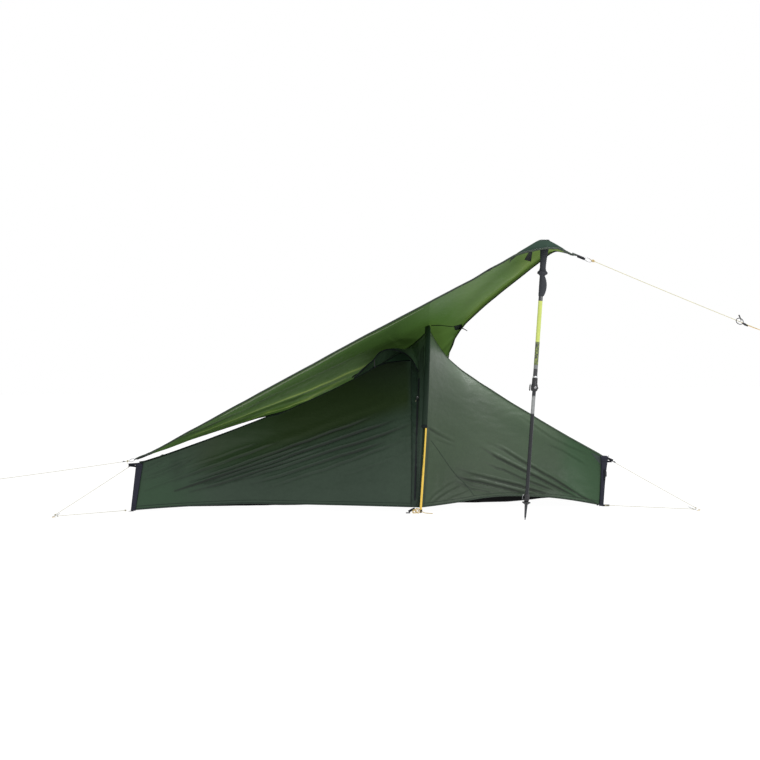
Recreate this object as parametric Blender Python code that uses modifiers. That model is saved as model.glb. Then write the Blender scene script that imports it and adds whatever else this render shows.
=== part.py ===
"""One-person tarp tent: single hoop, two short struts at each end, closed fly with a
door on the near side, inner tent, and a wing tarp that runs from the foot end over the
hoop to the top of a telescopic walking pole.  Metres, +Z up, +X towards the head end,
+Y away from the door.  The origin is on the ground under the middle of the object."""
import math
import bpy
import bmesh
import numpy as np
from mathutils import Matrix, Vector

# ----------------------------------------------------------------------------------
# Driving dimensions
# ----------------------------------------------------------------------------------
ORIGIN = (-0.0267, -0.0373)             # ground point of the layout that becomes the origin
GAP = 0.0003                    # clearance between touching pieces
CLOTH = 0.0012                  # thickness of a fabric panel
SEAM = 0.0016                   # how far each panel stops short of a shared seam

HOOP_W = 0.600                  # half width of the hoop
HOOP_H = 0.970                  # height of the hoop's centre line
HOOP_Y = -0.100                 # middle of the hoop
POLE_R = 0.0058                 # hoop tube radius
SLEEVE_FROM = 0.430             # height where the near sleeve ends and the tube is bare

STRUT_R = 0.0035
FOOT_NEAR_LOW = (-1.321, -0.470, 0.004)
FOOT_NEAR_TOP = (-1.2735, -0.470, 0.258)
FOOT_FAR_LOW = (-1.312, 0.150, 0.004)
FOOT_FAR_TOP = (-1.2665, 0.150, 0.255)
HEAD_NEAR_LOW = (1.156, -0.470, 0.004)
HEAD_NEAR_TOP = (1.180, -0.470, 0.2526)
HEAD_FAR_LOW = (1.150, 0.150, 0.004)
HEAD_FAR_TOP = (1.172, 0.150, 0.250)

TARP_FOOT = (-1.283, -0.500, 0.2755)
TARP_BACK = (0.248, 0.520, 0.400)
TARP_HEAD = (0.952, -0.985, 1.268)
APEX = (0.797, -1.000, 1.339)

TIP = (0.686, -1.035, 0.0)      # walking pole: point on the ground
TOP = (0.799, -1.000, 1.328)    # and top of its grip
PEG_LEN = 0.150
LINE_R = 0.0011                 # radius of the pale guylines

# ----------------------------------------------------------------------------------
# Scene, collections and materials
# ----------------------------------------------------------------------------------
for old in list(bpy.data.objects):
    bpy.data.objects.remove(old, do_unlink=True)

PARTS = bpy.data.collections.new("tarp_tent")
CUTTERS = bpy.data.collections.new("cutters")
bpy.context.scene.collection.children.link(PARTS)
bpy.context.scene.collection.children.link(CUTTERS)


def material(name, colour, rough=0.6, metal=0.0):
    m = bpy.data.materials.new(name)
    m.use_nodes = True
    b = m.node_tree.nodes["Principled BSDF"]
    b.inputs["Base Color"].default_value = (*colour, 1.0)
    b.inputs["Roughness"].default_value = rough
    b.inputs["Metallic"].default_value = metal
    m.diffuse_color = (*colour, 1.0)
    return m


FLY = ("fly_cloth", (0.026, 0.060, 0.034), 0.55)
TARP = ("tarp_cloth", (0.075, 0.165, 0.045), 0.5)
BLACK = ("black_webbing", (0.010, 0.011, 0.014), 0.7)
PLASTIC = ("black_plastic", (0.012, 0.012, 0.013), 0.4)
GOLD = ("gold_alloy", (0.72, 0.42, 0.05), 0.28, 1.0)
CARBON = ("dark_shaft", (0.020, 0.021, 0.023), 0.3)
LIME = ("lime_shaft", (0.55, 0.72, 0.16), 0.35)
FOAM = ("grip_foam", (0.022, 0.024, 0.028), 0.85)
STEEL = ("steel", (0.60, 0.60, 0.60), 0.25, 1.0)
CORD = ("pale_cord", (0.62, 0.58, 0.42), 0.8)
FLOOR = ("floor_cloth", (0.008, 0.008, 0.009), 0.45)
MESH = ("inner_cloth", (0.30, 0.31, 0.30), 0.8)


def P(x, y, z):
    return Vector((x - ORIGIN[0], y - ORIGIN[1], z))


def arr(p):
    return np.array((p[0] - ORIGIN[0], p[1] - ORIGIN[1], p[2]), dtype=float)


def finish(ob, spec, smooth=False, angle=35.0):
    """Give the object its own material and shading, and file it with the parts."""
    for c in list(ob.users_collection):
        c.objects.unlink(ob)
    PARTS.objects.link(ob)
    ob.data.materials.clear()
    ob.data.materials.append(material(ob.name + "_mat", *spec[1:]))
    if smooth and ob.type == "MESH":
        ob.data.shade_smooth()
        ob.data.set_sharp_from_angle(angle=math.radians(angle))
    return ob


def mesh_object(name, verts, faces, spec, smooth=False):
    me = bpy.data.meshes.new(name)
    me.from_pydata([tuple(v) for v in verts], [], faces)
    me.validate()
    ob = bpy.data.objects.new(name, me)
    PARTS.objects.link(ob)
    return finish(ob, spec, smooth)


# ----------------------------------------------------------------------------------
# Curves and surfaces
# ----------------------------------------------------------------------------------
def smooth_curve(points, n):
    """n points, evenly spaced by chord, on a Catmull-Rom curve through the points."""
    p = np.array(points, dtype=float)
    q = np.vstack([2 * p[0] - p[1], p, 2 * p[-1] - p[-2]])
    out = []
    for k in range(len(p) - 1):
        a, b, c, d = q[k], q[k + 1], q[k + 2], q[k + 3]
        for t in np.linspace(0.0, 1.0, 24, endpoint=False):
            out.append(0.5 * ((2 * b) + (c - a) * t + (2 * a - 5 * b + 4 * c - d) * t * t
                              + (3 * b - a - 3 * c + d) * t ** 3))
    out.append(p[-1])
    return resample(np.array(out), n)


def resample(line, n, spacing=None):
    line = np.array(line, dtype=float)
    seg = np.linalg.norm(np.diff(line, axis=0), axis=1)
    s = np.concatenate([[0.0], np.cumsum(seg)])
    want = (np.linspace(0.0, 1.0, n) if spacing is None else np.array(spacing)) * s[-1]
    return np.column_stack([np.interp(want, s, line[:, k]) for k in range(3)])


def coons(bottom, top, left, right):
    """Surface spanned by four boundary curves; grid[i][j], i along bottom/top."""
    nu, nv = len(bottom), len(left)
    u = np.linspace(0, 1, nu)[:, None, None]
    v = np.linspace(0, 1, nv)[None, :, None]
    b, t = np.array(bottom)[:, None, :], np.array(top)[:, None, :]
    l, r = np.array(left)[None, :, :], np.array(right)[None, :, :]
    c00, c10, c01, c11 = b[0, 0], b[-1, 0], t[0, 0], t[-1, 0]
    return ((1 - v) * b + v * t + (1 - u) * l + u * r
            - ((1 - u) * (1 - v) * c00 + u * (1 - v) * c10 + (1 - u) * v * c01 + u * v * c11))


def stretch(grid, fixed, rounds=500):
    """Pull a grid taut like fabric: every free point moves to the mean of its neighbours."""
    g = grid.copy()
    free = ~fixed
    for _ in range(rounds):
        mean = g.copy()
        mean[1:-1, 1:-1] = 0.25 * (g[2:, 1:-1] + g[:-2, 1:-1] + g[1:-1, 2:] + g[1:-1, :-2])
        g[free] = mean[free]
    return g


def border(nu, nv):
    m = np.zeros((nu, nv), dtype=bool)
    m[0, :] = m[-1, :] = m[:, 0] = m[:, -1] = True
    return m


def inset(grid, start=0.0, end=0.0, low=0.0, high=0.0):
    """Shorten a surface by real distances at its four sides."""
    g = grid.copy()
    nu, nv = g.shape[:2]
    for j in range(nv):
        line = g[:, j]
        length = np.linalg.norm(np.diff(line, axis=0), axis=1).sum()
        if length < 1e-6:
            continue
        seg = np.concatenate([[0], np.cumsum(np.linalg.norm(np.diff(line, axis=0), axis=1))]) / length
        w = start / length + seg * (1 - (start + end) / length)
        g[:, j] = resample(line, nu, w)
    for i in range(nu):
        line = g[i].copy()
        length = np.linalg.norm(np.diff(line, axis=0), axis=1).sum()
        if length < 1e-6:
            continue
        seg = np.concatenate([[0], np.cumsum(np.linalg.norm(np.diff(line, axis=0), axis=1))]) / length
        w = low / length + seg * (1 - (low + high) / length)
        g[i] = resample(line, nv, w)
    return g


def panel(name, grid, spec, thick=CLOTH, offset=0.0, flip=False):
    """An open fabric surface given its thickness with a Solidify modifier."""
    nu, nv = grid.shape[:2]
    verts = [tuple(grid[i, j]) for i in range(nu) for j in range(nv)]
    faces = []
    for i in range(nu - 1):
        for j in range(nv - 1):
            a, b, c, d = i * nv + j, (i + 1) * nv + j, (i + 1) * nv + j + 1, i * nv + j + 1
            faces.append((a, d, c, b) if flip else (a, b, c, d))
    ob = mesh_object(name, verts, faces, spec, smooth=True)
    mod = ob.modifiers.new("Solidify", "SOLIDIFY")
    mod.thickness = thick
    mod.offset = offset
    return ob


def tube(name, points, radius, spec, res=2, location=None):
    """A round bar, tube or cord along a line of points."""
    cu = bpy.data.curves.new(name, "CURVE")
    cu.dimensions = "3D"
    cu.bevel_depth = radius
    cu.bevel_resolution = res
    cu.use_fill_caps = True
    sp = cu.splines.new("POLY")
    sp.points.add(len(points) - 1)
    for k, p in enumerate(points):
        sp.points[k].co = (p[0], p[1], p[2], 1.0)
    ob = bpy.data.objects.new(name, cu)
    PARTS.objects.link(ob)
    return finish(ob, spec)


def curve_mesh(name, points, radius, spec, res=2, cyclic=False):
    """The same as a mesh, for a closed ring or for a piece with a modifier."""
    ob = tube(name + "_c", points, radius, spec, res)
    ob.data.splines[0].use_cyclic_u = cyclic
    dg = bpy.context.evaluated_depsgraph_get()
    dg.update()
    me = bpy.data.meshes.new_from_object(ob.evaluated_get(dg))
    bm = bmesh.new()
    bm.from_mesh(me)
    bmesh.ops.remove_doubles(bm, verts=bm.verts, dist=0.00001)
    bmesh.ops.recalc_face_normals(bm, faces=bm.faces)
    bm.to_mesh(me)
    bm.free()
    new = bpy.data.objects.new(name, me)
    PARTS.objects.link(new)
    new.matrix_world = ob.matrix_world
    bpy.data.objects.remove(ob, do_unlink=True)
    return finish(new, spec, smooth=True)


def lathe(name, profile, spec, axis_from, axis_to, steps=14, ring=False):
    """A turned piece: (radius, distance along the axis) from the far end down."""
    me = bpy.data.meshes.new(name)
    verts = [(r, 0.0, s) for r, s in profile]
    edges = [(k, k + 1) for k in range(len(verts) - 1)]
    if ring:
        edges.append((len(verts) - 1, 0))
    me.from_pydata(verts, edges, [])
    ob = bpy.data.objects.new(name, me)
    PARTS.objects.link(ob)
    sc = ob.modifiers.new("Screw", "SCREW")
    sc.axis = "Z"
    sc.steps = steps
    sc.render_steps = steps
    sc.use_merge_vertices = True
    sc.merge_threshold = 0.00005
    sc.use_normal_calculate = False
    sc.use_smooth_shade = True
    a, b = Vector(axis_from), Vector(axis_to)
    ob.matrix_world = Matrix.Translation(a) @ (b - a).to_track_quat("Z", "Y").to_matrix().to_4x4()
    return finish(ob, spec)


def block(name, size, centre, spec, rot=None, bevel=0.0):
    bm = bmesh.new()
    bmesh.ops.create_cube(bm, size=1.0)
    bmesh.ops.scale(bm, vec=size, verts=bm.verts)
    me = bpy.data.meshes.new(name)
    bm.to_mesh(me)
    bm.free()
    ob = bpy.data.objects.new(name, me)
    PARTS.objects.link(ob)
    m = Matrix.Translation(centre)
    if rot is not None:
        m = m @ rot.to_4x4()
    ob.matrix_world = m
    if bevel:
        bv = ob.modifiers.new("Bevel", "BEVEL")
        bv.width = bevel
        bv.segments = 2
    return finish(ob, spec)


def strip(name, points, sides, width, thick, spec):
    """A flat band with a rectangular section, swept along points; sides gives the width
    direction at each point."""
    verts, faces = [], []
    n = len(points)
    for k in range(n):
        p = np.array(points[k])
        t = np.array(points[min(k + 1, n - 1)]) - np.array(points[max(k - 1, 0)])
        t = t / np.linalg.norm(t)
        s = np.array(sides[k], dtype=float)
        s = s - t * np.dot(s, t)
        s = s / np.linalg.norm(s)
        up = np.cross(t, s)
        for a, b in ((-1, -1), (1, -1), (1, 1), (-1, 1)):
            verts.append(p + s * (a * width / 2) + up * (b * thick / 2))
    for k in range(n - 1):
        for m in range(4):
            a, b = k * 4 + m, k * 4 + (m + 1) % 4
            faces.append((a, b, b + 4, a + 4))
    faces.append((3, 2, 1, 0))
    e = (n - 1) * 4
    faces.append((e, e + 1, e + 2, e + 3))
    ob = mesh_object(name, verts, faces, spec)
    bm = bmesh.new()
    bm.from_mesh(ob.data)
    bmesh.ops.recalc_face_normals(bm, faces=bm.faces)
    bm.to_mesh(ob.data)
    bm.free()
    return ob


# ----------------------------------------------------------------------------------
# Hoop: one bent alloy pole of four sections, its tips, and the sleeve it runs in
# ----------------------------------------------------------------------------------
def hoop_x(y, z):
    return 0.198 + 0.0836 * z - 0.0173 * z * z + 0.025 * (y + 0.7)


def hoop_point(theta, grow=0.0, dx=0.0):
    y = HOOP_Y - (HOOP_W + grow) * math.cos(theta)
    z = (HOOP_H + grow) * math.sin(theta)
    return np.array((hoop_x(y, z) + dx - ORIGIN[0], y - ORIGIN[1], z))


def hoop_arc(t0, t1, n, grow=0.0, dx=0.0):
    return [hoop_point(math.radians(t), grow, dx) for t in np.linspace(t0, t1, n)]


def pole_part(line, s0, s1, n):
    return resample(line, n, np.linspace(s0, s1, n))


hoop_line = np.array(hoop_arc(1.0, 179.0, 181))
hoop_len = np.linalg.norm(np.diff(hoop_line, axis=0), axis=1).sum()
cuts = [0.0, 0.27, 0.50, 0.73, 1.0]
names = ["hoop_section_near", "hoop_section_near_top", "hoop_section_far_top", "hoop_section_far"]
for k, nm in enumerate(names):
    s0 = cuts[k] + (0.0004 if k else 0.0)
    tube(nm, pole_part(hoop_line, s0, cuts[k + 1], 13), POLE_R, GOLD, res=2)

for nm, th, sgn in (("hoop_foot_near", 1.0, 1), ("hoop_foot_far", 179.0, -1)):
    end = hoop_point(math.radians(th))
    lathe(nm, [(0.0, -0.0012), (0.0062, -0.0012), (0.0070, -0.004), (0.0070, -0.012), (0.0045, -0.0165),
               (0.0, -0.0165)], PLASTIC, end, end + np.array((0.0, 0.0, 1.0)), steps=16)

# sleeve: a fabric tube round the hoop, from the bare near length over to the far side
th0 = math.degrees(math.asin(SLEEVE_FROM / HOOP_H))
sl = np.array(hoop_arc(th0, 180 - 8.0, 24))
ring_n = 6
verts, faces = [], []
for k in range(len(sl)):
    t = sl[min(k + 1, len(sl) - 1)] - sl[max(k - 1, 0)]
    t = t / np.linalg.norm(t)
    a = np.array((1.0, 0.0, 0.0))
    a = a - t * np.dot(a, t)
    a = a / np.linalg.norm(a)
    b = np.cross(t, a)
    for m in range(ring_n):
        w = 2 * math.pi * (m + 0.5) / ring_n
        verts.append(sl[k] + a * 0.0105 * math.cos(w) + b * 0.0105 * math.sin(w))
for k in range(len(sl) - 1):
    for m in range(ring_n):
        p, q = k * ring_n + m, k * ring_n + (m + 1) % ring_n
        faces.append((p, q, q + ring_n, p + ring_n))
sleeve = mesh_object("pole_sleeve", verts, faces, BLACK, smooth=True)
sm = sleeve.modifiers.new("Solidify", "SOLIDIFY")
sm.thickness = 0.001
sm.offset = 0.0

# ----------------------------------------------------------------------------------
# Fly: near and back wall on each side of the hoop, and the two end walls
# ----------------------------------------------------------------------------------
NU, NV = 15, 8
E0, E1 = 1.6, 89.0
EDGE = -0.019                    # the fly hangs this far inside the hoop's centre line


def hem(a, b, lifts, pull):
    """A hem between two ground points, lifted and pulled in between them."""
    n = 40
    t = np.linspace(0, 1, n)
    tl, zl = zip(*lifts)
    zz = smooth_curve([(x, 0.0, z) for x, z in lifts], 60)
    out = []
    for k in range(n):
        p = np.array(a) * (1 - t[k]) + np.array(b) * t[k]
        p[2] = np.interp(t[k], zz[:, 0], zz[:, 2])
        p[1] += pull * 4 * t[k] * (1 - t[k])
        out.append(p)
    return resample(out, NU)


near_base_f = hoop_point(math.radians(E0), EDGE, -0.004)
near_base_h = hoop_point(math.radians(E0), EDGE, 0.004)
far_base_f = hoop_point(math.radians(180 - E0), EDGE, -0.004)
far_base_h = hoop_point(math.radians(180 - E0), EDGE, 0.004)
top_f = hoop_point(math.radians(90), EDGE, -0.004)
top_h = hoop_point(math.radians(90), EDGE, 0.004)

ridge_foot = smooth_curve([arr(p) for p in (
    FOOT_NEAR_TOP, (-1.042, -0.437, 0.325), (-0.757, -0.362, 0.416), (-0.531, -0.295, 0.506),
    (-0.320, -0.248, 0.598), (-0.165, -0.212, 0.672), (0.023, -0.178, 0.772),
    (0.172, -0.140, 0.862), (0.236, -0.115, 0.915))] + [top_f], NU)
ridge_head = smooth_curve([arr(p) for p in (
    HEAD_NEAR_TOP, (1.023, -0.380, 0.3620), (0.731, -0.262, 0.532), (0.529, -0.190, 0.668),
    (0.400, -0.142, 0.775), (0.335, -0.115, 0.855))] + [top_h], NU)

hem_foot = hem(arr(FOOT_NEAR_LOW), near_base_f,
               [(0, 0.004), (0.142, 0.019), (0.38, 0.037), (0.50, 0.037), (0.77, 0.0320), (1.0, 0.0270)], 0.035)
hem_head = hem(arr(HEAD_NEAR_LOW), near_base_h,
               [(0, 0.004), (0.15, 0.032), (0.288, 0.0515), (0.44, 0.0635), (0.583, 0.0660), (0.70, 0.0570), (0.80, 0.0440), (0.92, 0.0330), (1.0, 0.0275)], 0.030)
hem_foot_far = hem(arr(FOOT_FAR_LOW), far_base_f,
                   [(0, 0.004), (0.3, 0.030), (0.6, 0.036), (1.0, 0.0270)], -0.035)
hem_head_far = hem(arr(HEAD_FAR_LOW), far_base_h,
                   [(0, 0.004), (0.35, 0.034), (0.65, 0.038), (1.0, 0.0275)], -0.030)


def line(a, b, n):
    return [np.array(a) * (1 - t) + np.array(b) * t for t in np.linspace(0, 1, n)]


def near_wall(hem_line, ridge, low, top, dx):
    strut = line(low, top, NV)
    hoop = hoop_arc(E0, 90.0, NV, EDGE, dx)
    g = coons(hem_line, ridge, strut, hoop)
    return stretch(g, border(NU, NV))


def back_wall(ridge, hem_line, near_top, far_top, far_low, dx):
    n = 11
    end = resample([near_top, far_top, far_low], n)
    hoop = hoop_arc(90.0, 180.0 - E0, n, EDGE, dx)
    g = coons(ridge, hem_line, end, hoop)
    return stretch(g, border(NU, n))


front_foot = near_wall(hem_foot, ridge_foot, arr(FOOT_NEAR_LOW), arr(FOOT_NEAR_TOP), -0.004)
back_foot = back_wall(ridge_foot, hem_foot_far, arr(FOOT_NEAR_TOP), arr(FOOT_FAR_TOP), arr(FOOT_FAR_LOW), -0.004)
front_head = near_wall(hem_head, ridge_head, arr(HEAD_NEAR_LOW), arr(HEAD_NEAR_TOP), 0.004)
back_head = back_wall(ridge_head, hem_head_far, arr(HEAD_NEAR_TOP), arr(HEAD_FAR_TOP), arr(HEAD_FAR_LOW), 0.004)

panel("fly_door_wall", inset(front_foot, SEAM, 0.0, 0.0, SEAM), FLY)
panel("fly_back_wall_foot", inset(back_foot, SEAM, 0.0, SEAM, 0.0), FLY)
panel("fly_front_wall_head", inset(front_head, SEAM, 0.0, 0.0, SEAM), FLY, flip=True)
panel("fly_back_wall_head", inset(back_head, SEAM, 0.0, SEAM, 0.0), FLY, flip=True)


def end_wall(name, near_low, near_top, far_low, far_top, bow):
    n = 7
    near, far = line(near_low, near_top, n), line(far_low, far_top, n)
    low, top = line(near_low, far_low, n), line(near_top, far_top, n)
    for k in range(n):
        t = k / (n - 1)
        low[k][2] += 0.030 * 4 * t * (1 - t)
        low[k][0] += bow * 4 * t * (1 - t)
        top[k][2] -= 0.012 * 4 * t * (1 - t)
    g = coons(np.array(low), np.array(top), np.array(near), np.array(far))
    g = inset(stretch(g, border(n, n)), SEAM, 0.004, 0.0, 0.004)
    return panel(name, g, FLY)


end_wall("fly_foot_end", arr(FOOT_NEAR_LOW), arr(FOOT_NEAR_TOP), arr(FOOT_FAR_LOW), arr(FOOT_FAR_TOP), 0.02)
end_wall("fly_head_end", arr(HEAD_NEAR_LOW), arr(HEAD_NEAR_TOP), arr(HEAD_FAR_LOW), arr(HEAD_FAR_TOP), -0.02)

# short end struts stand just inside the corners of the fly
for nm, lo, hi, sx, sy in (("foot_strut_near", FOOT_NEAR_LOW, FOOT_NEAR_TOP, 1, 1),
                           ("foot_strut_far", FOOT_FAR_LOW, FOOT_FAR_TOP, 1, -1),
                           ("head_strut_near", HEAD_NEAR_LOW, HEAD_NEAR_TOP, -1, 1),
                           ("head_strut_far", HEAD_FAR_LOW, HEAD_FAR_TOP, -1, -1)):
    off = np.array((0.014 * sx, (0.016 if sy > 0 else 0.026) * sy, 0.0))
    a, b = arr(lo) + off, arr(hi) + off
    a[2], b[2] = 0.0, b[2] - 0.012
    length = float(np.linalg.norm(b - a))
    lathe(nm, [(0.0, length), (0.0030, length), (STRUT_R + 0.0012, length - 0.003), (STRUT_R + 0.0012, length - 0.014),
               (STRUT_R, length - 0.0145), (STRUT_R, 0.0145), (STRUT_R + 0.0012, 0.014),
               (STRUT_R + 0.0012, 0.004), (0.0030, 0.001), (0.0, 0.001)],
          CARBON, a, b, steps=12)

# ----------------------------------------------------------------------------------
# Door furniture: zip, slider with its pull, the hood over the vent and its prop
# ----------------------------------------------------------------------------------
def wall_at(x, z, lift):
    """Point on the outside of the near foot wall at this x and height."""
    flat = front_foot.reshape(-1, 3)
    xx = x - ORIGIN[0]
    best = None
    nu, nv = front_foot.shape[:2]
    for i in range(nu - 1):
        for j in range(nv - 1):
            a, b, c, d = front_foot[i, j], front_foot[i + 1, j], front_foot[i + 1, j + 1], front_foot[i, j + 1]
            for tri in ((a, b, c), (a, c, d)):
                m = np.array([[tri[1][0] - tri[0][0], tri[2][0] - tri[0][0]],
                              [tri[1][2] - tri[0][2], tri[2][2] - tri[0][2]]])
                det = np.linalg.det(m)
                if abs(det) < 1e-12:
                    continue
                s, t = np.linalg.solve(m, np.array([xx - tri[0][0], z - tri[0][2]]))
                if s >= -1e-6 and t >= -1e-6 and s + t <= 1 + 1e-6:
                    p = tri[0] + s * (tri[1] - tri[0]) + t * (tri[2] - tri[0])
                    nrm = np.cross(tri[1] - tri[0], tri[2] - tri[0])
                    nrm = nrm / np.linalg.norm(nrm)
                    if nrm[1] > 0:
                        nrm = -nrm
                    return p + nrm * lift, nrm
    d = np.hypot(flat[:, 0] - xx, flat[:, 2] - z)
    k = int(np.argmin(d))
    return flat[k] + np.array((0, -lift, 0)), np.array((0.0, -1.0, 0.0))


zip_pts = [(0.172, 0.060), (0.178, 0.180), (0.184, 0.300), (0.190, 0.420), (0.197, 0.520), (0.203, 0.600), (0.209, 0.680)]
zp = [wall_at(x, z, 0.0060) for x, z in zip_pts]
track = smooth_curve([p for p, _ in zp], 14)
strip("zip_track", track, [(1, 0, 0)] * 14, 0.007, 0.0018, BLACK)

SLIDE_LOW, SLIDE_TOP = wall_at(0.190, 0.420, 0.0)[0], wall_at(0.2015, 0.580, 0.0)[0]
axis_z = Vector(SLIDE_TOP - SLIDE_LOW).normalized()
nz = Vector(wall_at(0.198, 0.540, 0.0)[1])
nz = (nz - axis_z * nz.dot(axis_z)).normalized()
rot_z = Matrix((axis_z.cross(nz), nz, axis_z)).transposed()     # columns: across, out, up
slider_at = Vector(wall_at(0.2015, 0.580, 0.0)[0])
# the slider clears the tape all along its stroke
stroke = [Vector(p) - slider_at for p in resample(track, 60)]
slider_at += nz * (max(v.dot(nz) for v in stroke if -0.19 < v.dot(axis_z) < 0.06) + 0.0009 + 0.0020 + 0.0030)
block("zip_slider", (0.009, 0.004, 0.012), slider_at, STEEL, rot=rot_z, bevel=0.0008)
pull_at = slider_at + nz * 0.0052 - axis_z * 0.011
block("zip_pull", (0.0045, 0.0020, 0.030), pull_at, PLASTIC, rot=rot_z, bevel=0.0006)

# hood: a stiff-edged awning over the vent at the top of the door
def ridge_at(x):
    """Point of the near ridge of the foot half at this x."""
    return np.array([np.interp(x - ORIGIN[0], ridge_foot[:, 0], ridge_foot[:, k]) for k in range(3)])


brim_xz = [(-0.140, 0.698, 0.010), (-0.068, 0.768, 0.045), (-0.015, 0.816, 0.075), (0.045, 0.836, 0.090),
           (0.100, 0.824, 0.080), (0.150, 0.792, 0.050), (0.188, 0.722, 0.012)]
brim, hood_back = [], []
for x, z, out in brim_xz:
    rp = ridge_at(x)
    wp = wall_at(x, min(z, rp[2] - 0.012), 0.0)[0]
    brim.append(np.array((x - ORIGIN[0], min(wp[1], rp[1]) - out, z)))
    hood_back.append(rp + np.array((0.0, 0.004, 0.009)))
brim = smooth_curve(brim, 9)
hood_back = smooth_curve(hood_back, 9)
hood = np.array([[hood_back[k] * (1 - t) + brim[k] * t + np.array((0, -0.012 * math.sin(math.pi * t),
                 0.022 * math.sin(math.pi * t) * (0.35 + math.sin(math.pi * k / 8))))
                 for t in np.linspace(0, 1, 5)] for k in range(9)])
for k in range(9):
    for m in range(5):
        top = ridge_at(hood[k, m, 0] + ORIGIN[0])
        if hood[k, m, 2] < top[2] - 0.002:
            wy = wall_at(hood[k, m, 0] + ORIGIN[0], hood[k, m, 2], 0.0)[0][1]
            hood[k, m, 1] = min(hood[k, m, 1], wy - 0.010 - 0.0016 * k)
        else:
            hood[k, m, 2] = max(hood[k, m, 2], top[2] + 0.010)
panel("vent_hood", hood, FLY)

prop_top = arr((-0.030, -0.352, 0.788))
prop_low = prop_top + np.array((0.004, 0.018, -0.048))
lathe("vent_prop", [(0.0, 0.050), (0.0022, 0.050), (0.0026, 0.046), (0.0026, 0.004), (0.0022, 0.0), (0.0, 0.0)],
      PLASTIC, prop_low, prop_top, steps=8)

# ----------------------------------------------------------------------------------
# Inner tent: black tub floor and a light canopy over it
# ----------------------------------------------------------------------------------
XF, XH = -1.235, 1.085


def section(x):
    """The fly's section at this x, from the near hem over the ridge to the far hem."""
    pts = []
    halves = (front_foot, back_foot) if x - ORIGIN[0] < front_foot[-1, 0, 0] else (front_head, back_head)
    for g in halves:
        for j in range(g.shape[1]):
            o = np.argsort(g[:, j, 0])
            pts.append([x - ORIGIN[0]] + [float(np.interp(x - ORIGIN[0], g[o, j, 0], g[o, j, k])) for k in (1, 2)])
    return np.array(pts)


def inner_edges(t):
    """Near and far side of the floor at t from the foot to the head end."""
    x = XF + (XH - XF) * t
    sec = section(x)
    near = max(-0.385 + 0.025 * math.sin(math.pi * t), sec[0, 1] + ORIGIN[1] + 0.055)
    far = sec[-1, 1] + ORIGIN[1] - 0.060
    for y, z in sec[-7:, 1:]:
        if z < 0.11:
            far = min(far, y + ORIGIN[1] - 0.045)
    return x, near, far


nx, ny = 13, 8
tub = np.zeros((nx, ny, 3))
for i in range(nx):
    ti = min(max((i - 1) / (nx - 3), 0.0), 1.0)
    for j in range(ny):
        x, near, far = inner_edges(ti)
        s = min(max((j - 1) / (ny - 3), 0.0), 1.0)
        y = near * (1 - s) + far * s
        # the near edge of the floor is lifted a little, more so towards the head corner
        z = 0.0009 + max(0.0, 1 - s / 0.35) ** 2 * (0.010 + 0.030 * max(0.0, (x - 0.45) / 0.6) ** 1.2)
        if i in (0, nx - 1) or j in (0, ny - 1):
            z = 0.080
            x += -0.010 if i == 0 else 0.010 if i == nx - 1 else 0.0
            y += -0.010 if j == 0 else 0.006 if j == ny - 1 else 0.0
        tub[i, j] = arr((x, y, z))
panel("inner_floor", tub, FLOOR)

cnx, cny = 13, 11
canopy = np.zeros((cnx, cny, 3))
for i in range(cnx):
    ti = min(max((i - 1) / (cnx - 3), 0.0), 1.0)
    x, near, far = inner_edges(ti)
    sec = section(x)
    arc = resample(sec, cny - 2)
    for j in range(cny):
        if i in (0, cnx - 1) or j in (0, cny - 1):
            s = min(max((j - 1) / (cny - 3), 0.0), 1.0)
            y, z = near * (1 - s) + far * s, 0.0825
            xx = x + (-0.008 if i == 0 else 0.008 if i == cnx - 1 else 0.0)
            y += -0.004 if j == 0 else 0.004 if j == cny - 1 else 0.0
        else:
            xx = x
            y = arc[j - 1, 1] + ORIGIN[1]
            mid = 0.5 * (near + far)
            y = mid + (y - mid) * 0.86
            y = min(max(y, near), far)
            z = max(0.0900, arc[j - 1, 2] * 0.90 - 0.012)
        canopy[i, j] = arr((xx, y, z))
panel("inner_canopy", canopy, MESH, thick=0.001)

# ----------------------------------------------------------------------------------
# Tarp: a wing from the foot end over the hoop to the walking pole, with a back flap
# ----------------------------------------------------------------------------------
TN = 13                                                 # points across the tarp
near_h = arr((hoop_x(-0.1, 0.97) - 0.030, -0.940, 1.0570))
over = [hoop_point(math.radians(t), 0.028) for t in np.linspace(88, 136, 7)]
reach = smooth_curve([near_h, arr((hoop_x(-0.5, 0.97) - 0.008, -0.520, 1.026)), over[0]], 5)
drop = line(over[-1], arr(TARP_BACK), 3)
station = np.array(list(reach) + list(over[1:]) + list(drop[1:]))
TN = len(station)
foot_edge = np.array(line(arr((-1.286, -0.515, 0.2775)), arr((-1.280, -0.485, 0.2735)), TN))
TF = 13
near_foot = smooth_curve([foot_edge[0], near_h], TF)
near_foot[1:-1, 2] -= 0.006 * np.sin(np.linspace(0, math.pi, TF)[1:-1])
far_foot = smooth_curve([foot_edge[-1]] + [arr(p) for p in (
    (-1.221, -0.430, 0.3090), (-1.051, -0.340, 0.3670), (-0.769, -0.210, 0.4490), (-0.580, -0.110, 0.496),
    (-0.380, 0.040, 0.573), (-0.180, 0.230, 0.636), (0.000, 0.400, 0.600), (0.130, 0.480, 0.500))]
    + [arr(TARP_BACK)], TF)
tf = stretch(coons(near_foot, far_foot, foot_edge, station), border(TF, TN))
panel("tarp_foot_panel", inset(tf, 0.0, SEAM, 0.0, 0.0), TARP)

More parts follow.
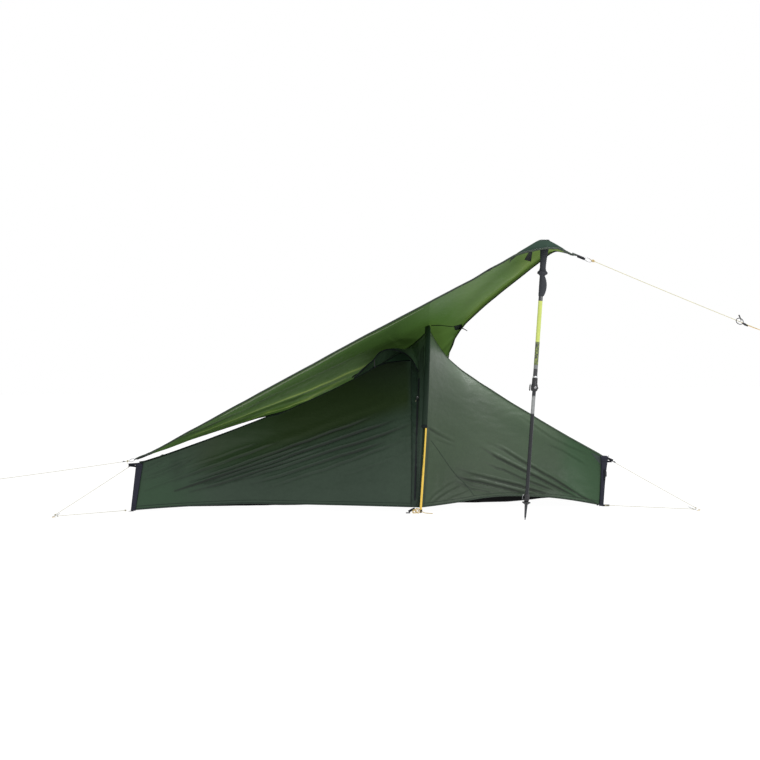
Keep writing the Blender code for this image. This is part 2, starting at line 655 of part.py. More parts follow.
head_edge = np.array(line(arr((0.950, -1.002, 1.2705)), arr((0.954, -0.968, 1.2690)), TN))
TH = 17
spread = np.concatenate([np.linspace(0.0, 0.62, 8), np.linspace(0.62, 1.0, TH - 7)[1:]])
near_head = resample(smooth_curve([near_h] + [arr(p) for p in (
    (0.400, -0.985, 1.138), (0.5555, -1.035, 1.219), (0.689, -1.085, 1.270), (0.754, -1.103, 1.283),
    (0.793, -1.110, 1.289), (0.830, -1.100, 1.289), (0.900, -1.050, 1.284))] + [head_edge[0]], 80), TH, spread)
far_head = resample(smooth_curve([arr(TARP_BACK)] + [arr(p) for p in (
    (0.345, 0.360, 0.640), (0.392, 0.215, 0.760), (0.400, 0.120, 0.820), (0.403, 0.020, 0.856), (0.414, -0.080, 0.890),
    (0.4495, -0.250, 0.962), (0.4855, -0.380, 1.004), (0.5864, -0.530, 1.086), (0.663, -0.650, 1.143),
    (0.788, -0.820, 1.2425), (0.830, -0.860, 1.278), (0.868, -0.885, 1.296), (0.915, -0.920, 1.288))]
    + [head_edge[-1]], 120), TH, spread)
th = stretch(coons(near_head, far_head, station, head_edge), border(TH, TN))
# the walking pole lifts the wing to a peak
for i in range(1, TH):
    for j in range(TN):
        r = math.hypot(th[i, j, 0] - (APEX[0] - ORIGIN[0]), th[i, j, 1] - (APEX[1] - ORIGIN[1]))
        cone = APEX[2] - 0.10 * min(r, 0.030) - 0.57 * max(r - 0.030, 0.0)
        if r < 0.20:
            th[i, j, 2] = max(th[i, j, 2], cone)
panel("tarp_head_panel", inset(th, SEAM, 0.0, 0.0, 0.0), TARP, flip=False)

ax, ay, az = APEX
lathe("tarp_grommet", [(0.0240, 0.0), (0.0260, -0.0010), (0.0260, -0.0030), (0.0240, -0.0040),
                       (0.0190, -0.0040), (0.0170, -0.0030), (0.0170, -0.0010), (0.0190, 0.0)],
      STEEL, P(ax, ay, az + 0.0035), P(ax, ay, az + 1.0), steps=20, ring=True)

# corner rings and the webbing tail that carries the head ring
def oval(centre, u, v, a, b, n=16):
    return [np.array(centre) + np.array(u) * a * math.cos(2 * math.pi * k / n)
            + np.array(v) * b * math.sin(2 * math.pi * k / n) for k in range(n)]


def unit(v):
    v = np.array(v, dtype=float)
    return v / np.linalg.norm(v)


head_dir = unit((0.905, 0.0, -0.425))
ring_mid = arr((1.0095, -0.985, 1.2458))
side = np.array((0.0, 1.0, 0.0))
low = unit(np.cross(head_dir, side))
curve_mesh("tarp_head_ring", oval(ring_mid, head_dir, unit(low * 0.8 + side * 0.6), 0.0185, 0.0085), 0.0011, STEEL, res=1, cyclic=True)
w0 = np.array(head_edge[4]) + head_dir * 0.0030
w1 = ring_mid - head_dir * 0.0185 - head_dir * 0.0030
strip("tarp_head_webbing", line(w0, w1, 4), [side] * 4, 0.012, 0.0022, BLACK)

foot_ring_mid = arr((-1.3060, -0.500, 0.2700))
curve_mesh("tarp_foot_ring", oval(foot_ring_mid, unit((0.97, 0, 0.24)), side, 0.0140, 0.0090), 0.0011, STEEL, res=1, cyclic=True)
back_dir = unit(arr((0.250, 0.900, 0.006)) - arr(TARP_BACK))
back_ring_mid = arr(TARP_BACK) + back_dir * 0.018
curve_mesh("tarp_back_ring", oval(back_ring_mid, back_dir, (1, 0, 0), 0.0140, 0.0090), 0.0011, STEEL, res=1, cyclic=True)

# ----------------------------------------------------------------------------------
# Telescopic walking pole, standing under the wing's peak
# ----------------------------------------------------------------------------------
tip, top = P(*TIP), P(*TOP)
pole_dir = (top - tip).normalized()
POLE_LEN = (top - tip).length


def on_pole(s):
    return tip + pole_dir * s


def pole_lathe(name, profile, spec, steps=14, ring=False):
    return lathe(name, profile, spec, tip, top, steps, ring)


L = POLE_LEN
# grip over the upper shaft, with a domed head and a flange at its foot
pole_lathe("pole_grip", [(0.0, L), (0.0080, L - 0.0010), (0.0150, L - 0.0060), (0.0195, L - 0.0160), (0.0200, L - 0.030),
                         (0.0185, L - 0.060), (0.0155, L - 0.100), (0.0150, L - 0.125), (0.0185, L - 0.138),
                         (0.0245, L - 0.144), (0.0245, L - 0.150), (0.0170, L - 0.154), (0.0128, L - 0.160),
                         (0.0106, L - 0.160), (0.0106, L - 0.045), (0.0, L - 0.045)], FOAM)
pole_lathe("pole_grip_extension", [(0.0118, L - 0.1605), (0.0130, L - 0.170), (0.0155, L - 0.190), (0.0165, L - 0.212),
                                   (0.0150, L - 0.238), (0.0122, L - 0.258), (0.0106, L - 0.258), (0.0106, L - 0.1605)],
           FOAM, ring=True)
S_CLAMP1 = 0.668                # top of the upper clamp, along the pole from its point
pole_lathe("pole_upper_shaft", [(0.0102, L - 0.047), (0.0102, S_CLAMP1 - 0.010), (0.0093, S_CLAMP1 - 0.010),
                                (0.0093, L - 0.047)], LIME, ring=True)
pole_lathe("pole_upper_clamp", [(0.0124, S_CLAMP1 + 0.014), (0.0134, S_CLAMP1 + 0.010), (0.0134, S_CLAMP1 - 0.016), (0.0164, S_CLAMP1 - 0.026),
                                (0.0164, S_CLAMP1 - 0.042), (0.0126, S_CLAMP1 - 0.050), (0.0093, S_CLAMP1 - 0.050),
                                (0.0093, S_CLAMP1 - 0.0103), (0.0105, S_CLAMP1 - 0.0103), (0.0105, S_CLAMP1 + 0.014)],
           PLASTIC, ring=True)
S_MID_TOP, S_CLAMP2 = 0.760, 0.111
pole_lathe("pole_middle_shaft", [(0.0089, S_MID_TOP), (0.0089, S_CLAMP2 - 0.008), (0.0081, S_CLAMP2 - 0.008),
                                 (0.0081, S_MID_TOP)], CARBON, ring=True)
pole_lathe("pole_lower_clamp", [(0.0122, S_CLAMP2 + 0.012), (0.0130, S_CLAMP2 + 0.008), (0.0132, S_CLAMP2 - 0.012),
                                (0.0122, S_CLAMP2 - 0.020), (0.0081, S_CLAMP2 - 0.020), (0.0081, S_CLAMP2 - 0.0083),
                                (0.0092, S_CLAMP2 - 0.0083), (0.0092, S_CLAMP2 + 0.012)], PLASTIC, ring=True)
pole_lathe("pole_lower_shaft", [(0.0, 0.600), (0.0070, 0.600), (0.0077, 0.598), (0.0077, 0.0760), (0.0074, 0.0755),
                                (0.0062, 0.050), (0.0044, 0.013), (0.0030, 0.010), (0.0022, 0.0008), (0.0, 0.0)], CARBON)
pole_lathe("pole_basket", [(0.0096, 0.0900), (0.0200, 0.0860), (0.0205, 0.0820), (0.0130, 0.0780), (0.0096, 0.0745),
                           (0.0080, 0.0745), (0.0080, 0.0900)], PLASTIC, ring=True, steps=18)

# each clamp's lever lies along the pole and swings out about a cross pin
px = Vector((1.0, 0.0, 0.0))
px = (px - pole_dir * px.dot(pole_dir)).normalized()
py = pole_dir.cross(px)
rot_p = Matrix((px, py, pole_dir)).transposed()
lever1_at = on_pole(S_CLAMP1 - 0.033) + px * -0.0206
block("pole_upper_lever", (0.0070, 0.0150, 0.034), lever1_at, PLASTIC, rot=rot_p, bevel=0.0012)
lever2_at = on_pole(S_CLAMP2 - 0.002) + px * -0.0168
block("pole_lower_lever", (0.0060, 0.0130, 0.026), lever2_at, PLASTIC, rot=rot_p, bevel=0.0010)

# ----------------------------------------------------------------------------------
# Guylines, pegs and the parts on them
# ----------------------------------------------------------------------------------
def taut(a, b, n, sag=0.0):
    a, b = np.array(a, dtype=float), np.array(b, dtype=float)
    return [a * (1 - t) + b * t - np.array((0, 0, sag * 4 * t * (1 - t))) for t in np.linspace(0, 1, n)]


FOOT_PEG = arr((-1.660, -0.700, 0.006))
HEAD_PEG = arr((1.600, -0.700, 0.006))
FOOT_PEG_FAR = arr((-1.470, 0.560, 0.006))
HEAD_PEG_FAR = arr((1.330, 0.560, 0.006))
BACK_PEG = arr((0.250, 0.900, 0.006))

HEAD_LINE = [arr(p) for p in ((1.0310, -0.985, 1.2425), (1.3900, -0.985, 1.0900), (1.7250, -0.985, 0.9520), (1.8880, -0.985, 0.8780))]
head_line = taut(arr((1.0310, -0.985, 1.2420)), arr((1.8880, -0.985, 0.8780)), 10, 0.003)
tube("head_guyline", head_line, LINE_R, CORD, res=1)
foot_line = taut(foot_ring_mid + np.array((-0.0170, 0, -0.0030)), arr((-2.0700, -0.500, 0.1710)), 10, 0.002)
tube("foot_guyline", foot_line, LINE_R, CORD, res=1)


def peg(name, at, shaft):
    """A hook-headed wire peg lying on the ground; shaft is the direction it points."""
    d = unit(shaft)
    s = unit(np.cross(d, (0, 0, 1)))
    z = np.array((0.0, 0.0, 0.0))
    pts = [at + s * 0.015, at + s * 0.0140 - d * 0.008, at + s * 0.006 - d * 0.014, at - s * 0.004 - d * 0.012,
           at - s * 0.008, at - s * 0.008 + d * 0.02, at - s * 0.008 + d * (PEG_LEN - 0.015)]
    pts = smooth_curve(pts, 13)
    for p in pts:
        p[2] = 0.0021
    return tube(name, pts, 0.0020, STEEL, res=1)


peg("peg_foot", FOOT_PEG, (0.0, 1.0, 0))
peg("peg_head", HEAD_PEG, (0.0, 1.0, 0))
peg("peg_foot_far", FOOT_PEG_FAR, (-0.2, 1.0, 0))
peg("peg_head_far", HEAD_PEG_FAR, (0.2, 1.0, 0))
peg("peg_back", BACK_PEG, (0.0, 1.0, 0))

off = np.array((0, -0.003, 0.0))
up = np.array((0, 0, 0.002))
tube("foot_top_line", taut(arr((-1.318, -0.470, 0.240)), FOOT_PEG + up, 9, 0.001), LINE_R, CORD, res=1)
tube("foot_bottom_line", taut(arr((-1.345, -0.477, 0.0045)), FOOT_PEG + np.array((0.012, 0, -0.0015)), 9), LINE_R, CORD, res=1)
tube("head_top_line", taut(arr((1.222, -0.470, 0.2350)), HEAD_PEG + up, 9, 0.001), LINE_R, CORD, res=1)
tube("head_bottom_line", taut(arr((1.178, -0.477, 0.0045)), HEAD_PEG + np.array((-0.012, 0, -0.0015)), 9), LINE_R, CORD, res=1)
tube("foot_far_line", taut(arr((-1.300, 0.190, 0.235)), FOOT_PEG_FAR + up, 9, 0.001), LINE_R, CORD, res=1)
tube("head_far_line", taut(arr((1.205, 0.190, 0.232)), HEAD_PEG_FAR + up, 9, 0.001), LINE_R, CORD, res=1)
tube("back_guyline", taut(back_ring_mid + back_dir * 0.0170, BACK_PEG + up, 9, 0.001), LINE_R, CORD, res=1)

# tensioner on the head guyline: a ring the line runs through and a toggle that locks it
hd = unit(np.array(head_line[-1]) - np.array(head_line[0]))
ten_at = np.array(head_line[0]) + hd * np.dot(arr((1.7404, -0.985, 0.9468)) - np.array(head_line[0]), hd)
ten_at = ten_at - np.array((0, 0, 0.003 * 0.35))
up_h = unit(np.cross(np.cross(hd, (0, 0, 1)), hd))
curve_mesh("line_tensioner", oval(ten_at + up_h * 0.0, unit(up_h * 0.94 + hd * 0.34), side, 0.0165, 0.0165), 0.0016, PLASTIC, res=1, cyclic=True)

# hoop base: webbing tail under the pole foot, with its ladder buckle
base = hoop_point(math.radians(1.0))
strap_a = base + np.array((-0.050, -0.012, -0.0125))
strap_b = base + np.array((-0.012, 0.000, -0.0125))
strap_a[2] = strap_b[2] = 0.0022
strip("base_strap_near", line(strap_a, strap_b, 4), [(0, 1, 0)] * 4, 0.014, 0.0018, BLACK)
block("base_buckle_near", (0.022, 0.018, 0.0045), Vector(strap_a) + Vector((-0.0150, 0, 0.0005)), PLASTIC, bevel=0.0008)
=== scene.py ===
"""The looks of a one-person tarp tent: fly with a door and vent hood, inner tent, a wing
tarp held up by a walking pole, guylines and pegs.  Everything is in metres in the frame of
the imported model, +X towards the head end, +Y away from the door."""
import math
import bpy
import bmesh
import numpy as np
from mathutils import Matrix, Vector
from mathutils.bvhtree import BVHTree


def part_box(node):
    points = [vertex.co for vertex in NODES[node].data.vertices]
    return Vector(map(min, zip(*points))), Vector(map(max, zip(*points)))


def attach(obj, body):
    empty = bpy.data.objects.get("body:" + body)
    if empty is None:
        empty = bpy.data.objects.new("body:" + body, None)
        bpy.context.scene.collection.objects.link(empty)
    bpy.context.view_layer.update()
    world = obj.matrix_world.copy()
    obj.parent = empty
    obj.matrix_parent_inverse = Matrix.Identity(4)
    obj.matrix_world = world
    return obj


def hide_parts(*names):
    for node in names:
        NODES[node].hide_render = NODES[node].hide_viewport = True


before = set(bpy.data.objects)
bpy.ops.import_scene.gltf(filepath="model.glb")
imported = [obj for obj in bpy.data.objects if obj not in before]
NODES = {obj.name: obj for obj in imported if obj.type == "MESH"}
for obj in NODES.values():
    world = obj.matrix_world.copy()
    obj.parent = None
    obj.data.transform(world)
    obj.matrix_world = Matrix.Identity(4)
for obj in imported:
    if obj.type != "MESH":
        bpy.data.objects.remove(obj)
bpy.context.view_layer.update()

ORIGIN = (-0.0267, -0.0373)     # ground point of the layout that is the frame's origin
FOCAL = 1143.0                  # focal length in pixels of the 760 x 760 picture
EYE = np.array((0.0 - ORIGIN[0], -6.5 - ORIGIN[1], 0.677))
ROLL = 0.0109


def arr(p):
    return np.array((p[0] - ORIGIN[0], p[1] - ORIGIN[1], p[2]), dtype=float)


def V(p):
    return Vector((float(p[0]), float(p[1]), float(p[2])))


def unit(v):
    v = np.array(v, dtype=float)
    return v / max(np.linalg.norm(v), 1e-12)


# ==================================================================================
# Camera, light, floor
# ==================================================================================
scene = bpy.context.scene
cam_data = bpy.data.cameras.new("view_camera")
cam_data.sensor_width = 36.0
cam_data.lens = FOCAL / 760.0 * 36.0
cam_data.clip_end = 200.0
cam = bpy.data.objects.new("view_camera", cam_data)
scene.collection.objects.link(cam)
cam.matrix_world = (Matrix.Translation(V(EYE)) @ Matrix.Rotation(math.radians(90.0), 4, "X")
                    @ Matrix.Rotation(-ROLL, 4, "Z"))
scene.camera = cam

scene.view_settings.view_transform = "Standard"
scene.view_settings.look = "None"
scene.view_settings.exposure = 0.0

world = bpy.data.worlds.new("studio")
world.use_nodes = True
bg = world.node_tree.nodes["Background"]
bg.inputs["Color"].default_value = (1.0, 1.0, 1.0, 1.0)
bg.inputs["Strength"].default_value = 1.0
scene.world = world


def area_light(name, at, to, size, power, colour=(1, 1, 1)):
    ld = bpy.data.lights.new(name, "AREA")
    ld.shape = "DISK"
    ld.size = size
    ld.energy = power
    ld.color = colour
    ob = bpy.data.objects.new(name, ld)
    ob.matrix_world = Matrix.Translation(V(at)) @ (V(to) - V(at)).to_track_quat("-Z", "Y").to_matrix().to_4x4()
    scene.collection.objects.link(ob)
    return ob


area_light("key_top", (1.6, 1.2, 5.2), (0.1, 0.0, 0.5), 3.2, 230.0)
area_light("fill_front", (2.8, -4.2, 2.6), (0.4, -0.2, 0.5), 2.4, 60.0)

# ==================================================================================
# Materials
# ==================================================================================


class Nodes:
    """Short way to build a node tree."""

    def __init__(self, name):
        self.mat = bpy.data.materials.new(name)
        self.mat.use_nodes = True
        self.t = self.mat.node_tree
        self.t.nodes.clear()
        self.out = self.t.nodes.new("ShaderNodeOutputMaterial")

    def n(self, kind, **inputs):
        node = self.t.nodes.new(kind)
        for key, val in inputs.items():
            if key.startswith("_"):
                setattr(node, key[1:], val)
            else:
                self.set(node, key, val)
        return node

    def set(self, node, key, val):
        sock = node.inputs[int(key[1:])] if key[0] == "i" and key[1:].isdigit() else node.inputs[key.replace("__", " ")]
        if hasattr(val, "is_output") or isinstance(val, bpy.types.NodeSocket):
            self.t.links.new(val, sock)
        else:
            sock.default_value = val
        return sock

    def noise(self, vec, scale, detail=3.0, rough=0.5, distort=0.0):
        nd = self.n("ShaderNodeTexNoise", Vector=vec, Scale=scale, Detail=detail, Roughness=rough)
        nd.inputs["Distortion"].default_value = distort
        return nd.outputs["Fac"]

    def ramp(self, fac, stops):
        nd = self.n("ShaderNodeValToRGB", Fac=fac)
        el = nd.color_ramp.elements
        while len(el) > 1:
            el.remove(el[-1])
        el[0].position, el[0].color = stops[0][0], (*stops[0][1], 1.0)
        for pos, col in stops[1:]:
            e = el.new(pos)
            e.color = (*col, 1.0)
        return nd.outputs["Color"]

    def math(self, op, a, b=0.5, clamp=False):
        nd = self.n("ShaderNodeMath", _operation=op, _use_clamp=clamp, i0=a, i1=b)
        return nd.outputs[0]

    def mix(self, fac, a, b):
        nd = self.n("ShaderNodeMix", _data_type="RGBA")
        self.set(nd, "i0", fac)
        self.t.links.new(a, nd.inputs[6]) if isinstance(a, bpy.types.NodeSocket) else setattr(nd.inputs[6], "default_value", (*a, 1.0))
        self.t.links.new(b, nd.inputs[7]) if isinstance(b, bpy.types.NodeSocket) else setattr(nd.inputs[7], "default_value", (*b, 1.0))
        return nd.outputs[2]

    def remap(self, v, a, b, c, d):
        nd = self.n("ShaderNodeMapRange", Value=v)
        for key, val in (("From Min", a), ("From Max", b), ("To Min", c), ("To Max", d)):
            nd.inputs[key].default_value = val
        return nd.outputs[0]

    def bump(self, height, distance, strength=1.0, normal=None):
        nd = self.n("ShaderNodeBump", Height=height, Strength=strength, Distance=distance)
        if normal is not None:
            self.t.links.new(normal, nd.inputs["Normal"])
        return nd.outputs["Normal"]

    def coords(self, which="Object"):
        return self.n("ShaderNodeTexCoord").outputs[which]

    def scaled(self, vec, s):
        nd = self.n("ShaderNodeMapping", Vector=vec)
        nd.inputs["Scale"].default_value = s
        return nd.outputs[0]


def fabric(name, colour, dark, rough=0.45, through=0.0, through_colour=None, grid=0.005, spec=0.5, sheen=0.15,
           crinkle=0.0012, tint=None, thread=0.00045, lite=None, glow=(0.30, 0.40, 0.085), relief=1.0):
    """Coated nylon: two tones in broad clouds, a fine ripstop grid, a thread weave and small
    crinkles; 'through' is how much light passes."""
    k = Nodes(name)
    obj = k.coords("Object")
    uv = k.n("ShaderNodeUVMap").outputs[0]
    cloud = k.noise(obj, 2.3, 4.0, 0.55)
    fine = k.noise(obj, 55.0, 3.0, 0.6)
    base = k.mix(k.remap(cloud, 0.3, 0.7, 0.0, 1.0), dark, colour)
    # ripstop grid: thicker threads every few millimetres, from the panel's own lengths
    sep = k.n("ShaderNodeSeparateXYZ", Vector=uv)
    gx = k.math("PINGPONG", sep.outputs[0], grid / 2)
    gy = k.math("PINGPONG", sep.outputs[1], grid / 2)
    near = k.math("MINIMUM", gx, gy)
    thick = k.remap(near, 0.0, grid * 0.09, 1.0, 0.0)
    wx = k.math("SINE", k.math("MULTIPLY", sep.outputs[0], 2 * math.pi / thread))
    wy = k.math("SINE", k.math("MULTIPLY", sep.outputs[1], 2 * math.pi / thread))
    weave = k.math("MULTIPLY", wx, wy)
    base = k.mix(k.math("MULTIPLY", thick, 0.10), base, tuple(min(1.0, c * 1.8 + 0.01) for c in colour))
    base = k.mix(k.remap(fine, 0.35, 0.65, 0.0, 0.16), base, tuple(c * 0.6 for c in dark))
    # Painted light and shade from attributes each piece carries: tint mixes towards the tint colour (painted shade on
    # the fly's walls, an even darker share on the hood, a greener tone at the head end of the near head wall, a painted
    # grey sheen on the tarp); lite mixes towards the lite colour (painted light and sheen); lift brightens (painted
    # light where other parts shade the cloth); shade darkens (painted shade in creases and under other parts).
    if tint is not None:
        at = k.n("ShaderNodeAttribute", _attribute_name="tint", _attribute_type="GEOMETRY")
        base = k.mix(at.outputs["Fac"], base, tint)
        if lite is not None:
            al = k.n("ShaderNodeAttribute", _attribute_name="lite", _attribute_type="GEOMETRY")
            base = k.mix(al.outputs["Fac"], base, lite)
        ali = k.n("ShaderNodeAttribute", _attribute_name="lift", _attribute_type="GEOMETRY")
        base = k.mix(ali.outputs["Fac"], base, tuple(c * 2.7 for c in colour))
        painted_shade_attr = k.n("ShaderNodeAttribute", _attribute_name="shade", _attribute_type="GEOMETRY")
        base = k.mix(painted_shade_attr.outputs["Fac"], base, tuple(c * 0.22 for c in dark))
    wrinkle = k.noise(k.scaled(obj, (1.0, 1.0, 1.6)), 21.0, 4.0, 0.55, 0.4)
    height = k.math("ADD", k.math("MULTIPLY", wrinkle, crinkle), k.math("MULTIPLY", thick, 0.00006 * relief))
    height = k.math("ADD", height, k.math("MULTIPLY", weave, 0.000012 * relief))
    nrm = k.bump(height, 1.0, 0.9)
    r = k.remap(fine, 0.3, 0.7, rough - 0.05, rough + 0.06)
    p = k.n("ShaderNodeBsdfPrincipled", Base__Color=base, Roughness=r, Normal=nrm)
    p.inputs["Specular IOR Level"].default_value = spec
    p.inputs["Sheen Weight"].default_value = sheen
    p.inputs["Sheen Roughness"].default_value = 0.45
    p.inputs["Sheen Tint"].default_value = (0.75, 0.85, 0.80, 1.0)
    last = p.outputs[0]
    if through > 0:
        tc = k.mix(k.remap(cloud, 0.3, 0.7, 0.0, 0.35), through_colour, tuple(c * 0.8 for c in through_colour))
        # painted light and shade on the light passing through: glow brightens it in streaks, shade darkens it
        if tint is not None:
            at2 = k.n("ShaderNodeAttribute", _attribute_name="glow", _attribute_type="GEOMETRY")
            tc = k.mix(at2.outputs["Fac"], tc, glow)
            tc = k.mix(painted_shade_attr.outputs["Fac"], tc, tuple(c * 0.22 for c in through_colour))
        tr = k.n("ShaderNodeBsdfTranslucent", Color=tc)
        mx = k.n("ShaderNodeMixShader", i0=through, i1=p.outputs[0], i2=tr.outputs[0])
        last = mx.outputs[0]
    k.t.links.new(last, k.out.inputs["Surface"])
    return k.mat


def webbing(name, colour, rough=0.75, rib=0.0016, gloss=0.3, painted_light_from=None):
    """Woven tape: ribs across, a tight twill along, and pale fuzz flecks; paler above the given height, as painted
    light against the shade higher up.
    """
    k = Nodes(name)
    obj = k.coords("Object")
    uv = k.n("ShaderNodeUVMap").outputs[0]
    sep = k.n("ShaderNodeSeparateXYZ", Vector=uv)
    a = k.math("SINE", k.math("MULTIPLY", sep.outputs[0], 2 * math.pi / rib))
    b = k.math("SINE", k.math("MULTIPLY", sep.outputs[1], 2 * math.pi / (rib * 0.8)))
    tw = k.math("MULTIPLY", a, b)
    fuzz = k.noise(obj, 420.0, 2.0)
    base = k.mix(k.remap(fuzz, 0.35, 0.7, 0.0, 0.5), colour, tuple(c * 1.9 + 0.006 for c in colour))
    base = k.mix(k.remap(tw, -1.0, 1.0, 0.0, 0.3), base, tuple(c * 0.5 for c in colour))
    # painted light: paler higher up, where the tarp shades the sleeve
    if painted_light_from is not None:
        high = k.n("ShaderNodeSeparateXYZ", Vector=obj).outputs[2]
        base = k.mix(k.remap(high, painted_light_from, painted_light_from + 0.20, 0.0, 1.0), base, tuple(c * 2.2 + 0.004 for c in colour))
    h = k.math("ADD", k.math("MULTIPLY", tw, 0.00018), k.math("MULTIPLY", fuzz, 0.0001))
    p = k.n("ShaderNodeBsdfPrincipled", Base__Color=base, Roughness=k.remap(fuzz, 0.3, 0.7, rough - 0.08, rough + 0.08),
            Normal=k.bump(h, 1.0, 0.8))
    p.inputs["Specular IOR Level"].default_value = gloss
    k.t.links.new(p.outputs[0], k.out.inputs["Surface"])
    return k.mat


def cord_mat(name, colour, fleck=None, pitch=0.0030):
    """Braided cord: crossing strands wound round it, with a fleck of a second colour."""
    k = Nodes(name)
    obj = k.coords("Object")
    wv = k.n("ShaderNodeTexWave", Vector=obj, Scale=0.5 / pitch, Distortion=1.5)
    wv.inputs["Detail"].default_value = 2.0
    dots = k.noise(obj, 900.0, 2.0)
    base = k.mix(k.remap(wv.outputs["Fac"], 0.2, 0.8, 0.0, 0.6), colour, tuple(c * 0.62 for c in colour))
    if fleck:
        base = k.mix(k.remap(dots, 0.56, 0.62, 0.0, 0.8), base, fleck)
    p = k.n("ShaderNodeBsdfPrincipled", Base__Color=base, Roughness=k.remap(dots, 0.3, 0.7, 0.65, 0.85),
            Normal=k.bump(k.math("MULTIPLY", wv.outputs["Fac"], 0.0004), 1.0, 0.8))
    k.t.links.new(p.outputs[0], k.out.inputs["Surface"])
    return k.mat


def plastic(name, colour, rough=0.4, grain=0.00005, spec=0.5):
    k = Nodes(name)
    obj = k.coords("Object")
    g = k.noise(obj, 700.0, 3.0)
    c = k.noise(obj, 60.0, 3.0)
    base = k.mix(k.remap(c, 0.3, 0.7, 0.0, 0.5), colour, tuple(x * 1.35 + 0.002 for x in colour))
    p = k.n("ShaderNodeBsdfPrincipled", Base__Color=base, Roughness=k.remap(c, 0.3, 0.7, rough - 0.06, rough + 0.1),
            Normal=k.bump(k.math("MULTIPLY", g, grain * 4), 1.0, 0.8))
    p.inputs["Specular IOR Level"].default_value = spec
    k.t.links.new(p.outputs[0], k.out.inputs["Surface"])
    return k.mat


def metal(name, colour, rough=0.25, brushed=0.3, metallic=1.0):
    k = Nodes(name)
    obj = k.coords("Object")
    s = k.noise(k.scaled(obj, (900.0, 900.0, 25.0)), 1.0, 3.0)
    w = k.noise(obj, 40.0, 3.0)
    base = k.mix(k.remap(w, 0.35, 0.7, 0.0, 0.35), colour, tuple(x * 0.78 for x in colour))
    p = k.n("ShaderNodeBsdfPrincipled", Base__Color=base,
            Roughness=k.remap(s, 0.25, 0.75, max(0.05, rough - 0.08), rough + 0.12 * brushed + 0.05),
            Normal=k.bump(k.math("MULTIPLY", s, 0.00006), 1.0, brushed))
    p.inputs["Metallic"].default_value = metallic
    k.t.links.new(p.outputs[0], k.out.inputs["Surface"])
    return k.mat


# The tint colours of the fly's walls are painted shade, and the near head wall's is also greener; the tarp's tint is a
# painted grey sheen; the hood takes its tint evenly. The lite colours are painted light and sheen; glow is painted
# light passing through the cloth.
M_FLY = fabric("fly_nylon", (0.030, 0.052, 0.033), (0.023, 0.041, 0.026), rough=0.46, tint=(0.0180, 0.0330, 0.0098), spec=0.26, sheen=0.05,
               lite=(0.024, 0.058, 0.027), relief=0.5)
M_FLY_R = fabric("fly_nylon_head", (0.0385, 0.0635, 0.0335), (0.0315, 0.0530, 0.0280), rough=0.42, tint=(0.0262, 0.0655, 0.0270), spec=0.28, sheen=0.07,
                 lite=(0.068, 0.106, 0.062), relief=0.5)
M_HOOD = fabric("hood_cloth", (0.038, 0.070, 0.042), (0.030, 0.056, 0.034), rough=0.46, through=0.30, through_colour=(0.07, 0.16, 0.045), spec=0.25, sheen=0.05,
                tint=(0.0125, 0.0230, 0.0072), glow=(0.05, 0.12, 0.03))
M_SIDE = fabric("zip_side_cloth", (0.031, 0.054, 0.037), (0.023, 0.042, 0.028), rough=0.46, crinkle=0.0014, spec=0.25, sheen=0.05)
# matte cloth of a cap laid over the near side of the peak's outer face: painted shade there, without gloss
M_PEAK = fabric("peak_cap_cloth", (0.034, 0.056, 0.043), (0.027, 0.046, 0.035), rough=0.85, crinkle=0.0002, spec=0.0, sheen=0.0, relief=0.0)
M_PATCH = fabric("dark_patch", (0.006, 0.010, 0.009), (0.004, 0.007, 0.006), rough=0.55, crinkle=0.0006, spec=0.15, sheen=0.0)
# darker than the fly cloth: painted shade along the lower edge of the foot wall; its stitch line above the hem takes
# the same colour
M_HEM = webbing("hem_fold", (0.018, 0.031, 0.022), 0.6, gloss=0.15)
M_SEAM_G = webbing("gusset_fold", (0.022, 0.036, 0.023), 0.55, gloss=0.2)
M_FLY_DARK = fabric("fly_reinforcement", (0.016, 0.026, 0.021), (0.011, 0.019, 0.015), rough=0.5, crinkle=0.0008, spec=0.2, sheen=0.05)
M_PLACKET = fabric("zip_flap", (0.0140, 0.0305, 0.0190), (0.0100, 0.0220, 0.0140), rough=0.44, crinkle=0.0020, spec=0.28, sheen=0.05)
M_TARP = fabric("tarp_nylon", (0.020, 0.044, 0.017), (0.016, 0.037, 0.014), rough=0.46, through=0.42,
                through_colour=(0.063, 0.132, 0.026), tint=(0.044, 0.068, 0.038), spec=0.03, sheen=0.0, crinkle=0.0004, lite=(0.085, 0.120, 0.078), relief=0.12)
M_BIND = webbing("binding_tape", (0.006, 0.010, 0.010), 0.66, gloss=0.12)
M_SEAM = webbing("seam_tape", (0.011, 0.020, 0.014), 0.62, gloss=0.15)
M_SEAM_R = webbing("seam_fold", (0.034, 0.054, 0.034), 0.5, gloss=0.25)
M_SEAM_L = webbing("lit_hem_edge", (0.17, 0.22, 0.13), 0.5, gloss=0.25)
M_WEB = webbing("black_webbing", (0.006, 0.007, 0.010), 0.64, gloss=0.14)
M_NAVY = webbing("strut_sleeve_cloth", (0.014, 0.015, 0.026), 0.62, rib=0.0011, gloss=0.2)
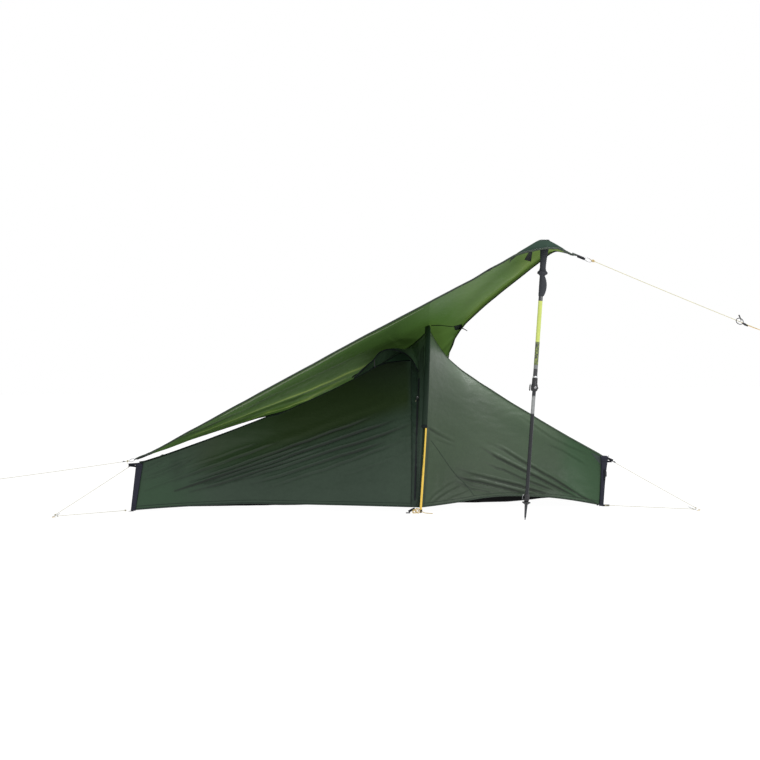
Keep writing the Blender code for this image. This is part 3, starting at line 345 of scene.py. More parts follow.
# hoop sleeve and wall strip are paler above 0.74 m: painted light against the shade under the tarp
M_SLEEVE = webbing("hoop_sleeve_cloth", (0.0090, 0.0200, 0.0120), 0.58, rib=0.0011, gloss=0.16, painted_light_from=0.74)
M_TEETH = webbing("zip_teeth_nylon", (0.0120, 0.0220, 0.0160), 0.5, rib=0.0011, gloss=0.2)
M_TUB = fabric("floor_cloth", (0.0035, 0.0040, 0.0042), (0.0025, 0.0030, 0.0030), rough=0.55, crinkle=0.0012, sheen=0.0, spec=0.08)
M_INNER = fabric("inner_cloth", (0.42, 0.43, 0.40), (0.36, 0.37, 0.35), rough=0.7, through=0.35,
                 through_colour=(0.55, 0.56, 0.52), crinkle=0.002, grid=0.004)
M_GOLD = metal("gold_pole", (0.88, 0.60, 0.115), 0.15)
M_EYELET = metal("eyelet_alloy", (0.13, 0.14, 0.14), 0.35)
M_CORNERP = fabric("corner_patch_cloth", (0.046, 0.064, 0.058), (0.038, 0.053, 0.048), rough=0.5, crinkle=0.0006, spec=0.2, sheen=0.05, relief=0.4)
M_STEEL = metal("bright_steel", (0.34, 0.34, 0.35), 0.22)
M_ALU = metal("peg_alloy", (0.50, 0.51, 0.52), 0.35)
M_DARKTUBE = metal("dark_shaft", (0.055, 0.057, 0.062), 0.30, metallic=0.75)
M_FOAM = plastic("grip_foam", (0.022, 0.025, 0.031), 0.75, 0.0004)
M_BLACK = plastic("black_plastic", (0.010, 0.010, 0.012), 0.38)
M_CORD = cord_mat("pale_cord", (0.50, 0.47, 0.33))
M_CORD_OR = cord_mat("orange_cord", (0.68, 0.44, 0.15), (0.75, 0.20, 0.04))
M_CREAM = cord_mat("cream_cord", (0.66, 0.52, 0.22), (0.60, 0.30, 0.05))
M_HEADCORD = cord_mat("head_line_cord", (0.52, 0.47, 0.17))

# ==================================================================================
# Pieces
# ==================================================================================
PIECES = []


def put(ob, body="tent", replaces=()):
    if ob.name not in scene.collection.objects:
        scene.collection.objects.link(ob)
    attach(ob, body)
    if replaces:
        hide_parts(*replaces)
    PIECES.append(ob)
    return ob


def mesh_piece(name, verts, faces, mat, smooth=True, uv=None, angle=None):
    me = bpy.data.meshes.new(name)
    me.from_pydata([tuple(map(float, v)) for v in verts], [], faces)
    me.validate()
    me.materials.append(mat)
    ob = bpy.data.objects.new(name, me)
    if uv is not None:
        layer = me.uv_layers.new(name="UVMap")
        idx = np.zeros(len(me.loops), dtype=np.int32)
        me.loops.foreach_get("vertex_index", idx)
        layer.data.foreach_set("uv", np.asarray(uv, dtype=np.float32)[idx].ravel())
    if smooth:
        me.shade_smooth()
        if angle:
            me.set_sharp_from_angle(angle=math.radians(angle))
    return ob


def fix_normals(ob):
    bm = bmesh.new()
    bm.from_mesh(ob.data)
    bmesh.ops.recalc_face_normals(bm, faces=bm.faces)
    bm.to_mesh(ob.data)
    bm.free()
    return ob


def grid_uv(G):
    nu, nv = G.shape[:2]
    du = np.concatenate([np.zeros((1, nv)), np.cumsum(np.linalg.norm(np.diff(G, axis=0), axis=2), axis=0)])
    dv = np.concatenate([np.zeros((nu, 1)), np.cumsum(np.linalg.norm(np.diff(G, axis=1), axis=2), axis=1)], axis=1)
    return np.stack([du, dv], axis=2).reshape(-1, 2)


def grid_faces(nu, nv, flip=False, closed=False):
    f = []
    for i in range(nu - 1):
        for j in range(nv if closed else nv - 1):
            j2 = (j + 1) % nv
            q = (i * nv + j, (i + 1) * nv + j, (i + 1) * nv + j2, i * nv + j2)
            f.append(q[::-1] if flip else q)
    return f


def grid_piece(name, G, mat, flip=False, attrs=None):
    nu, nv = G.shape[:2]
    ob = mesh_piece(name, G.reshape(-1, 3), grid_faces(nu, nv, flip), mat, uv=grid_uv(G))
    for key, val in (attrs or {}).items():
        a = ob.data.attributes.new(key, "FLOAT", "POINT")
        a.data.foreach_set("value", np.asarray(val, dtype=np.float32).ravel())
    return ob


def tube_piece(name, pts, radius, mat, sides=10, closed=False, flat=1.0, up=None, taper=None):
    """A tube along points with its ends rounded off; flat squeezes it across 'up'."""
    pts = np.array(pts, dtype=float)
    n = len(pts)
    rad = np.full(n, radius) if np.isscalar(radius) else np.array(radius, dtype=float)
    if not closed:
        t0, t1 = unit(pts[1] - pts[0]), unit(pts[-1] - pts[-2])
        pts = np.vstack([pts[0] - t0 * rad[0] * 0.55, pts[0] - t0 * rad[0] * 0.35, pts, pts[-1] + t1 * rad[-1] * 0.35,
                         pts[-1] + t1 * rad[-1] * 0.55])
        rad = np.concatenate([[rad[0] * 0.35, rad[0] * 0.8], rad, [rad[-1] * 0.8, rad[-1] * 0.35]])
        n = len(pts)
    verts, uv = [], []
    prev = None
    s = 0.0
    for k in range(n):
        a, b = pts[(k - 1) % n if closed else max(k - 1, 0)], pts[(k + 1) % n if closed else min(k + 1, n - 1)]
        t = unit(b - a)
        if up is not None:
            e = np.array(up, dtype=float)
        else:
            e = prev if prev is not None else (np.array((0, 0, 1.0)) if abs(t[2]) < 0.9 else np.array((1.0, 0, 0)))
        e = unit(e - t * np.dot(e, t))
        prev = e
        f = np.cross(t, e)
        if k:
            s += np.linalg.norm(pts[k] - pts[k - 1])
        for m in range(sides):
            w = 2 * math.pi * m / sides
            verts.append(pts[k] + rad[k] * (e * math.cos(w) * flat + f * math.sin(w)))
            uv.append((s, w * rad[k]))
    faces = grid_faces(n, sides, closed=True)
    if closed:
        for m in range(sides):
            m2 = (m + 1) % sides
            faces.append(((n - 1) * sides + m, m, m2, (n - 1) * sides + m2))
    else:
        faces.append(tuple(range(sides)))
        faces.append(tuple((n - 1) * sides + m for m in range(sides))[::-1])
    return fix_normals(mesh_piece(name, verts, faces, mat, uv=uv))


def ribbon(name, pts, sides, width, thick, mat, lift=0.0, normals=None):
    """A soft-edged strap with a flattened section along points."""
    pts = np.array(pts, dtype=float)
    n = len(pts)
    wid = np.full(n, width) if np.isscalar(width) else np.array(width, dtype=float)
    sec = [(-1, -0.35), (-0.93, -1), (0.93, -1), (1, -0.35), (1, 0.35), (0.93, 1), (0, 1.0), (-0.93, 1), (-1, 0.35)]
    verts, uv, s = [], [], 0.0
    for k in range(n):
        t = unit(pts[min(k + 1, n - 1)] - pts[max(k - 1, 0)])
        sd = np.array(sides[k] if not np.isscalar(sides[0]) else sides, dtype=float)
        sd = unit(sd - t * np.dot(sd, t))
        up = np.cross(t, sd)
        if normals is not None and np.dot(up, normals[k]) < 0:
            up = -up
        if k:
            s += np.linalg.norm(pts[k] - pts[k - 1])
        for a, b in sec:
            verts.append(pts[k] + sd * a * wid[k] / 2 + up * (b * thick / 2 + lift))
            uv.append((s, a * wid[k] / 2))
    m = len(sec)
    faces = grid_faces(n, m, closed=True) + [tuple(range(m)), tuple((n - 1) * m + q for q in range(m))[::-1]]
    return fix_normals(mesh_piece(name, verts, faces, mat, uv=uv, angle=50))


def lathe_piece(name, profile, a, b, mat, steps=40, closed=False, angle=40, wobble=None):
    """A turned piece; profile is (radius, distance from a towards b)."""
    a, b = np.array(a, dtype=float), np.array(b, dtype=float)
    z = unit(b - a)
    x = unit(np.cross((0.0, 1.0, 0.0), z)) if abs(z[1]) < 0.9 else unit(np.cross((1.0, 0, 0), z))
    y = np.cross(z, x)
    verts, uv = [], []
    for r, s in profile:
        for m in range(steps):
            w = 2 * math.pi * m / steps
            rr = r if wobble is None else wobble(r, s, w)
            verts.append(a + z * s + x * rr * math.cos(w) + y * rr * math.sin(w))
            uv.append((w * r, s))
    n = len(profile)
    faces = grid_faces(n, steps, closed=True)
    if closed:
        for m in range(steps):
            m2 = (m + 1) % steps
            faces.append(((n - 1) * steps + m, m, m2, (n - 1) * steps + m2))
    else:
        if profile[0][0] > 1e-6:
            faces.append(tuple(range(steps)))
        if profile[-1][0] > 1e-6:
            faces.append(tuple((n - 1) * steps + m for m in range(steps)))
    ob = mesh_piece(name, verts, faces, mat, uv=uv, smooth=False)
    bm = bmesh.new()
    bm.from_mesh(ob.data)
    bmesh.ops.remove_doubles(bm, verts=bm.verts, dist=1e-6)
    bmesh.ops.recalc_face_normals(bm, faces=bm.faces)
    bm.to_mesh(ob.data)
    bm.free()
    ob.data.shade_smooth()
    ob.data.set_sharp_from_angle(angle=math.radians(angle))
    return ob


def box_piece(name, size, at, mat, rot=None, bevel=0.001, seg=3):
    bm = bmesh.new()
    bmesh.ops.create_cube(bm, size=1.0)
    bmesh.ops.scale(bm, vec=size, verts=bm.verts)
    bmesh.ops.bevel(bm, geom=bm.edges[:], offset=bevel, segments=seg, affect="EDGES", profile=0.6)
    m = Matrix.Translation(V(at))
    if rot is not None:
        m = m @ rot.to_4x4()
    bmesh.ops.transform(bm, matrix=m, verts=bm.verts)
    me = bpy.data.meshes.new(name)
    bm.to_mesh(me)
    bm.free()
    me.materials.append(mat)
    me.shade_smooth()
    me.set_sharp_from_angle(angle=math.radians(50))
    return bpy.data.objects.new(name, me)


def merged(name, obs, mat=None):
    """Several built meshes as one piece."""
    bm = bmesh.new()
    mats = []
    for ob in obs:
        for m in ob.data.materials:
            if m not in mats:
                mats.append(m)
    me = bpy.data.meshes.new(name)
    for m in mats:
        me.materials.append(m)
    uvs = bm.loops.layers.uv.new("UVMap")
    for ob in obs:
        start = len(bm.faces)
        tmp = bmesh.new()
        tmp.from_mesh(ob.data)
        lay = tmp.loops.layers.uv.get("UVMap")
        vm = {v: bm.verts.new(v.co) for v in tmp.verts}
        for f in tmp.faces:
            try:
                nf = bm.faces.new([vm[v] for v in f.verts])
            except ValueError:
                continue
            nf.smooth = f.smooth
            nf.material_index = mats.index(ob.data.materials[f.material_index])
            if lay:
                for l0, l1 in zip(f.loops, nf.loops):
                    l1[uvs].uv = l0[lay].uv
        tmp.free()
        bpy.data.objects.remove(ob, do_unlink=True)
    bm.to_mesh(me)
    bm.free()
    return bpy.data.objects.new(name, me)


# ==================================================================================
# Surfaces: the same boundary lines as the construction, on finer grids
# ==================================================================================
def smooth_curve(points, n):
    p = np.array(points, dtype=float)
    q = np.vstack([2 * p[0] - p[1], p, 2 * p[-1] - p[-2]])
    out = []
    for k in range(len(p) - 1):
        a, b, c, d = q[k], q[k + 1], q[k + 2], q[k + 3]
        for t in np.linspace(0.0, 1.0, 24, endpoint=False):
            out.append(0.5 * ((2 * b) + (c - a) * t + (2 * a - 5 * b + 4 * c - d) * t * t
                              + (3 * b - a - 3 * c + d) * t ** 3))
    out.append(p[-1])
    return resample(np.array(out), n)


def resample(line_, n, spacing=None):
    line_ = np.array(line_, dtype=float)
    seg = np.linalg.norm(np.diff(line_, axis=0), axis=1)
    s = np.concatenate([[0.0], np.cumsum(seg)])
    want = (np.linspace(0.0, 1.0, n) if spacing is None else np.array(spacing)) * s[-1]
    return np.column_stack([np.interp(want, s, line_[:, k]) for k in range(line_.shape[1])])


def line(a, b, n):
    return [np.array(a) * (1 - t) + np.array(b) * t for t in np.linspace(0, 1, n)]


def coons(bottom, top, left, right):
    nu, nv = len(bottom), len(left)
    u = np.linspace(0, 1, nu)[:, None, None]
    v = np.linspace(0, 1, nv)[None, :, None]
    b, t = np.array(bottom)[:, None, :], np.array(top)[:, None, :]
    l, r = np.array(left)[None, :, :], np.array(right)[None, :, :]
    c00, c10, c01, c11 = b[0, 0], b[-1, 0], t[0, 0], t[-1, 0]
    return ((1 - v) * b + v * t + (1 - u) * l + u * r
            - ((1 - u) * (1 - v) * c00 + u * (1 - v) * c10 + (1 - u) * v * c01 + u * v * c11))


def stretch(grid, rounds=500):
    g = grid.copy()
    for _ in range(rounds):
        mid = 0.25 * (g[2:, 1:-1] + g[:-2, 1:-1] + g[1:-1, 2:] + g[1:-1, :-2])
        g[1:-1, 1:-1] = mid
    return g


def cubic(x, n):
    """Catmull-Rom along the first axis of an array, to n rows evenly in index."""
    m = x.shape[0]
    pad = np.concatenate([2 * x[:1] - x[1:2], x, 2 * x[-1:] - x[-2:-1]])
    t = np.linspace(0, m - 1, n)
    i = np.minimum(t.astype(int), m - 2)
    f = (t - i).reshape((-1,) + (1,) * (x.ndim - 1))
    a, b, c, d = pad[i], pad[i + 1], pad[i + 2], pad[i + 3]
    return 0.5 * (2 * b + (c - a) * f + (2 * a - 5 * b + 4 * c - d) * f * f + (3 * b - a - 3 * c + d) * f ** 3)


def refine(g, nu, nv):
    g = cubic(g, nu)
    return cubic(g.transpose(1, 0, 2), nv).transpose(1, 0, 2)


def normals_of(G, toward=None):
    du = np.gradient(G, axis=0)
    dv = np.gradient(G, axis=1)
    n = np.cross(du, dv)
    n = n / np.maximum(np.linalg.norm(n, axis=2, keepdims=True), 1e-12)
    if toward is not None and (n.mean(axis=(0, 1)) * np.array(toward)).sum() < 0:
        n = -n
    return n


def pix(P):
    """Where a point of the frame is in the 760 x 760 picture."""
    q = np.asarray(P, dtype=float) - EYE
    dx, dy = q[..., 0] * FOCAL / q[..., 1], -q[..., 2] * FOCAL / q[..., 1]
    return np.stack([380.0 + dx + ROLL * dy, 380.0 + dy - ROLL * dx], axis=-1)


def ray(px, py):
    dx, dy = px - 380.0, py - 380.0
    return unit((dx - ROLL * dy, FOCAL, -(dy + ROLL * dx)))


def tree_of(G):
    nu, nv = G.shape[:2]
    return BVHTree.FromPolygons([V(p) for p in G.reshape(-1, 3)], grid_faces(nu, nv), epsilon=0.0)


def on(tree, px, py, near=None):
    """The point of a surface seen at a pixel, and its normal towards the eye."""
    d = ray(px, py)
    hit = tree.ray_cast(V(EYE), V(d))
    if hit[0] is None:
        guess = EYE + d * (near if near is not None else 6.1)
        for _ in range(6):
            p, nrm, _, _ = tree.find_nearest(V(guess))
            guess = EYE + d * float(np.dot(np.array(p) - EYE, d))
        loc, nrm = np.array(guess), np.array(nrm)
    else:
        loc, nrm = np.array(hit[0]), np.array(hit[1])
    if np.dot(nrm, d) > 0:
        nrm = -nrm
    return loc, nrm


def seg_dist(P, pts):
    """Distance of pixels P (..., 2) from a polyline, and how far along it they are (0 to 1)."""
    pts = np.array(pts, dtype=float)
    best = np.full(P.shape[:-1], 1e9)
    along = np.zeros(P.shape[:-1])
    side = np.zeros(P.shape[:-1])
    ln = np.linalg.norm(np.diff(pts, axis=0), axis=1)
    tot, acc = ln.sum(), 0.0
    for k in range(len(pts) - 1):
        a, b = pts[k], pts[k + 1]
        ab = b - a
        t = np.clip(((P - a) @ ab) / (ab @ ab), 0, 1)
        q = P - (a + t[..., None] * ab)
        d = np.linalg.norm(q, axis=-1)
        s = np.sign(ab[0] * q[..., 1] - ab[1] * q[..., 0])
        m = d < best
        best = np.where(m, d, best)
        along = np.where(m, (acc + t * ln[k]) / tot, along)
        side = np.where(m, s, side)
        acc += ln[k]
    return best, along, side


def fade(t, a, b):
    """0 at a, 1 at b, smooth."""
    x = np.clip((t - a) / (b - a), 0, 1)
    return x * x * (3 - 2 * x)


def fold(P, pts, width, height, start=0.25, end=0.25, skew=0.0):
    """Height of one fold in metres at pixels P: a soft ridge (or crease, if negative)."""
    d, t, s = seg_dist(P, pts)
    w = width * (1 + skew * s)
    e = np.ones_like(t)
    if start > 0:
        e = e * fade(t, 0.0, start)
    if end > 0:
        e = e * fade(t, 1.0, 1.0 - end)
    # beyond the line's ends the distance itself fades it
    return height * np.exp(-(d / w) ** 2) * e


def to_pixels(G_, row, line_px, x0, x1, reach_):
    """Moves one edge of a grid, parallel to the picture, on to a line of the picture; the cloth beside it follows."""
    e_ = G_[:, row]
    pe = pix(e_)
    tgt = resample(np.column_stack([np.array(line_px, dtype=float), np.zeros(len(line_px))]), 700)[:, :2]
    move_ = np.zeros((len(e_), 3))
    for i in range(len(e_)):
        if pe[i, 0] < x0 - 12 or pe[i, 0] > x1 + 12:
            continue
        q = int(np.argmin(np.hypot(tgt[:, 0] - pe[i, 0], tgt[:, 1] - pe[i, 1])))
        w_ = float(fade(pe[i, 0], x0 - 12, x0) * fade(pe[i, 0], x1 + 12, x1))
        sc_ = (e_[i, 1] - EYE[1]) / FOCAL
        move_[i] = (sc_ * (tgt[q, 0] - pe[i, 0]) * w_, 0, -sc_ * (tgt[q, 1] - pe[i, 1]) * w_)
    for _ in range(3):
        move_[1:-1] = 0.25 * move_[:-2] + 0.5 * move_[1:-1] + 0.25 * move_[2:]
    vv_ = np.linspace(0, 1, G_.shape[1])
    w_v = fade(vv_, 1.0 - reach_, 1.0) if row == -1 else fade(vv_, reach_, 0.0)
    print("EDGE MOVE", row, round(float(np.abs(move_).max()), 4))
    return G_ + move_[:, None, :] * w_v[None, :, None]


def above_line(G_, line_px, x0, x1):
    """Lifts whatever the picture would show below a line on to it."""
    P_ = pix(G_)
    over_ = P_[..., 1] - np.interp(P_[..., 0], [q[0] for q in line_px], [q[1] for q in line_px])
    w_ = fade(P_[..., 0], x0 - 8, x0) * fade(P_[..., 0], x1 + 8, x1)
    out_ = G_.copy()
    out_[..., 2] += np.clip(over_, 0, None) * w_ * (G_[..., 1] - EYE[1]) / FOCAL
    return out_


def dark_lines(P_, lines_, width, gain):
    """Shade along crease lines given as (x, y, depth) of the picture."""
    out_ = np.zeros(P_.shape[:2])
    for ln_ in lines_:
        d_, _, _ = seg_dist(P_, [(q[0], q[1]) for q in ln_])
        xs_ = [q[0] for q in ln_]
        amp_ = np.interp(P_[..., 0], xs_, [q[2] for q in ln_]) * fade(P_[..., 0], xs_[0] - 14, xs_[0]) * fade(P_[..., 0], xs_[-1] + 14, xs_[-1])
        out_ = np.maximum(out_, amp_ * gain * np.exp(-(d_ / width) ** 2))
    return out_


HOOP_W, HOOP_H, HOOP_Y = 0.600, 0.970, -0.100
FOOT_NEAR_LOW, FOOT_NEAR_TOP = (-1.321, -0.470, 0.004), (-1.2735, -0.470, 0.258)
FOOT_FAR_LOW, FOOT_FAR_TOP = (-1.312, 0.150, 0.004), (-1.2665, 0.150, 0.255)
HEAD_NEAR_LOW, HEAD_NEAR_TOP = (1.156, -0.470, 0.004), (1.180, -0.470, 0.2526)
HEAD_FAR_LOW, HEAD_FAR_TOP = (1.150, 0.150, 0.004), (1.172, 0.150, 0.250)
TARP_BACK = (0.248, 0.520, 0.400)
APEX = (0.797, -1.000, 1.339)
TIP, TOP = (0.686, -1.035, 0.0), (0.799, -1.000, 1.328)
E0, EDGE = 1.6, -0.019


def hoop_x(y, z):
    return 0.198 + 0.0836 * z - 0.0173 * z * z + 0.025 * (y + 0.7)


def hoop_point(theta, grow=0.0, dx=0.0):
    y = HOOP_Y - (HOOP_W + grow) * math.cos(theta)
    z = (HOOP_H + grow) * math.sin(theta)
    return np.array((hoop_x(y, z) + dx - ORIGIN[0], y - ORIGIN[1], z))


def hoop_arc(t0, t1, n, grow=0.0, dx=0.0):
    return [hoop_point(math.radians(t), grow, dx) for t in np.linspace(t0, t1, n)]


NU, NV = 15, 8


def hem(a, b, lifts, pull):
    n = 40
    t = np.linspace(0, 1, n)
    zz = smooth_curve([(x, 0.0, z) for x, z in lifts], 60)
    out = []
    for k in range(n):
        p = np.array(a) * (1 - t[k]) + np.array(b) * t[k]
        p[2] = np.interp(t[k], zz[:, 0], zz[:, 2])
        p[1] += pull * 4 * t[k] * (1 - t[k])
        out.append(p)
    return resample(out, NU)


near_base_f, near_base_h = hoop_point(math.radians(E0), EDGE, -0.004), hoop_point(math.radians(E0), EDGE, 0.004)
far_base_f, far_base_h = hoop_point(math.radians(180 - E0), EDGE, -0.004), hoop_point(math.radians(180 - E0), EDGE, 0.004)
top_f, top_h = hoop_point(math.radians(90), EDGE, -0.004), hoop_point(math.radians(90), EDGE, 0.004)
ridge_foot = smooth_curve([arr(p) for p in (
    FOOT_NEAR_TOP, (-1.042, -0.437, 0.325), (-0.757, -0.362, 0.416), (-0.531, -0.295, 0.506),
    (-0.320, -0.248, 0.598), (-0.165, -0.212, 0.672), (0.023, -0.178, 0.772),
    (0.172, -0.140, 0.862), (0.236, -0.115, 0.915))] + [top_f], NU)
ridge_head = smooth_curve([arr(p) for p in (
    HEAD_NEAR_TOP, (1.023, -0.380, 0.3620), (0.731, -0.262, 0.532), (0.529, -0.190, 0.668),
    (0.400, -0.142, 0.775), (0.335, -0.115, 0.855))] + [top_h], NU)
hem_foot = hem(arr(FOOT_NEAR_LOW), near_base_f, [(0, 0.004), (0.142, 0.019), (0.38, 0.037), (0.50, 0.037), (0.77, 0.0320), (1.0, 0.0270)], 0.035)
hem_head = hem(arr(HEAD_NEAR_LOW), near_base_h,
               [(0, 0.004), (0.15, 0.032), (0.288, 0.0515), (0.44, 0.0635), (0.583, 0.0660), (0.70, 0.0570), (0.80, 0.0440), (0.92, 0.0330), (1.0, 0.0275)], 0.030)
hem_foot_far = hem(arr(FOOT_FAR_LOW), far_base_f, [(0, 0.004), (0.3, 0.030), (0.6, 0.036), (1.0, 0.0270)], -0.035)
hem_head_far = hem(arr(HEAD_FAR_LOW), far_base_h, [(0, 0.004), (0.35, 0.034), (0.65, 0.038), (1.0, 0.0275)], -0.030)


def near_wall(hem_line, ridge, low, top, dx):
    return stretch(coons(hem_line, ridge, line(low, top, NV), hoop_arc(E0, 90.0, NV, EDGE, dx)))


def back_wall(ridge, hem_line, near_top, far_top, far_low, dx):
    n = 11
    end = resample([near_top, far_top, far_low], n)
    return stretch(coons(ridge, hem_line, end, hoop_arc(90.0, 180.0 - E0, n, EDGE, dx)))


g_front_foot = near_wall(hem_foot, ridge_foot, arr(FOOT_NEAR_LOW), arr(FOOT_NEAR_TOP), -0.004)
g_back_foot = back_wall(ridge_foot, hem_foot_far, arr(FOOT_NEAR_TOP), arr(FOOT_FAR_TOP), arr(FOOT_FAR_LOW), -0.004)
g_front_head = near_wall(hem_head, ridge_head, arr(HEAD_NEAR_LOW), arr(HEAD_NEAR_TOP), 0.004)
g_back_head = back_wall(ridge_head, hem_head_far, arr(HEAD_NEAR_TOP), arr(HEAD_FAR_TOP), arr(HEAD_FAR_LOW), 0.004)

# ==================================================================================
# Guylines, placed first
# ==================================================================================
CLOTH, POLE_R, SLEEVE_FROM, STRUT_R, PEG_LEN, LINE_R = 0.0012, 0.0058, 0.430, 0.0035, 0.150, 0.0011


def taut(a, b, n, sag=0.0):
    a, b = np.array(a, dtype=float), np.array(b, dtype=float)
    return [a * (1 - t) + b * t - np.array((0, 0, sag * 4 * t * (1 - t))) for t in np.linspace(0, 1, n)]


def length_of(pts):
    return float(np.linalg.norm(np.diff(np.array(pts), axis=0), axis=1).sum())


def cord_piece(name, pts, node, mat, radius=LINE_R):
    cu = bpy.data.curves.new(name, "CURVE")
    cu.dimensions = "3D"
    cu.bevel_depth = radius
    cu.bevel_resolution = 3
    cu.use_fill_caps = True
    sp = cu.splines.new("POLY")
    sp.points.add(len(pts) - 1)
    for q, p in enumerate(pts):
        sp.points[q].co = (*map(float, p), 1.0)
    cu.materials.append(mat)
    ob = bpy.data.objects.new(name, cu)
    put(ob, "tent", (node,) if node else ())
    return ob


head_dir = unit((0.905, 0.0, -0.425))
side_y = np.array((0.0, 1.0, 0.0))
ring_mid = arr((1.0095, -0.985, 1.2458))
foot_ring_mid = arr((-1.3060, -0.500, 0.2700))
back_dir = unit(arr((0.250, 0.900, 0.006)) - arr(TARP_BACK))
back_ring_mid = arr(TARP_BACK) + back_dir * 0.018
FOOT_PEG, HEAD_PEG = arr((-1.660, -0.700, 0.006)), arr((1.600, -0.700, 0.006))
FOOT_PEG_FAR, HEAD_PEG_FAR = arr((-1.470, 0.560, 0.006)), arr((1.330, 0.560, 0.006))
BACK_PEG = arr((0.250, 0.900, 0.006))
UPK = np.array((0, 0, 0.002))

head_line = taut(arr((1.0310, -0.985, 1.2420)), arr((1.8880, -0.985, 0.8780)), 24, 0.003)
foot_line = taut(foot_ring_mid + np.array((-0.0170, 0, -0.0030)), arr((-2.0700, -0.500, 0.1710)), 24, 0.002)
LINES = {
    "foot_top_line": taut(arr((-1.318, -0.470, 0.240)), FOOT_PEG + UPK, 16, 0.001),
    "foot_bottom_line": taut(arr((-1.345, -0.477, 0.0045)), FOOT_PEG + np.array((0.012, 0, -0.0015)), 16),
    "head_top_line": taut(arr((1.222, -0.470, 0.2350)), HEAD_PEG + UPK, 16, 0.001),
    "head_bottom_line": taut(arr((1.178, -0.477, 0.0045)), HEAD_PEG + np.array((-0.012, 0, -0.0015)), 16),
    "foot_far_line": taut(arr((-1.300, 0.190, 0.235)), FOOT_PEG_FAR + UPK, 16, 0.001),
    "head_far_line": taut(arr((1.205, 0.190, 0.232)), HEAD_PEG_FAR + UPK, 16, 0.001),
    "back_guyline": taut(back_ring_mid + back_dir * 0.0170, BACK_PEG + UPK, 16, 0.001),
}


def knot(name, at, along, size, mat, turns=2.5, tail=0.0, tail_dir=None, body="tent"):
    """A small overhand knot: cord wound round the line, with a free tail."""
    d = unit(along)
    e = unit(np.cross(d, (0.3, 0.9, 0.2)))
    f = np.cross(d, e)
    n = int(26 * turns)
    pts = []
    for q in range(n + 1):
        t = q / n
        w = 2 * math.pi * turns * t
        r = size * (0.55 + 0.35 * math.sin(math.pi * t))
        pts.append(np.array(at) + d * size * (1.5 * (t - 0.5) + 0.35 * math.sin(2 * w)) + r * (e * math.cos(w) + f * math.sin(w)))
    if tail > 0:
        td = unit(tail_dir if tail_dir is not None else f)
        last = pts[-1]
        pts += [last + td * tail * q / 8 + np.array((0, 0, -tail * 0.35 * (q / 8) ** 2)) for q in range(1, 9)]
    return put(tube_piece(name, pts, LINE_R * 1.02, mat, 8), body)


def line_lok(name, at, along, mat, size=0.016):
    """A small plastic line tightener: a curved plate with a bar, the line wound through it."""
    d = unit(along)
    s = unit(np.cross(d, (0, 0, 1)))
    u = np.cross(s, d)
    plate = ribbon(name + "_a", [np.array(at) + d * size * q * 0.5 + u * 0.0022 * (1 - q * q) for q in np.linspace(-1, 1, 9)],
                   s, 0.009, 0.0022, mat)
    bar = tube_piece(name + "_b", [np.array(at) + s * 0.0062 * q + u * 0.0045 for q in np.linspace(-1, 1, 7)], 0.0016, mat, 10)
    rim = [np.array(at) + d * size * 0.62 * math.cos(w) + s * 0.0058 * math.sin(w) + u * 0.0010 for w in np.linspace(0, 2 * math.pi, 28, endpoint=False)]
    loop = tube_piece(name + "_c", rim, 0.0013, mat, 8, closed=True)
    return put(merged(name, [plate, bar, loop]), "tent")


hl_dir = unit(head_line[-1] - head_line[0])
fl_dir = unit(foot_line[-1] - foot_line[0])
k1 = knot("head_line_knot", head_line[0] + hl_dir * 0.004, hl_dir, 0.0062, M_CREAM, 3.0, 0.007, (0.6, 0, -1))
# loop of the head line round the ring, just before its knot
k2 = put(tube_piece("head_line_loop", [head_line[0] + hl_dir * 0.004 - head_dir * 0.008 * (1 - math.cos(w)) + side_y * 0.0035 * math.sin(w)
                                       for w in np.linspace(0, 2 * math.pi, 24, endpoint=False)], LINE_R, M_CREAM, 8, closed=True), "tent")
end_h = head_line[-1]
loop_h = [end_h + hl_dir * 0.010 * (1 - math.cos(w)) * 0.9 + unit(np.cross(hl_dir, side_y)) * 0.0065 * math.sin(w)
          for w in np.linspace(0, 2 * math.pi, 28, endpoint=False)]
k3 = put(tube_piece("head_line_end_loop", [p - hl_dir * 0.014 for p in loop_h], LINE_R, M_CORD_OR, 8, closed=True), "tent")
# the return strand from the tensioner to the end of the line
TEN_S = 0.776
hd_n = unit(np.cross(np.cross(hl_dir, (0, 0, 1)), hl_dir))
t0 = head_line[0] + (head_line[-1] - head_line[0]) * 0.836
k4 = put(tube_piece("head_line_return", [t0 * (1 - t) + head_line[-1] * t - hd_n * 0.0026 * math.sin(math.pi * min(1, t * 1.4 + 0.1)) - np.array((0, 0, 0.003 * 0.5))
                                         for t in np.linspace(0, 0.97, 14)], LINE_R * 1.05, M_CORD_OR, 8), "tent")
cord_piece("head_line_cord", head_line, "head_guyline", M_HEADCORD)
k5 = knot("foot_line_knot", foot_line[0] + fl_dir * 0.006, fl_dir, 0.0050, M_CORD, 2.5, 0.014, (0.1, 0.2, -1))
k6 = line_lok("foot_line_tightener", arr((-1.3490, -0.500, 0.2618)) + np.array((0, 0, 0.0)), fl_dir, M_BLACK)
end_f = foot_line[-1]
k7 = put(tube_piece("foot_line_end_loop", [end_f - fl_dir * 0.014 + fl_dir * 0.009 * (1 - math.cos(w)) + unit(np.cross(fl_dir, side_y)) * 0.006 * math.sin(w)
                                           for w in np.linspace(0, 2 * math.pi, 28, endpoint=False)], LINE_R, M_CORD, 8, closed=True), "tent")
cord_piece("foot_line_cord", foot_line, "foot_guyline", M_CORD)
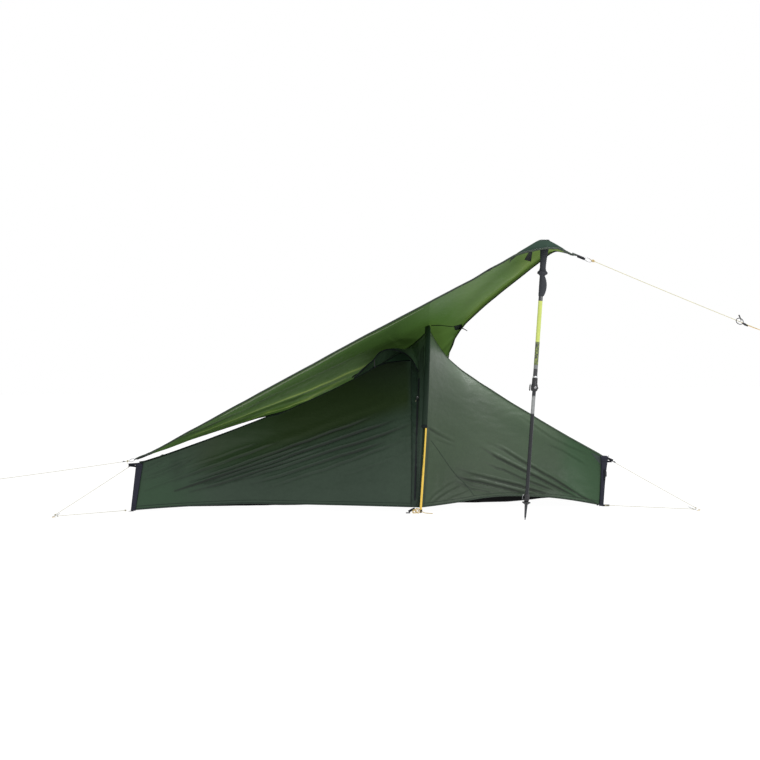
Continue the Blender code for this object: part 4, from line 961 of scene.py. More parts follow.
for nm, pts in LINES.items():
    d = unit(pts[-1] - pts[0])
    if nm in ("foot_top_line", "head_top_line", "foot_far_line", "head_far_line"):
        line_lok(nm + "_tightener", pts[0] + d * 0.010, d, M_BLACK, 0.013)
    elif nm == "back_guyline":
        knot(nm + "_knot", pts[0] + d * 0.005, d, 0.0050, M_CORD, 2.5, 0.014, (0.1, 0.2, -1))
    else:
        knot(nm + "_knot", pts[0] + d * 0.004, d, 0.0042, M_CORD, 2.0)
    # hitch at the peg
    knot(nm + "_hitch", pts[-1] - d * 0.006, d, 0.0034 if "bottom" not in nm else 0.0026, M_CORD, 2.0)
    cord_piece(nm + "_cord", pts, nm, M_CORD)

# ==================================================================================
# Fly walls
# ==================================================================================
def crease(P, pts, width, height, start=0.22, end=0.22):
    """A step across a line, proud above it and drawn in below."""
    pts = list(pts)
    if pts[0][0] > pts[-1][0]:
        pts = pts[::-1]
    d, t, s = seg_dist(P, pts)
    x = d * s / width
    e = np.ones_like(t)
    if start > 0:
        e = e * fade(t, 0.0, start)
    if end > 0:
        e = e * fade(t, 1.0, 1.0 - end)
    return -2.33 * height * x * np.exp(-x * x) * e


def ripples(G, scale, seed, stretch_by=(1.0, 1.0, 1.0)):
    """Smooth noise over a grid, about -1 to 1."""
    from mathutils import noise
    f = 1.0 / scale
    out = np.zeros(G.shape[0] * G.shape[1])
    sx, sy, sz = stretch_by
    for q, p in enumerate(G.reshape(-1, 3)):
        out[q] = noise.noise(Vector((p[0] * f * sx + seed, p[1] * f * sy, p[2] * f * sz)))
    return out.reshape(G.shape[:2]) * 1.6


def edge_mask(nu, nv, u0=0.0, u1=0.0, v0=0.0, v1=0.0, low=(0, 0, 0, 0)):
    u, v = np.linspace(0, 1, nu)[:, None], np.linspace(0, 1, nv)[None, :]
    m = np.ones((nu, nv))
    for val, w, lo in ((u, u0, low[0]), (1 - u, u1, low[1]), (v + 0 * u, v0, low[2]), (1 - v + 0 * u, v1, low[3])):
        if w > 0:
            m = m * (lo + (1 - lo) * fade(val + np.zeros((nu, nv)), 0.0, w))
    return m


# ---- near wall, foot half -------------------------------------------------------
RIDGE_F_PX = [(140, 463.4), (148, 460.6), (158, 457.4), (168, 454.1), (178, 450.6), (188, 447.0), (198, 443.4), (208, 439.8), (218, 436.0), (228, 432.3), (238, 428.5),
              (248, 424.6), (258, 420.7), (268, 416.7), (280, 411.9), (296, 405.0)]
RIDGE_H_PX = [(452, 362.8), (460, 368.9), (466, 373.1), (472, 377.2), (480, 382.8), (490, 389.0), (500, 395.5), (510, 402.0), (520, 408.0), (530, 413.8), (540, 420.1), (550, 426.0),
              (560, 431.9), (570, 437.7), (580, 443.2), (590, 448.8), (600, 454.4), (612, 461.0)]
G = refine(g_front_foot, 340, 240)
G = to_pixels(G, -1, RIDGE_F_PX, 148, 268, 0.30)
N = normals_of(G, (0, -1, 0.3))
P = pix(G)
h = np.zeros(G.shape[:2])
LEFT_LINES = [
    [(190, 482, 3.4), (205, 477, 4.4), (220, 472, 6.9), (235, 467, 6.7), (250, 461, 7.7), (265, 456, 8.8), (280, 451, 13.3), (295, 445, 15.8), (310, 440.3, 14), (320, 436, 13),
     (333, 431, 16.3), (346, 427, 13.9), (359, 422, 10.4), (372, 417, 3.8), (385, 411, 1.4)],
    [(205, 484, 6), (220, 479, 6.5), (235, 474, 7.1), (250, 469, 7.3), (265, 465, 7.1), (280, 460, 10.5), (295, 454, 14.5), (310, 449, 15), (325, 444, 17.7), (340, 438.6, 16),
     (359, 432, 21), (372, 428, 19.3), (385, 424, 11), (398, 419, 2.5)],
    [(235, 481.5, 5), (250, 477, 6.6), (265, 472, 8.9), (280, 468, 4.9), (295, 463, 8), (310, 458, 11.2), (325, 453, 12.8), (340, 448, 14.2), (355, 444, 16), (370, 439, 15),
     (385, 434, 14.4), (398, 429, 9.3), (410, 424.6, 3)],
    [(250, 485, 1.6), (265, 480, 4.8), (280, 476, 6.2), (295, 471, 8.3), (310, 466, 10.2), (325, 461, 10.8), (340, 456, 12.8), (355, 452, 15.1), (370, 447, 13.5), (385, 442, 3.2)],
    [(265, 489, 0.9), (280, 484, 2), (295, 479, 5.2), (310, 474, 4.8), (325, 470, 5.5), (340, 464, 6.8), (355, 459, 5.8), (370, 453, 6.4), (385, 448, 5.6), (400, 442, 2.2)],
    [(340, 476, 1), (355, 472, 1.5), (370, 467, 3.4), (385, 462, 2), (400, 455, 0.9)],
    [(190, 492, 5), (205, 488, 6.5), (220, 484, 9), (235, 479, 9.7), (250, 474, 11.5), (265, 469, 12.2), (280, 464, 10.1), (295, 459, 6.3), (310, 454, 5.5), (325, 449, 3.6)],
    [(175, 491, 9), (190, 486, 14.3), (205, 481, 13.9), (220, 476, 14.1), (235, 471, 12.8), (250, 466, 10.7), (265, 460, 6.7), (280, 455, 7.5), (295, 450, 6.9), (310, 445, 3.5)],
    [(175, 480, 3.3), (190, 475, 7.3), (205, 469, 8.5), (220, 464, 5.8), (235, 458, 9.9), (250, 453, 9.1), (265, 447, 6.9), (280, 442, 2.7)],
    [(175, 474, 2.2), (190, 467, 1.6), (205, 462, 2), (220, 457, 2), (235, 451, 2.4), (250, 446, 5.5), (262, 441, 2)],
    [(148, 476, 3), (160, 471, 4.3), (175, 464, 3), (190, 459, 3), (202, 453, 2)],
    [(148, 466, 3), (160, 460, 5.2), (175, 454.5, 3), (190, 449, 2), (205, 443, 1.7)],
    [(145, 472, 3), (153, 467.5, 3), (163, 461.7, 3)],
    [(143, 480, 3), (160, 475, 3.8), (175, 468, 3), (190, 461, 4.9)],
    [(145, 491, 3), (160, 485, 3.2), (175, 480, 3.3), (190, 473, 3)],
]
for ln_ in LEFT_LINES:
    h += crease(P, [(q[0], q[1] - 0.6) for q in ln_], 1.6, 0.00036 * float(np.mean([q[2] for q in ln_])) + 0.0004)
for pts, w, a in (([(400, 400), (362, 412), (331, 424), (300, 436), (262, 449)], 4.2, 0.0018), ([(280, 443), (250, 453), (222, 463), (196, 473)], 3.0, 0.0012)):
    h += crease(P, pts, w, a)
# soft standing folds between the creases, and the pull from the top of the hoop to the foot corner
for pts, w, a in (([(402, 447), (345, 463), (290, 477)], 3.0, 0.0008),
                  ([(400, 395), (330, 418), (250, 443), (170, 469)], 7.0, -0.0035),
                  ([(408, 480), (360, 486), (300, 495)], 6.0, 0.0022),
                  ([(410, 372), (402, 420), (404, 470)], 5.0, -0.0016)):
    h += fold(P, pts, w, a)
# the floor of the wall by the zip puckers a little
for yy in (388, 401, 413, 417.5, 422, 436, 452, 470, 488):
    h += fold(P, [(399, yy + 2.5), (411, yy)], 1.6, 0.0011, 0.3, 0.0)
wave = ripples(G, 0.16, 3.1, (0.5, 1.0, 1.8))
fine = ripples(G, 0.045, 11.7, (0.7, 1.0, 1.6))
h += 0.0012 * wave + 0.00045 * fine
mask = edge_mask(340, 240, 0.03, 0.025, 0.04, 0.03, (0, 0, 0.35, 0))
G_DOOR = G + N * (h * mask)[..., None]
# Painted light and shade on the foot wall: fly_tint darkens its upper part under the tarp and the crease valleys, as
# painted shade; fly_lite lightens the foot end, more so low down, and a band below the darkened top, as painted light;
# fly_lift brightens the corner by the zip under the hood, as painted light; fly_shade draws dark lines along the
# creases and two dark patches, as painted shade.
below = P[..., 1] - np.interp(P[..., 0], [150, 200, 250, 330, 405, 430], [480, 474, 463, 437, 412, 404])
fly_tint = fade(below, 7, -14) * fade(P[..., 0], 170, 225) * (1.0 - 0.75 * fade(P[..., 0], 406, 411))
fly_tint = fly_tint * np.clip(1.0 - 24.0 * h * mask, 0.8, 1.15)
fly_tint = fly_tint * (1.0 - 0.22 * fade(P[..., 1], 398, 378) * fade(P[..., 0], 345, 370))
fly_lite = fade(P[..., 0], 225, 160) * (0.50 + 0.30 * fade(P[..., 1], 470, 492)) + 0.25 * fade(P[..., 0], 200, 225) * fade(P[..., 0], 300, 240) * fade(below, 6, -6)
fly_lift = 0.62 * fade(P[..., 0], 402, 411) * fade(P[..., 1], 374, 356)
fly_shade = dark_lines(P, LEFT_LINES, 1.10, 0.062) + 0.16 * np.exp(-((P[..., 0] - 228) / 40) ** 2 - ((P[..., 1] - 474 + 0.32 * (P[..., 0] - 228)) / 8.5) ** 2) \
    + 0.22 * np.exp(-((P[..., 0] - 176) / 7) ** 2 - ((P[..., 1] - 468) / 16) ** 2)
T_DOOR = tree_of(G_DOOR)
N_DOOR = normals_of(G_DOOR, (0, -1, 0.3))
door = grid_piece("fly_wall_foot_near", G_DOOR, M_FLY, attrs={"tint": np.clip(fly_tint, 0, 1), "lift": np.clip(fly_lift, 0, 1), "lite": np.clip(fly_lite, 0, 1), "shade": np.clip(fly_shade, 0, 0.85)})
put(door, "tent", ("fly_door_wall",))

# the vent under the hood is open mesh: those faces take the dark net
M_NET = fabric("vent_net", (0.0400, 0.0900, 0.0480), (0.0300, 0.0680, 0.0370), rough=0.8, crinkle=0.0004, sheen=0.0, spec=0.1, grid=0.002)
M_CORNER = fabric("corner_cloth", (0.024, 0.046, 0.030), (0.018, 0.036, 0.024), rough=0.45, spec=0.25)
M_DOORTOP = fabric("door_top_cloth", (0.036, 0.066, 0.052), (0.026, 0.050, 0.040), rough=0.45)
door.data.materials.append(M_NET)
NET_PX = [(337, 386.5), (352, 379), (360, 374.2), (372.5, 368.3), (379.2, 364.2), (388.3, 361.7), (401.7, 360.8), (409.6, 360.8),
          (409.2, 345.0), (398, 348), (386, 353), (360, 368), (345, 379)]


def inside(px, py, poly):
    c = False
    for a, b in zip(poly, poly[1:] + poly[:1]):
        if (a[1] > py) != (b[1] > py) and px < (b[0] - a[0]) * (py - a[1]) / (b[1] - a[1]) + a[0]:
            c = not c
    return c


PC = pix(0.25 * (G_DOOR[:-1, :-1] + G_DOOR[1:, :-1] + G_DOOR[:-1, 1:] + G_DOOR[1:, 1:])).reshape(-1, 2)
for q, poly in enumerate(door.data.polygons):
    if PC[q, 0] > 330 and PC[q, 1] < 390 and inside(PC[q, 0], PC[q, 1], NET_PX):
        poly.material_index = 1

# ---- near wall, head half -------------------------------------------------------
G = refine(g_front_head, 290, 230)
G = to_pixels(G, -1, RIDGE_H_PX, 470, 596, 0.30)
N = normals_of(G, (0, -1, 0.3))
P = pix(G)
h = np.zeros(G.shape[:2])
RIGHT_LINES = [
    [(480, 447, 3), (488, 452, 8.2), (496, 457, 14.5), (504, 461, 16.9), (512, 465, 17.3), (520, 469, 19.7), (536, 477, 18.3), (544, 481, 17.5), (552, 485, 14.2), (560, 489, 15.8),
     (568, 493, 12.6), (576, 497, 8), (586, 501.5, 4)],
    [(488, 443, 2.9), (496, 446, 3.1), (504, 450, 8), (512, 455, 8.9), (520, 460, 11.3), (528, 464.5, 12), (536, 469, 13.6), (544, 474, 13.1), (552, 478, 13.8), (560, 483, 15.6),
     (568, 488, 18.4), (576, 493, 14), (584, 498, 13.1), (593, 503, 8)],
    [(480, 460.5, 1), (488, 464, 2.4), (496, 468, 7.2), (504, 470, 10.8), (512, 474, 8.9), (520, 478, 9), (528, 481, 10), (536, 484, 10.1), (544, 487, 11), (552, 490, 5.4), (560, 493, 1.6)],
    [(456, 468.5, 2), (464, 471, 4.4), (472, 474, 6.4), (480, 476, 7.6), (488, 478, 8.6), (496, 480, 8.9), (504, 482, 15), (512, 484, 19.4), (520, 486, 18.9), (528, 488.7, 19),
     (536, 491, 19.1), (544, 493, 13.7), (552, 495, 3.1)],
    [(456, 476, 6.5), (464, 479, 13.6), (472, 481, 14.7), (480, 482, 12), (488, 484, 11.8), (496, 486, 11.3), (504, 488, 14.9), (512, 490, 20.7), (520, 492, 12.5), (532, 494.3, 6), (544, 496, 3.8)],
    [(456, 481, 3), (464, 485, 7.7), (472, 489, 6.4), (480, 490, 6), (488, 492, 6), (496, 493, 1.5)],
    [(464, 482, 2), (472, 485, 4.9), (480, 487, 2.9), (488, 488, 2.3), (496, 490, 3.2), (504, 492, 3.4), (514, 494.5, 2)],
    [(427, 427, 8), (432, 430, 14.3), (440, 435, 8.8), (448, 439, 4), (456, 443, 1.5)],
    [(432, 437, 2), (440, 441, 3.6), (448, 444, 3.2), (456, 446.5, 1)],
    [(427, 505, 4), (432, 497, 5), (440, 491, 3.8), (448, 485, 2.5), (458, 480.5, 2)],
    [(430, 505, 4), (440, 497, 8.9), (448, 492, 3), (456, 488, 4.7), (464, 485, 3)],
    [(444, 501, 2), (456, 496, 3.9), (464, 493, 3.6), (472, 489, 3)],
    [(520, 416, 2), (536, 427, 2.5), (552, 438, 2.5), (568, 446, 3.2), (576, 449.5, 3.3), (588, 455, 2)],
    [(544, 443, 1.6), (560, 449.5, 2.9), (568, 454, 3.2), (576, 459, 3.4), (588, 466, 1)],
]
for ln_ in RIGHT_LINES:
    h += crease(P, [(q[0], q[1] - 0.6) for q in ln_], 1.8, 0.00026 * float(np.mean([q[2] for q in ln_])) + 0.0004)
for pts, w, a in (([(433, 412), (470, 440), (520, 470), (585, 497)], 6.0, 0.0024),
                  ([(440, 380), (480, 410), (540, 445), (600, 470)], 9.0, -0.0030),
                  ([(433.5, 446), (430, 458), (428, 471), (427, 490), (426.5, 502)], 1.6, -0.0026),
                  ([(436, 448), (440, 470), (438, 495)], 3.0, 0.0022),
                  ([(545, 497), (565, 500), (590, 504)], 2.0, 0.0016)):
    h += fold(P, pts, w, a)
wave = ripples(G, 0.15, 7.3, (0.6, 1.0, 1.5))
fine = ripples(G, 0.04, 19.1, (0.8, 1.0, 1.5))
h += 0.0014 * wave + 0.00045 * fine
mask = edge_mask(290, 230, 0.03, 0.025, 0.04, 0.03, (0, 0, 0.35, 0))
G_HEAD = G + N * (h * mask)[..., None]
T_HEAD = tree_of(G_HEAD)
N_HEAD = normals_of(G_HEAD, (0, -1, 0.3))
u_, v_ = np.linspace(0, 1, 260)[:, None], np.linspace(0, 1, 170)[None, :]
# On the near head wall: right_tint is greener towards the head end and with the ripples; right_lite is a painted sheen
# along the ridge and painted light high on the wall; right_shade is painted shade low on the wall, along the creases,
# and a dark line beside the gold pole.
right_tint = np.clip(0.85 * fade(P[..., 0], 552, 576) + 0.24 * fade(P[..., 0], 480, 556) + 0.10 * wave * fade(P[..., 0], 440, 560), 0, 1)
rd_, _, _ = seg_dist(P, [(428, 330), (437.4, 344), (448.9, 357.7), (475.7, 378.8), (513.9, 403.7), (571.3, 436), (607.7, 456)])
right_lite = 0.80 * np.exp(-(rd_ / 11.0) ** 2) * fade(P[..., 0], 574, 540)
right_lite = right_lite + 0.30 * fade(P[..., 1], 410, 365) * fade(P[..., 0], 470, 440)
right_shade = 0.20 * fade(P[..., 1], 440, 485) * fade(P[..., 0], 585, 555) * fade(P[..., 0], 425, 450) + 0.16 * np.exp(-((P[..., 1] - 482 - 0.12 * (P[..., 0] - 470)) / 9.0) ** 2) * fade(P[..., 0], 445, 465) * fade(P[..., 0], 560, 530)
right_shade = np.maximum(right_shade, 0) + dark_lines(P, RIGHT_LINES, 1.05, 0.046) \
    + 0.50 * np.exp(-((P[..., 0] - np.interp(P[..., 1], [432, 460, 480, 505], [428.8, 427.1, 425.6, 423.6])) / 1.1) ** 2) * fade(P[..., 1], 429, 434) * fade(P[..., 0], 436, 431)
right = grid_piece("fly_wall_head_near", G_HEAD, M_FLY_R, flip=True,
                   attrs={"tint": right_tint, "lite": np.clip(right_lite, 0, 1), "shade": np.clip(right_shade, 0, 0.85)})
put(right, "tent", ("fly_front_wall_head",))

# ---- back walls -----------------------------------------------------------------
def back(name, g, node, corner, seed, flip):
    G = refine(g, 150, 170)
    G = to_pixels(G, 0, RIDGE_F_PX, 148, 268, 0.30) if "foot" in name else to_pixels(G, 0, RIDGE_H_PX, 470, 596, 0.30)
    N = normals_of(G, (0, 1, 0.5))
    u, v = np.linspace(0, 1, 150)[:, None], np.linspace(0, 1, 170)[None, :]
    h = np.zeros(G.shape[:2])
    # pulls from the hoop's far foot and from the far corner
    for cu_, cv, du, dv, w, a in ((1.0, 0.93, -0.9, -0.35, 0.020, 0.0040), (1.0, 0.80, -0.9, -0.20, 0.024, 0.0030),
                                  (1.0, 0.62, -0.9, -0.02, 0.030, 0.0035), (1.0, 0.45, -0.8, 0.10, 0.030, 0.0030),
                                  (0.0, 0.98, 0.8, -0.45, 0.022, 0.0035), (0.0, 0.92, 0.7, -0.60, 0.026, 0.0028),
                                  (0.0, 0.60, 0.9, -0.10, 0.026, 0.0026)):
        n = np.array((-dv, du))
        n = n / np.linalg.norm(n)
        dist = (u - cu_) * n[0] + (v - cv) * n[1]
        along = ((u - cu_) * du + (v - cv) * dv) / math.hypot(du, dv)
        x = dist / (w * (0.6 + along * 1.3))
        h += a * x * np.exp(-x * x) * 2.33 * fade(along, 0.02, 0.2) * fade(along, 0.95, 0.5)
    h += 0.0016 * ripples(G, 0.17, seed, (0.6, 1.0, 1.4)) + 0.0005 * ripples(G, 0.045, seed + 4)
    h *= edge_mask(150, 170, 0.03, 0.03, 0.03, 0.04, (0, 0, 0, 0.35))
    G = G + N * h[..., None]
    # tint is higher in the fold valleys and lower on their ridges: painted shade
    ob = grid_piece(name, G, M_FLY, flip, attrs={"tint": np.clip(0.35 - 60 * h, 0, 1)})
    put(ob, "tent", (node,))
    return G, normals_of(G, (0, 1, 0.5)), ob


G_BF, N_BF, back_f = back("fly_wall_foot_back", g_back_foot, "fly_back_wall_foot", None, 2.2, False)
G_BH, N_BH, back_h = back("fly_wall_head_back", g_back_head, "fly_back_wall_head", None, 5.9, True)


# ---- end walls ------------------------------------------------------------------
def end_wall(name, near_low, near_top, far_low, far_top, bow, node, out, seed):
    n = 7
    near, far = line(near_low, near_top, n), line(far_low, far_top, n)
    low, top = line(near_low, far_low, n), line(near_top, far_top, n)
    for q in range(n):
        t = q / (n - 1)
        low[q][2] += 0.030 * 4 * t * (1 - t)
        low[q][0] += bow * 4 * t * (1 - t)
        top[q][2] -= 0.012 * 4 * t * (1 - t)
    g = stretch(coons(np.array(low), np.array(top), np.array(near), np.array(far)))
    G = refine(g, 110, 60)
    N = normals_of(G, (out, 0, 0))
    u, v = np.linspace(0, 1, 110)[:, None], np.linspace(0, 1, 60)[None, :]
    h = 0.0
    for c, s, w, a in ((0.0, 0.55, 0.05, 0.0030), (0.10, 0.75, 0.04, 0.0022), (-0.15, 1.0, 0.05, 0.0025),
                       (0.25, -0.45, 0.05, 0.0020), (0.55, -0.6, 0.05, 0.0025), (0.85, -0.75, 0.04, 0.0022)):
        x = ((v - c) - s * u) / w
        h = h + a * x * np.exp(-x * x) * 2.33
    h = h + 0.0012 * ripples(G, 0.09, seed)
    h = h * edge_mask(110, 60, 0.06, 0.06, 0.08, 0.06, (0, 0, 0.4, 0))
    G = G + N * h[..., None]
    # tint is higher in the fold valleys and lower on their ridges: painted shade
    ob = grid_piece(name, G, M_FLY, attrs={"tint": np.clip(0.3 - 60 * h, 0, 1)})
    put(ob, "tent", (node,))
    return G, normals_of(G, (out, 0, 0)), ob


G_EF, N_EF, end_f_ob = end_wall("fly_end_foot", arr(FOOT_NEAR_LOW), arr(FOOT_NEAR_TOP), arr(FOOT_FAR_LOW), arr(FOOT_FAR_TOP), 0.02, "fly_foot_end", -1, 1.7)
G_EH, N_EH, end_h_ob = end_wall("fly_end_head", arr(HEAD_NEAR_LOW), arr(HEAD_NEAR_TOP), arr(HEAD_FAR_LOW), arr(HEAD_FAR_TOP), -0.02, "fly_head_end", 1, 8.8)


# ---- tapes: bindings at the edges, seams ------------------------------------------
def tape(name, path, inward, width, mat, thick=0.0022, shift=0.0, every=1, replaces=()):
    """A woven tape folded over an edge; path is the edge, inward a direction or one per point."""
    path = np.array(path)[::every]
    inw = np.array(inward)
    if inw.ndim == 1:
        inw = np.repeat(inw[None], len(path), 0)
    else:
        inw = inw[::every]
    inw = inw / np.linalg.norm(inw, axis=1, keepdims=True)
    pts = path + inw * (width / 2 + shift)
    return put(ribbon(name, pts, list(inw), width, thick, mat), "tent", replaces)


def seam(name, path, nrm, width, height, mat):
    """A raised felled seam lying on the cloth, thicker in the middle, with two sunk stitch lines."""
    path, nrm = np.array(path), np.array(nrm)
    n = len(path)
    prof = [(-1.0, 0.0), (-0.92, 0.55), (-0.66, 0.80), (-0.60, 0.62), (-0.54, 0.85), (0.0, 1.0), (0.54, 0.85), (0.60, 0.62),
            (0.66, 0.80), (0.92, 0.55), (1.0, 0.0), (0.0, -0.55)]
    verts, uv, s = [], [], 0.0
    for q in range(n):
        t = unit(path[min(q + 1, n - 1)] - path[max(q - 1, 0)])
        sd = unit(np.cross(t, nrm[q]))
        up = np.cross(sd, t)
        if np.dot(up, nrm[q]) < 0:
            up = -up
        if q:
            s += np.linalg.norm(path[q] - path[q - 1])
        stitch = 1.0 + 0.10 * math.sin(s * 2 * math.pi / 0.004)
        for a, b in prof:
            verts.append(path[q] + sd * a * width / 2 + up * (b * height * stitch))
            uv.append((s, a * width / 2))
    m = len(prof)
    faces = grid_faces(n, m, closed=True) + [tuple(range(m)), tuple((n - 1) * m + w for w in range(m))[::-1]]
    return put(fix_normals(mesh_piece(name, verts, faces, mat, uv=uv)), "tent")


def dense(path, step=0.003):
    path = np.array(path)
    return resample(path, max(8, int(length_of(path) / step)))


def px_path(tree, pixels, n=60, lift=0.0015):
    pp = smooth_curve([(x, y) for x, y in pixels], n)
    out, nn = [], []
    for x, y in pp:
        p, nr = on(tree, x, y)
        out.append(p + nr * lift)
        nn.append(nr)
    out = np.array(out)
    nn = np.array(nn)
    for _ in range(2):
        nn[1:-1] = (nn[:-2] + nn[1:-1] + nn[2:]) / 3
    return out, nn / np.linalg.norm(nn, axis=1, keepdims=True)


# hems
# the foot wall's hem tape is darker as painted shade along its edge
tape("hem_foot_near", G_DOOR[:, 0], G_DOOR[:, 2] - G_DOOR[:, 0], 0.009, M_HEM, 0.0024, -0.001)
tape("hem_head_near", G_HEAD[:, 0], G_HEAD[:, 2] - G_HEAD[:, 0], 0.009, M_SEAM_G, 0.0024, -0.001)
tape("hem_foot_far", G_BF[:, -1], G_BF[:, -3] - G_BF[:, -1], 0.011, M_BIND, 0.0024, -0.001)
tape("hem_head_far", G_BH[:, -1], G_BH[:, -3] - G_BH[:, -1], 0.011, M_BIND, 0.0024, -0.001)
tape("hem_end_foot", G_EF[:, 0], G_EF[:, 2] - G_EF[:, 0], 0.011, M_BIND, 0.0024, -0.001)
tape("hem_end_head", G_EH[:, 0], G_EH[:, 2] - G_EH[:, 0], 0.011, M_BIND, 0.0024, -0.001)


def up_norm(A, B):
    n = A + B
    return n / np.linalg.norm(n, axis=1, keepdims=True)


# ridge seams, where near and back wall meet
rf = dense(G_DOOR[:, -1])
nf = resample(np.hstack([G_DOOR[:, -1], up_norm(N_DOOR[:, -1], N_BF[np.linspace(0, 149, 300).astype(int), 0])])[:, 3:], len(rf)) if False else None


def along_norm(path, src, nrm):
    """Normals of a grid's edge brought to a finer path."""
    src, nrm, path = np.array(src), np.array(nrm), np.array(path)
    s0 = np.concatenate([[0], np.cumsum(np.linalg.norm(np.diff(src, axis=0), axis=1))])
    s1 = np.concatenate([[0], np.cumsum(np.linalg.norm(np.diff(path, axis=0), axis=1))])
    s1 = s1 / s1[-1] * s0[-1]
    out = np.column_stack([np.interp(s1, s0, nrm[:, q]) for q in range(3)])
    return out / np.linalg.norm(out, axis=1, keepdims=True)


rf = dense(G_DOOR[:, -1])
nrf = unit_rows = along_norm(rf, G_DOOR[:, -1], N_DOOR[:, -1] + np.array((0, 0.25, 0.9)))
seam("ridge_seam_foot", rf + nrf * 0.0006, nrf, 0.012, 0.0022, M_SEAM)
rh = dense(G_HEAD[:, -1])
nrh = along_norm(rh, G_HEAD[:, -1], N_HEAD[:, -1] + np.array((0, 0.25, 0.9)))
seam("ridge_seam_head", rh + nrh * 0.0004, nrh, 0.009, 0.0014, M_SEAM_R)
# seams at the top of the end walls, from corner to corner
for nm, E, out in (("end_seam_foot", G_EF, -0.5), ("end_seam_head", G_EH, 0.5)):
    tp = dense(E[:, -1])
    nn = np.repeat(unit((out, 0, 1.0))[None], len(tp), 0)
    seam(nm, tp + nn * 0.0006, nn, 0.010, 0.0020, M_SEAM)
# a line of stitching above each near hem
for nm, Gx, Nx, ms_ in (("hem_stitch_foot", G_DOOR, N_DOOR, M_HEM), ("hem_stitch_head", G_HEAD, N_HEAD, M_SEAM_G)):
    pth = Gx[:, 0] + unit_rows[0] * 0
    inn = Gx[:, 4] - Gx[:, 0]
    inn = inn / np.linalg.norm(inn, axis=1, keepdims=True)
    pth = pth + inn * 0.019
    d_ = dense(pth, 0.002)
    nn = along_norm(d_, pth, Nx[:, 1])
    seam(nm, d_ + nn * 0.0001, nn, 0.0032, 0.0006, ms_)
# gusset seam of the head wall
gp, gn = px_path(T_HEAD, [(431, 440.5), (438.8, 451), (447.5, 463.8), (456, 475), (466, 485), (474.5, 496)], 120, 0.0001)
seam("gusset_seam", gp, gn, 0.0040, 0.0009, M_SEAM_G)
gp, gn = px_path(T_HEAD, [(578, 494.6), (586, 498), (596, 502.8)], 50, 0.0004)
seam("hem_corner_seam", gp, gn, 0.004, 0.0008, M_SEAM_G)


# ---- strut sleeves: a tape tube over each corner, with tabs at its ends ----------
def corner_band(name, low, top, w_low, w_top, outward, depth, taper=1.0, body_n=40):
    """A navy cloth tube that holds an end strut, wrapped over the corner of the fly."""
    low, top = np.array(low, dtype=float), np.array(top, dtype=float)
    n = body_n
    sec = 28
    ax = unit(top - low)
    e = unit(np.array(outward[0]) - ax * np.dot(outward[0], ax))
    f = unit(np.array(outward[1]) - ax * np.dot(outward[1], ax))
    verts, uv = [], []
    L_ = np.linalg.norm(top - low)
    for q in range(n):
        t = q / (n - 1)
        w = (w_low + (w_top - w_low) * t ** taper) / 2
        end = 1.0 - 0.35 * max(0.0, 1 - min(t, 1 - t) / 0.015)
        cr = 0.0007 * math.sin(t * 47.0) + 0.0005 * math.sin(t * 113.0 + 1.0)
        for m in range(sec):
            a = 2 * math.pi * m / sec
            c, s = math.cos(a), math.sin(a)
            ce, se = abs(c) ** 0.55 * np.sign(c), abs(s) ** 0.8 * np.sign(s)
            verts.append(low * (1 - t) + top * t + e * (w * ce * end + cr * s) + f * (depth / 2 * se * end + cr * 0.6))
            uv.append((t * L_, a * w))
    faces = grid_faces(n, sec, closed=True) + [tuple(range(sec)), tuple((n - 1) * sec + m for m in range(sec))[::-1]]
    ob = fix_normals(mesh_piece(name, verts, faces, M_NAVY, uv=uv))
    return put(ob, "tent")


def at_px(px_, py_, y):
    """Point of the frame at a pixel on the plane of that y (layout)."""
    d = ray(px_, py_)
    t = (y - ORIGIN[1] - EYE[1]) / d[1]
    return EYE + d * t


FX, FY = (1.0, 0.0, 0.0), (0.0, 1.0, 0.0)
yb = -0.4725
lf, tf_ = at_px(133.2, 510.6, yb), at_px(139.8, 463.0, yb)
corner_band("strut_sleeve_foot_near", lf, tf_, 0.0225, 0.0345, (FX, FY), 0.012)
lh, thd = at_px(601.2, 506.0, yb), at_px(604.5, 455.6, yb)
corner_band("strut_sleeve_head_near", lh, thd, 0.0205, 0.0400, (FX, FY), 0.012, 3.2)
for nm, lo, hi, sx in (("strut_sleeve_foot_far", FOOT_FAR_LOW, FOOT_FAR_TOP, -1), ("strut_sleeve_head_far", HEAD_FAR_LOW, HEAD_FAR_TOP, 1)):
    corner_band(nm, arr(lo) + np.array((0, 0.002, 0.0)), arr(hi) + np.array((0, 0.002, 0.0)), 0.024, 0.032, (FX, FY), 0.012)
# rolled edges of the near sleeves, darker, and cross-stitched tabs
for nm, p0, p1, dx in (("foot", lf, tf_, 0.0), ("head", lh, thd, 0.0)):
    for sgn, wl, wt in ((-1, 0.0225 if nm == "foot" else 0.0205, 0.0345 if nm == "foot" else 0.0400), (1, 0.0225 if nm == "foot" else 0.0205, 0.0345 if nm == "foot" else 0.0400)):
        tp_ = 1.0 if nm == "foot" else 3.2
        pth = [p0 * (1 - t) + p1 * t + np.array((sgn * (wl + (wt - wl) * t ** tp_) * 0.5, -0.001, 0)) for t in np.linspace(0.0, 1.0, 40)]
        put(tube_piece(f"strut_sleeve_piping_{nm}_{'a' if sgn < 0 else 'b'}", pth, 0.0016, M_BIND, 8), "tent")
    for t in (0.06, 0.11, 0.88, 0.93):
        c = p0 * (1 - t) + p1 * t
        w = 0.5 * (0.0225 + (0.0345 - 0.0225) * t ** (1.0 if nm == "foot" else 2.6)) * 0.8
        pth = [c + np.array((x, -0.0066, 0.0004 * math.sin(x * 3000))) for x in np.linspace(-w, w, 24)]
        put(tube_piece(f"strut_sleeve_bartack_{nm}_{int(t * 100)}", pth, 0.0006, M_SEAM, 6), "tent")


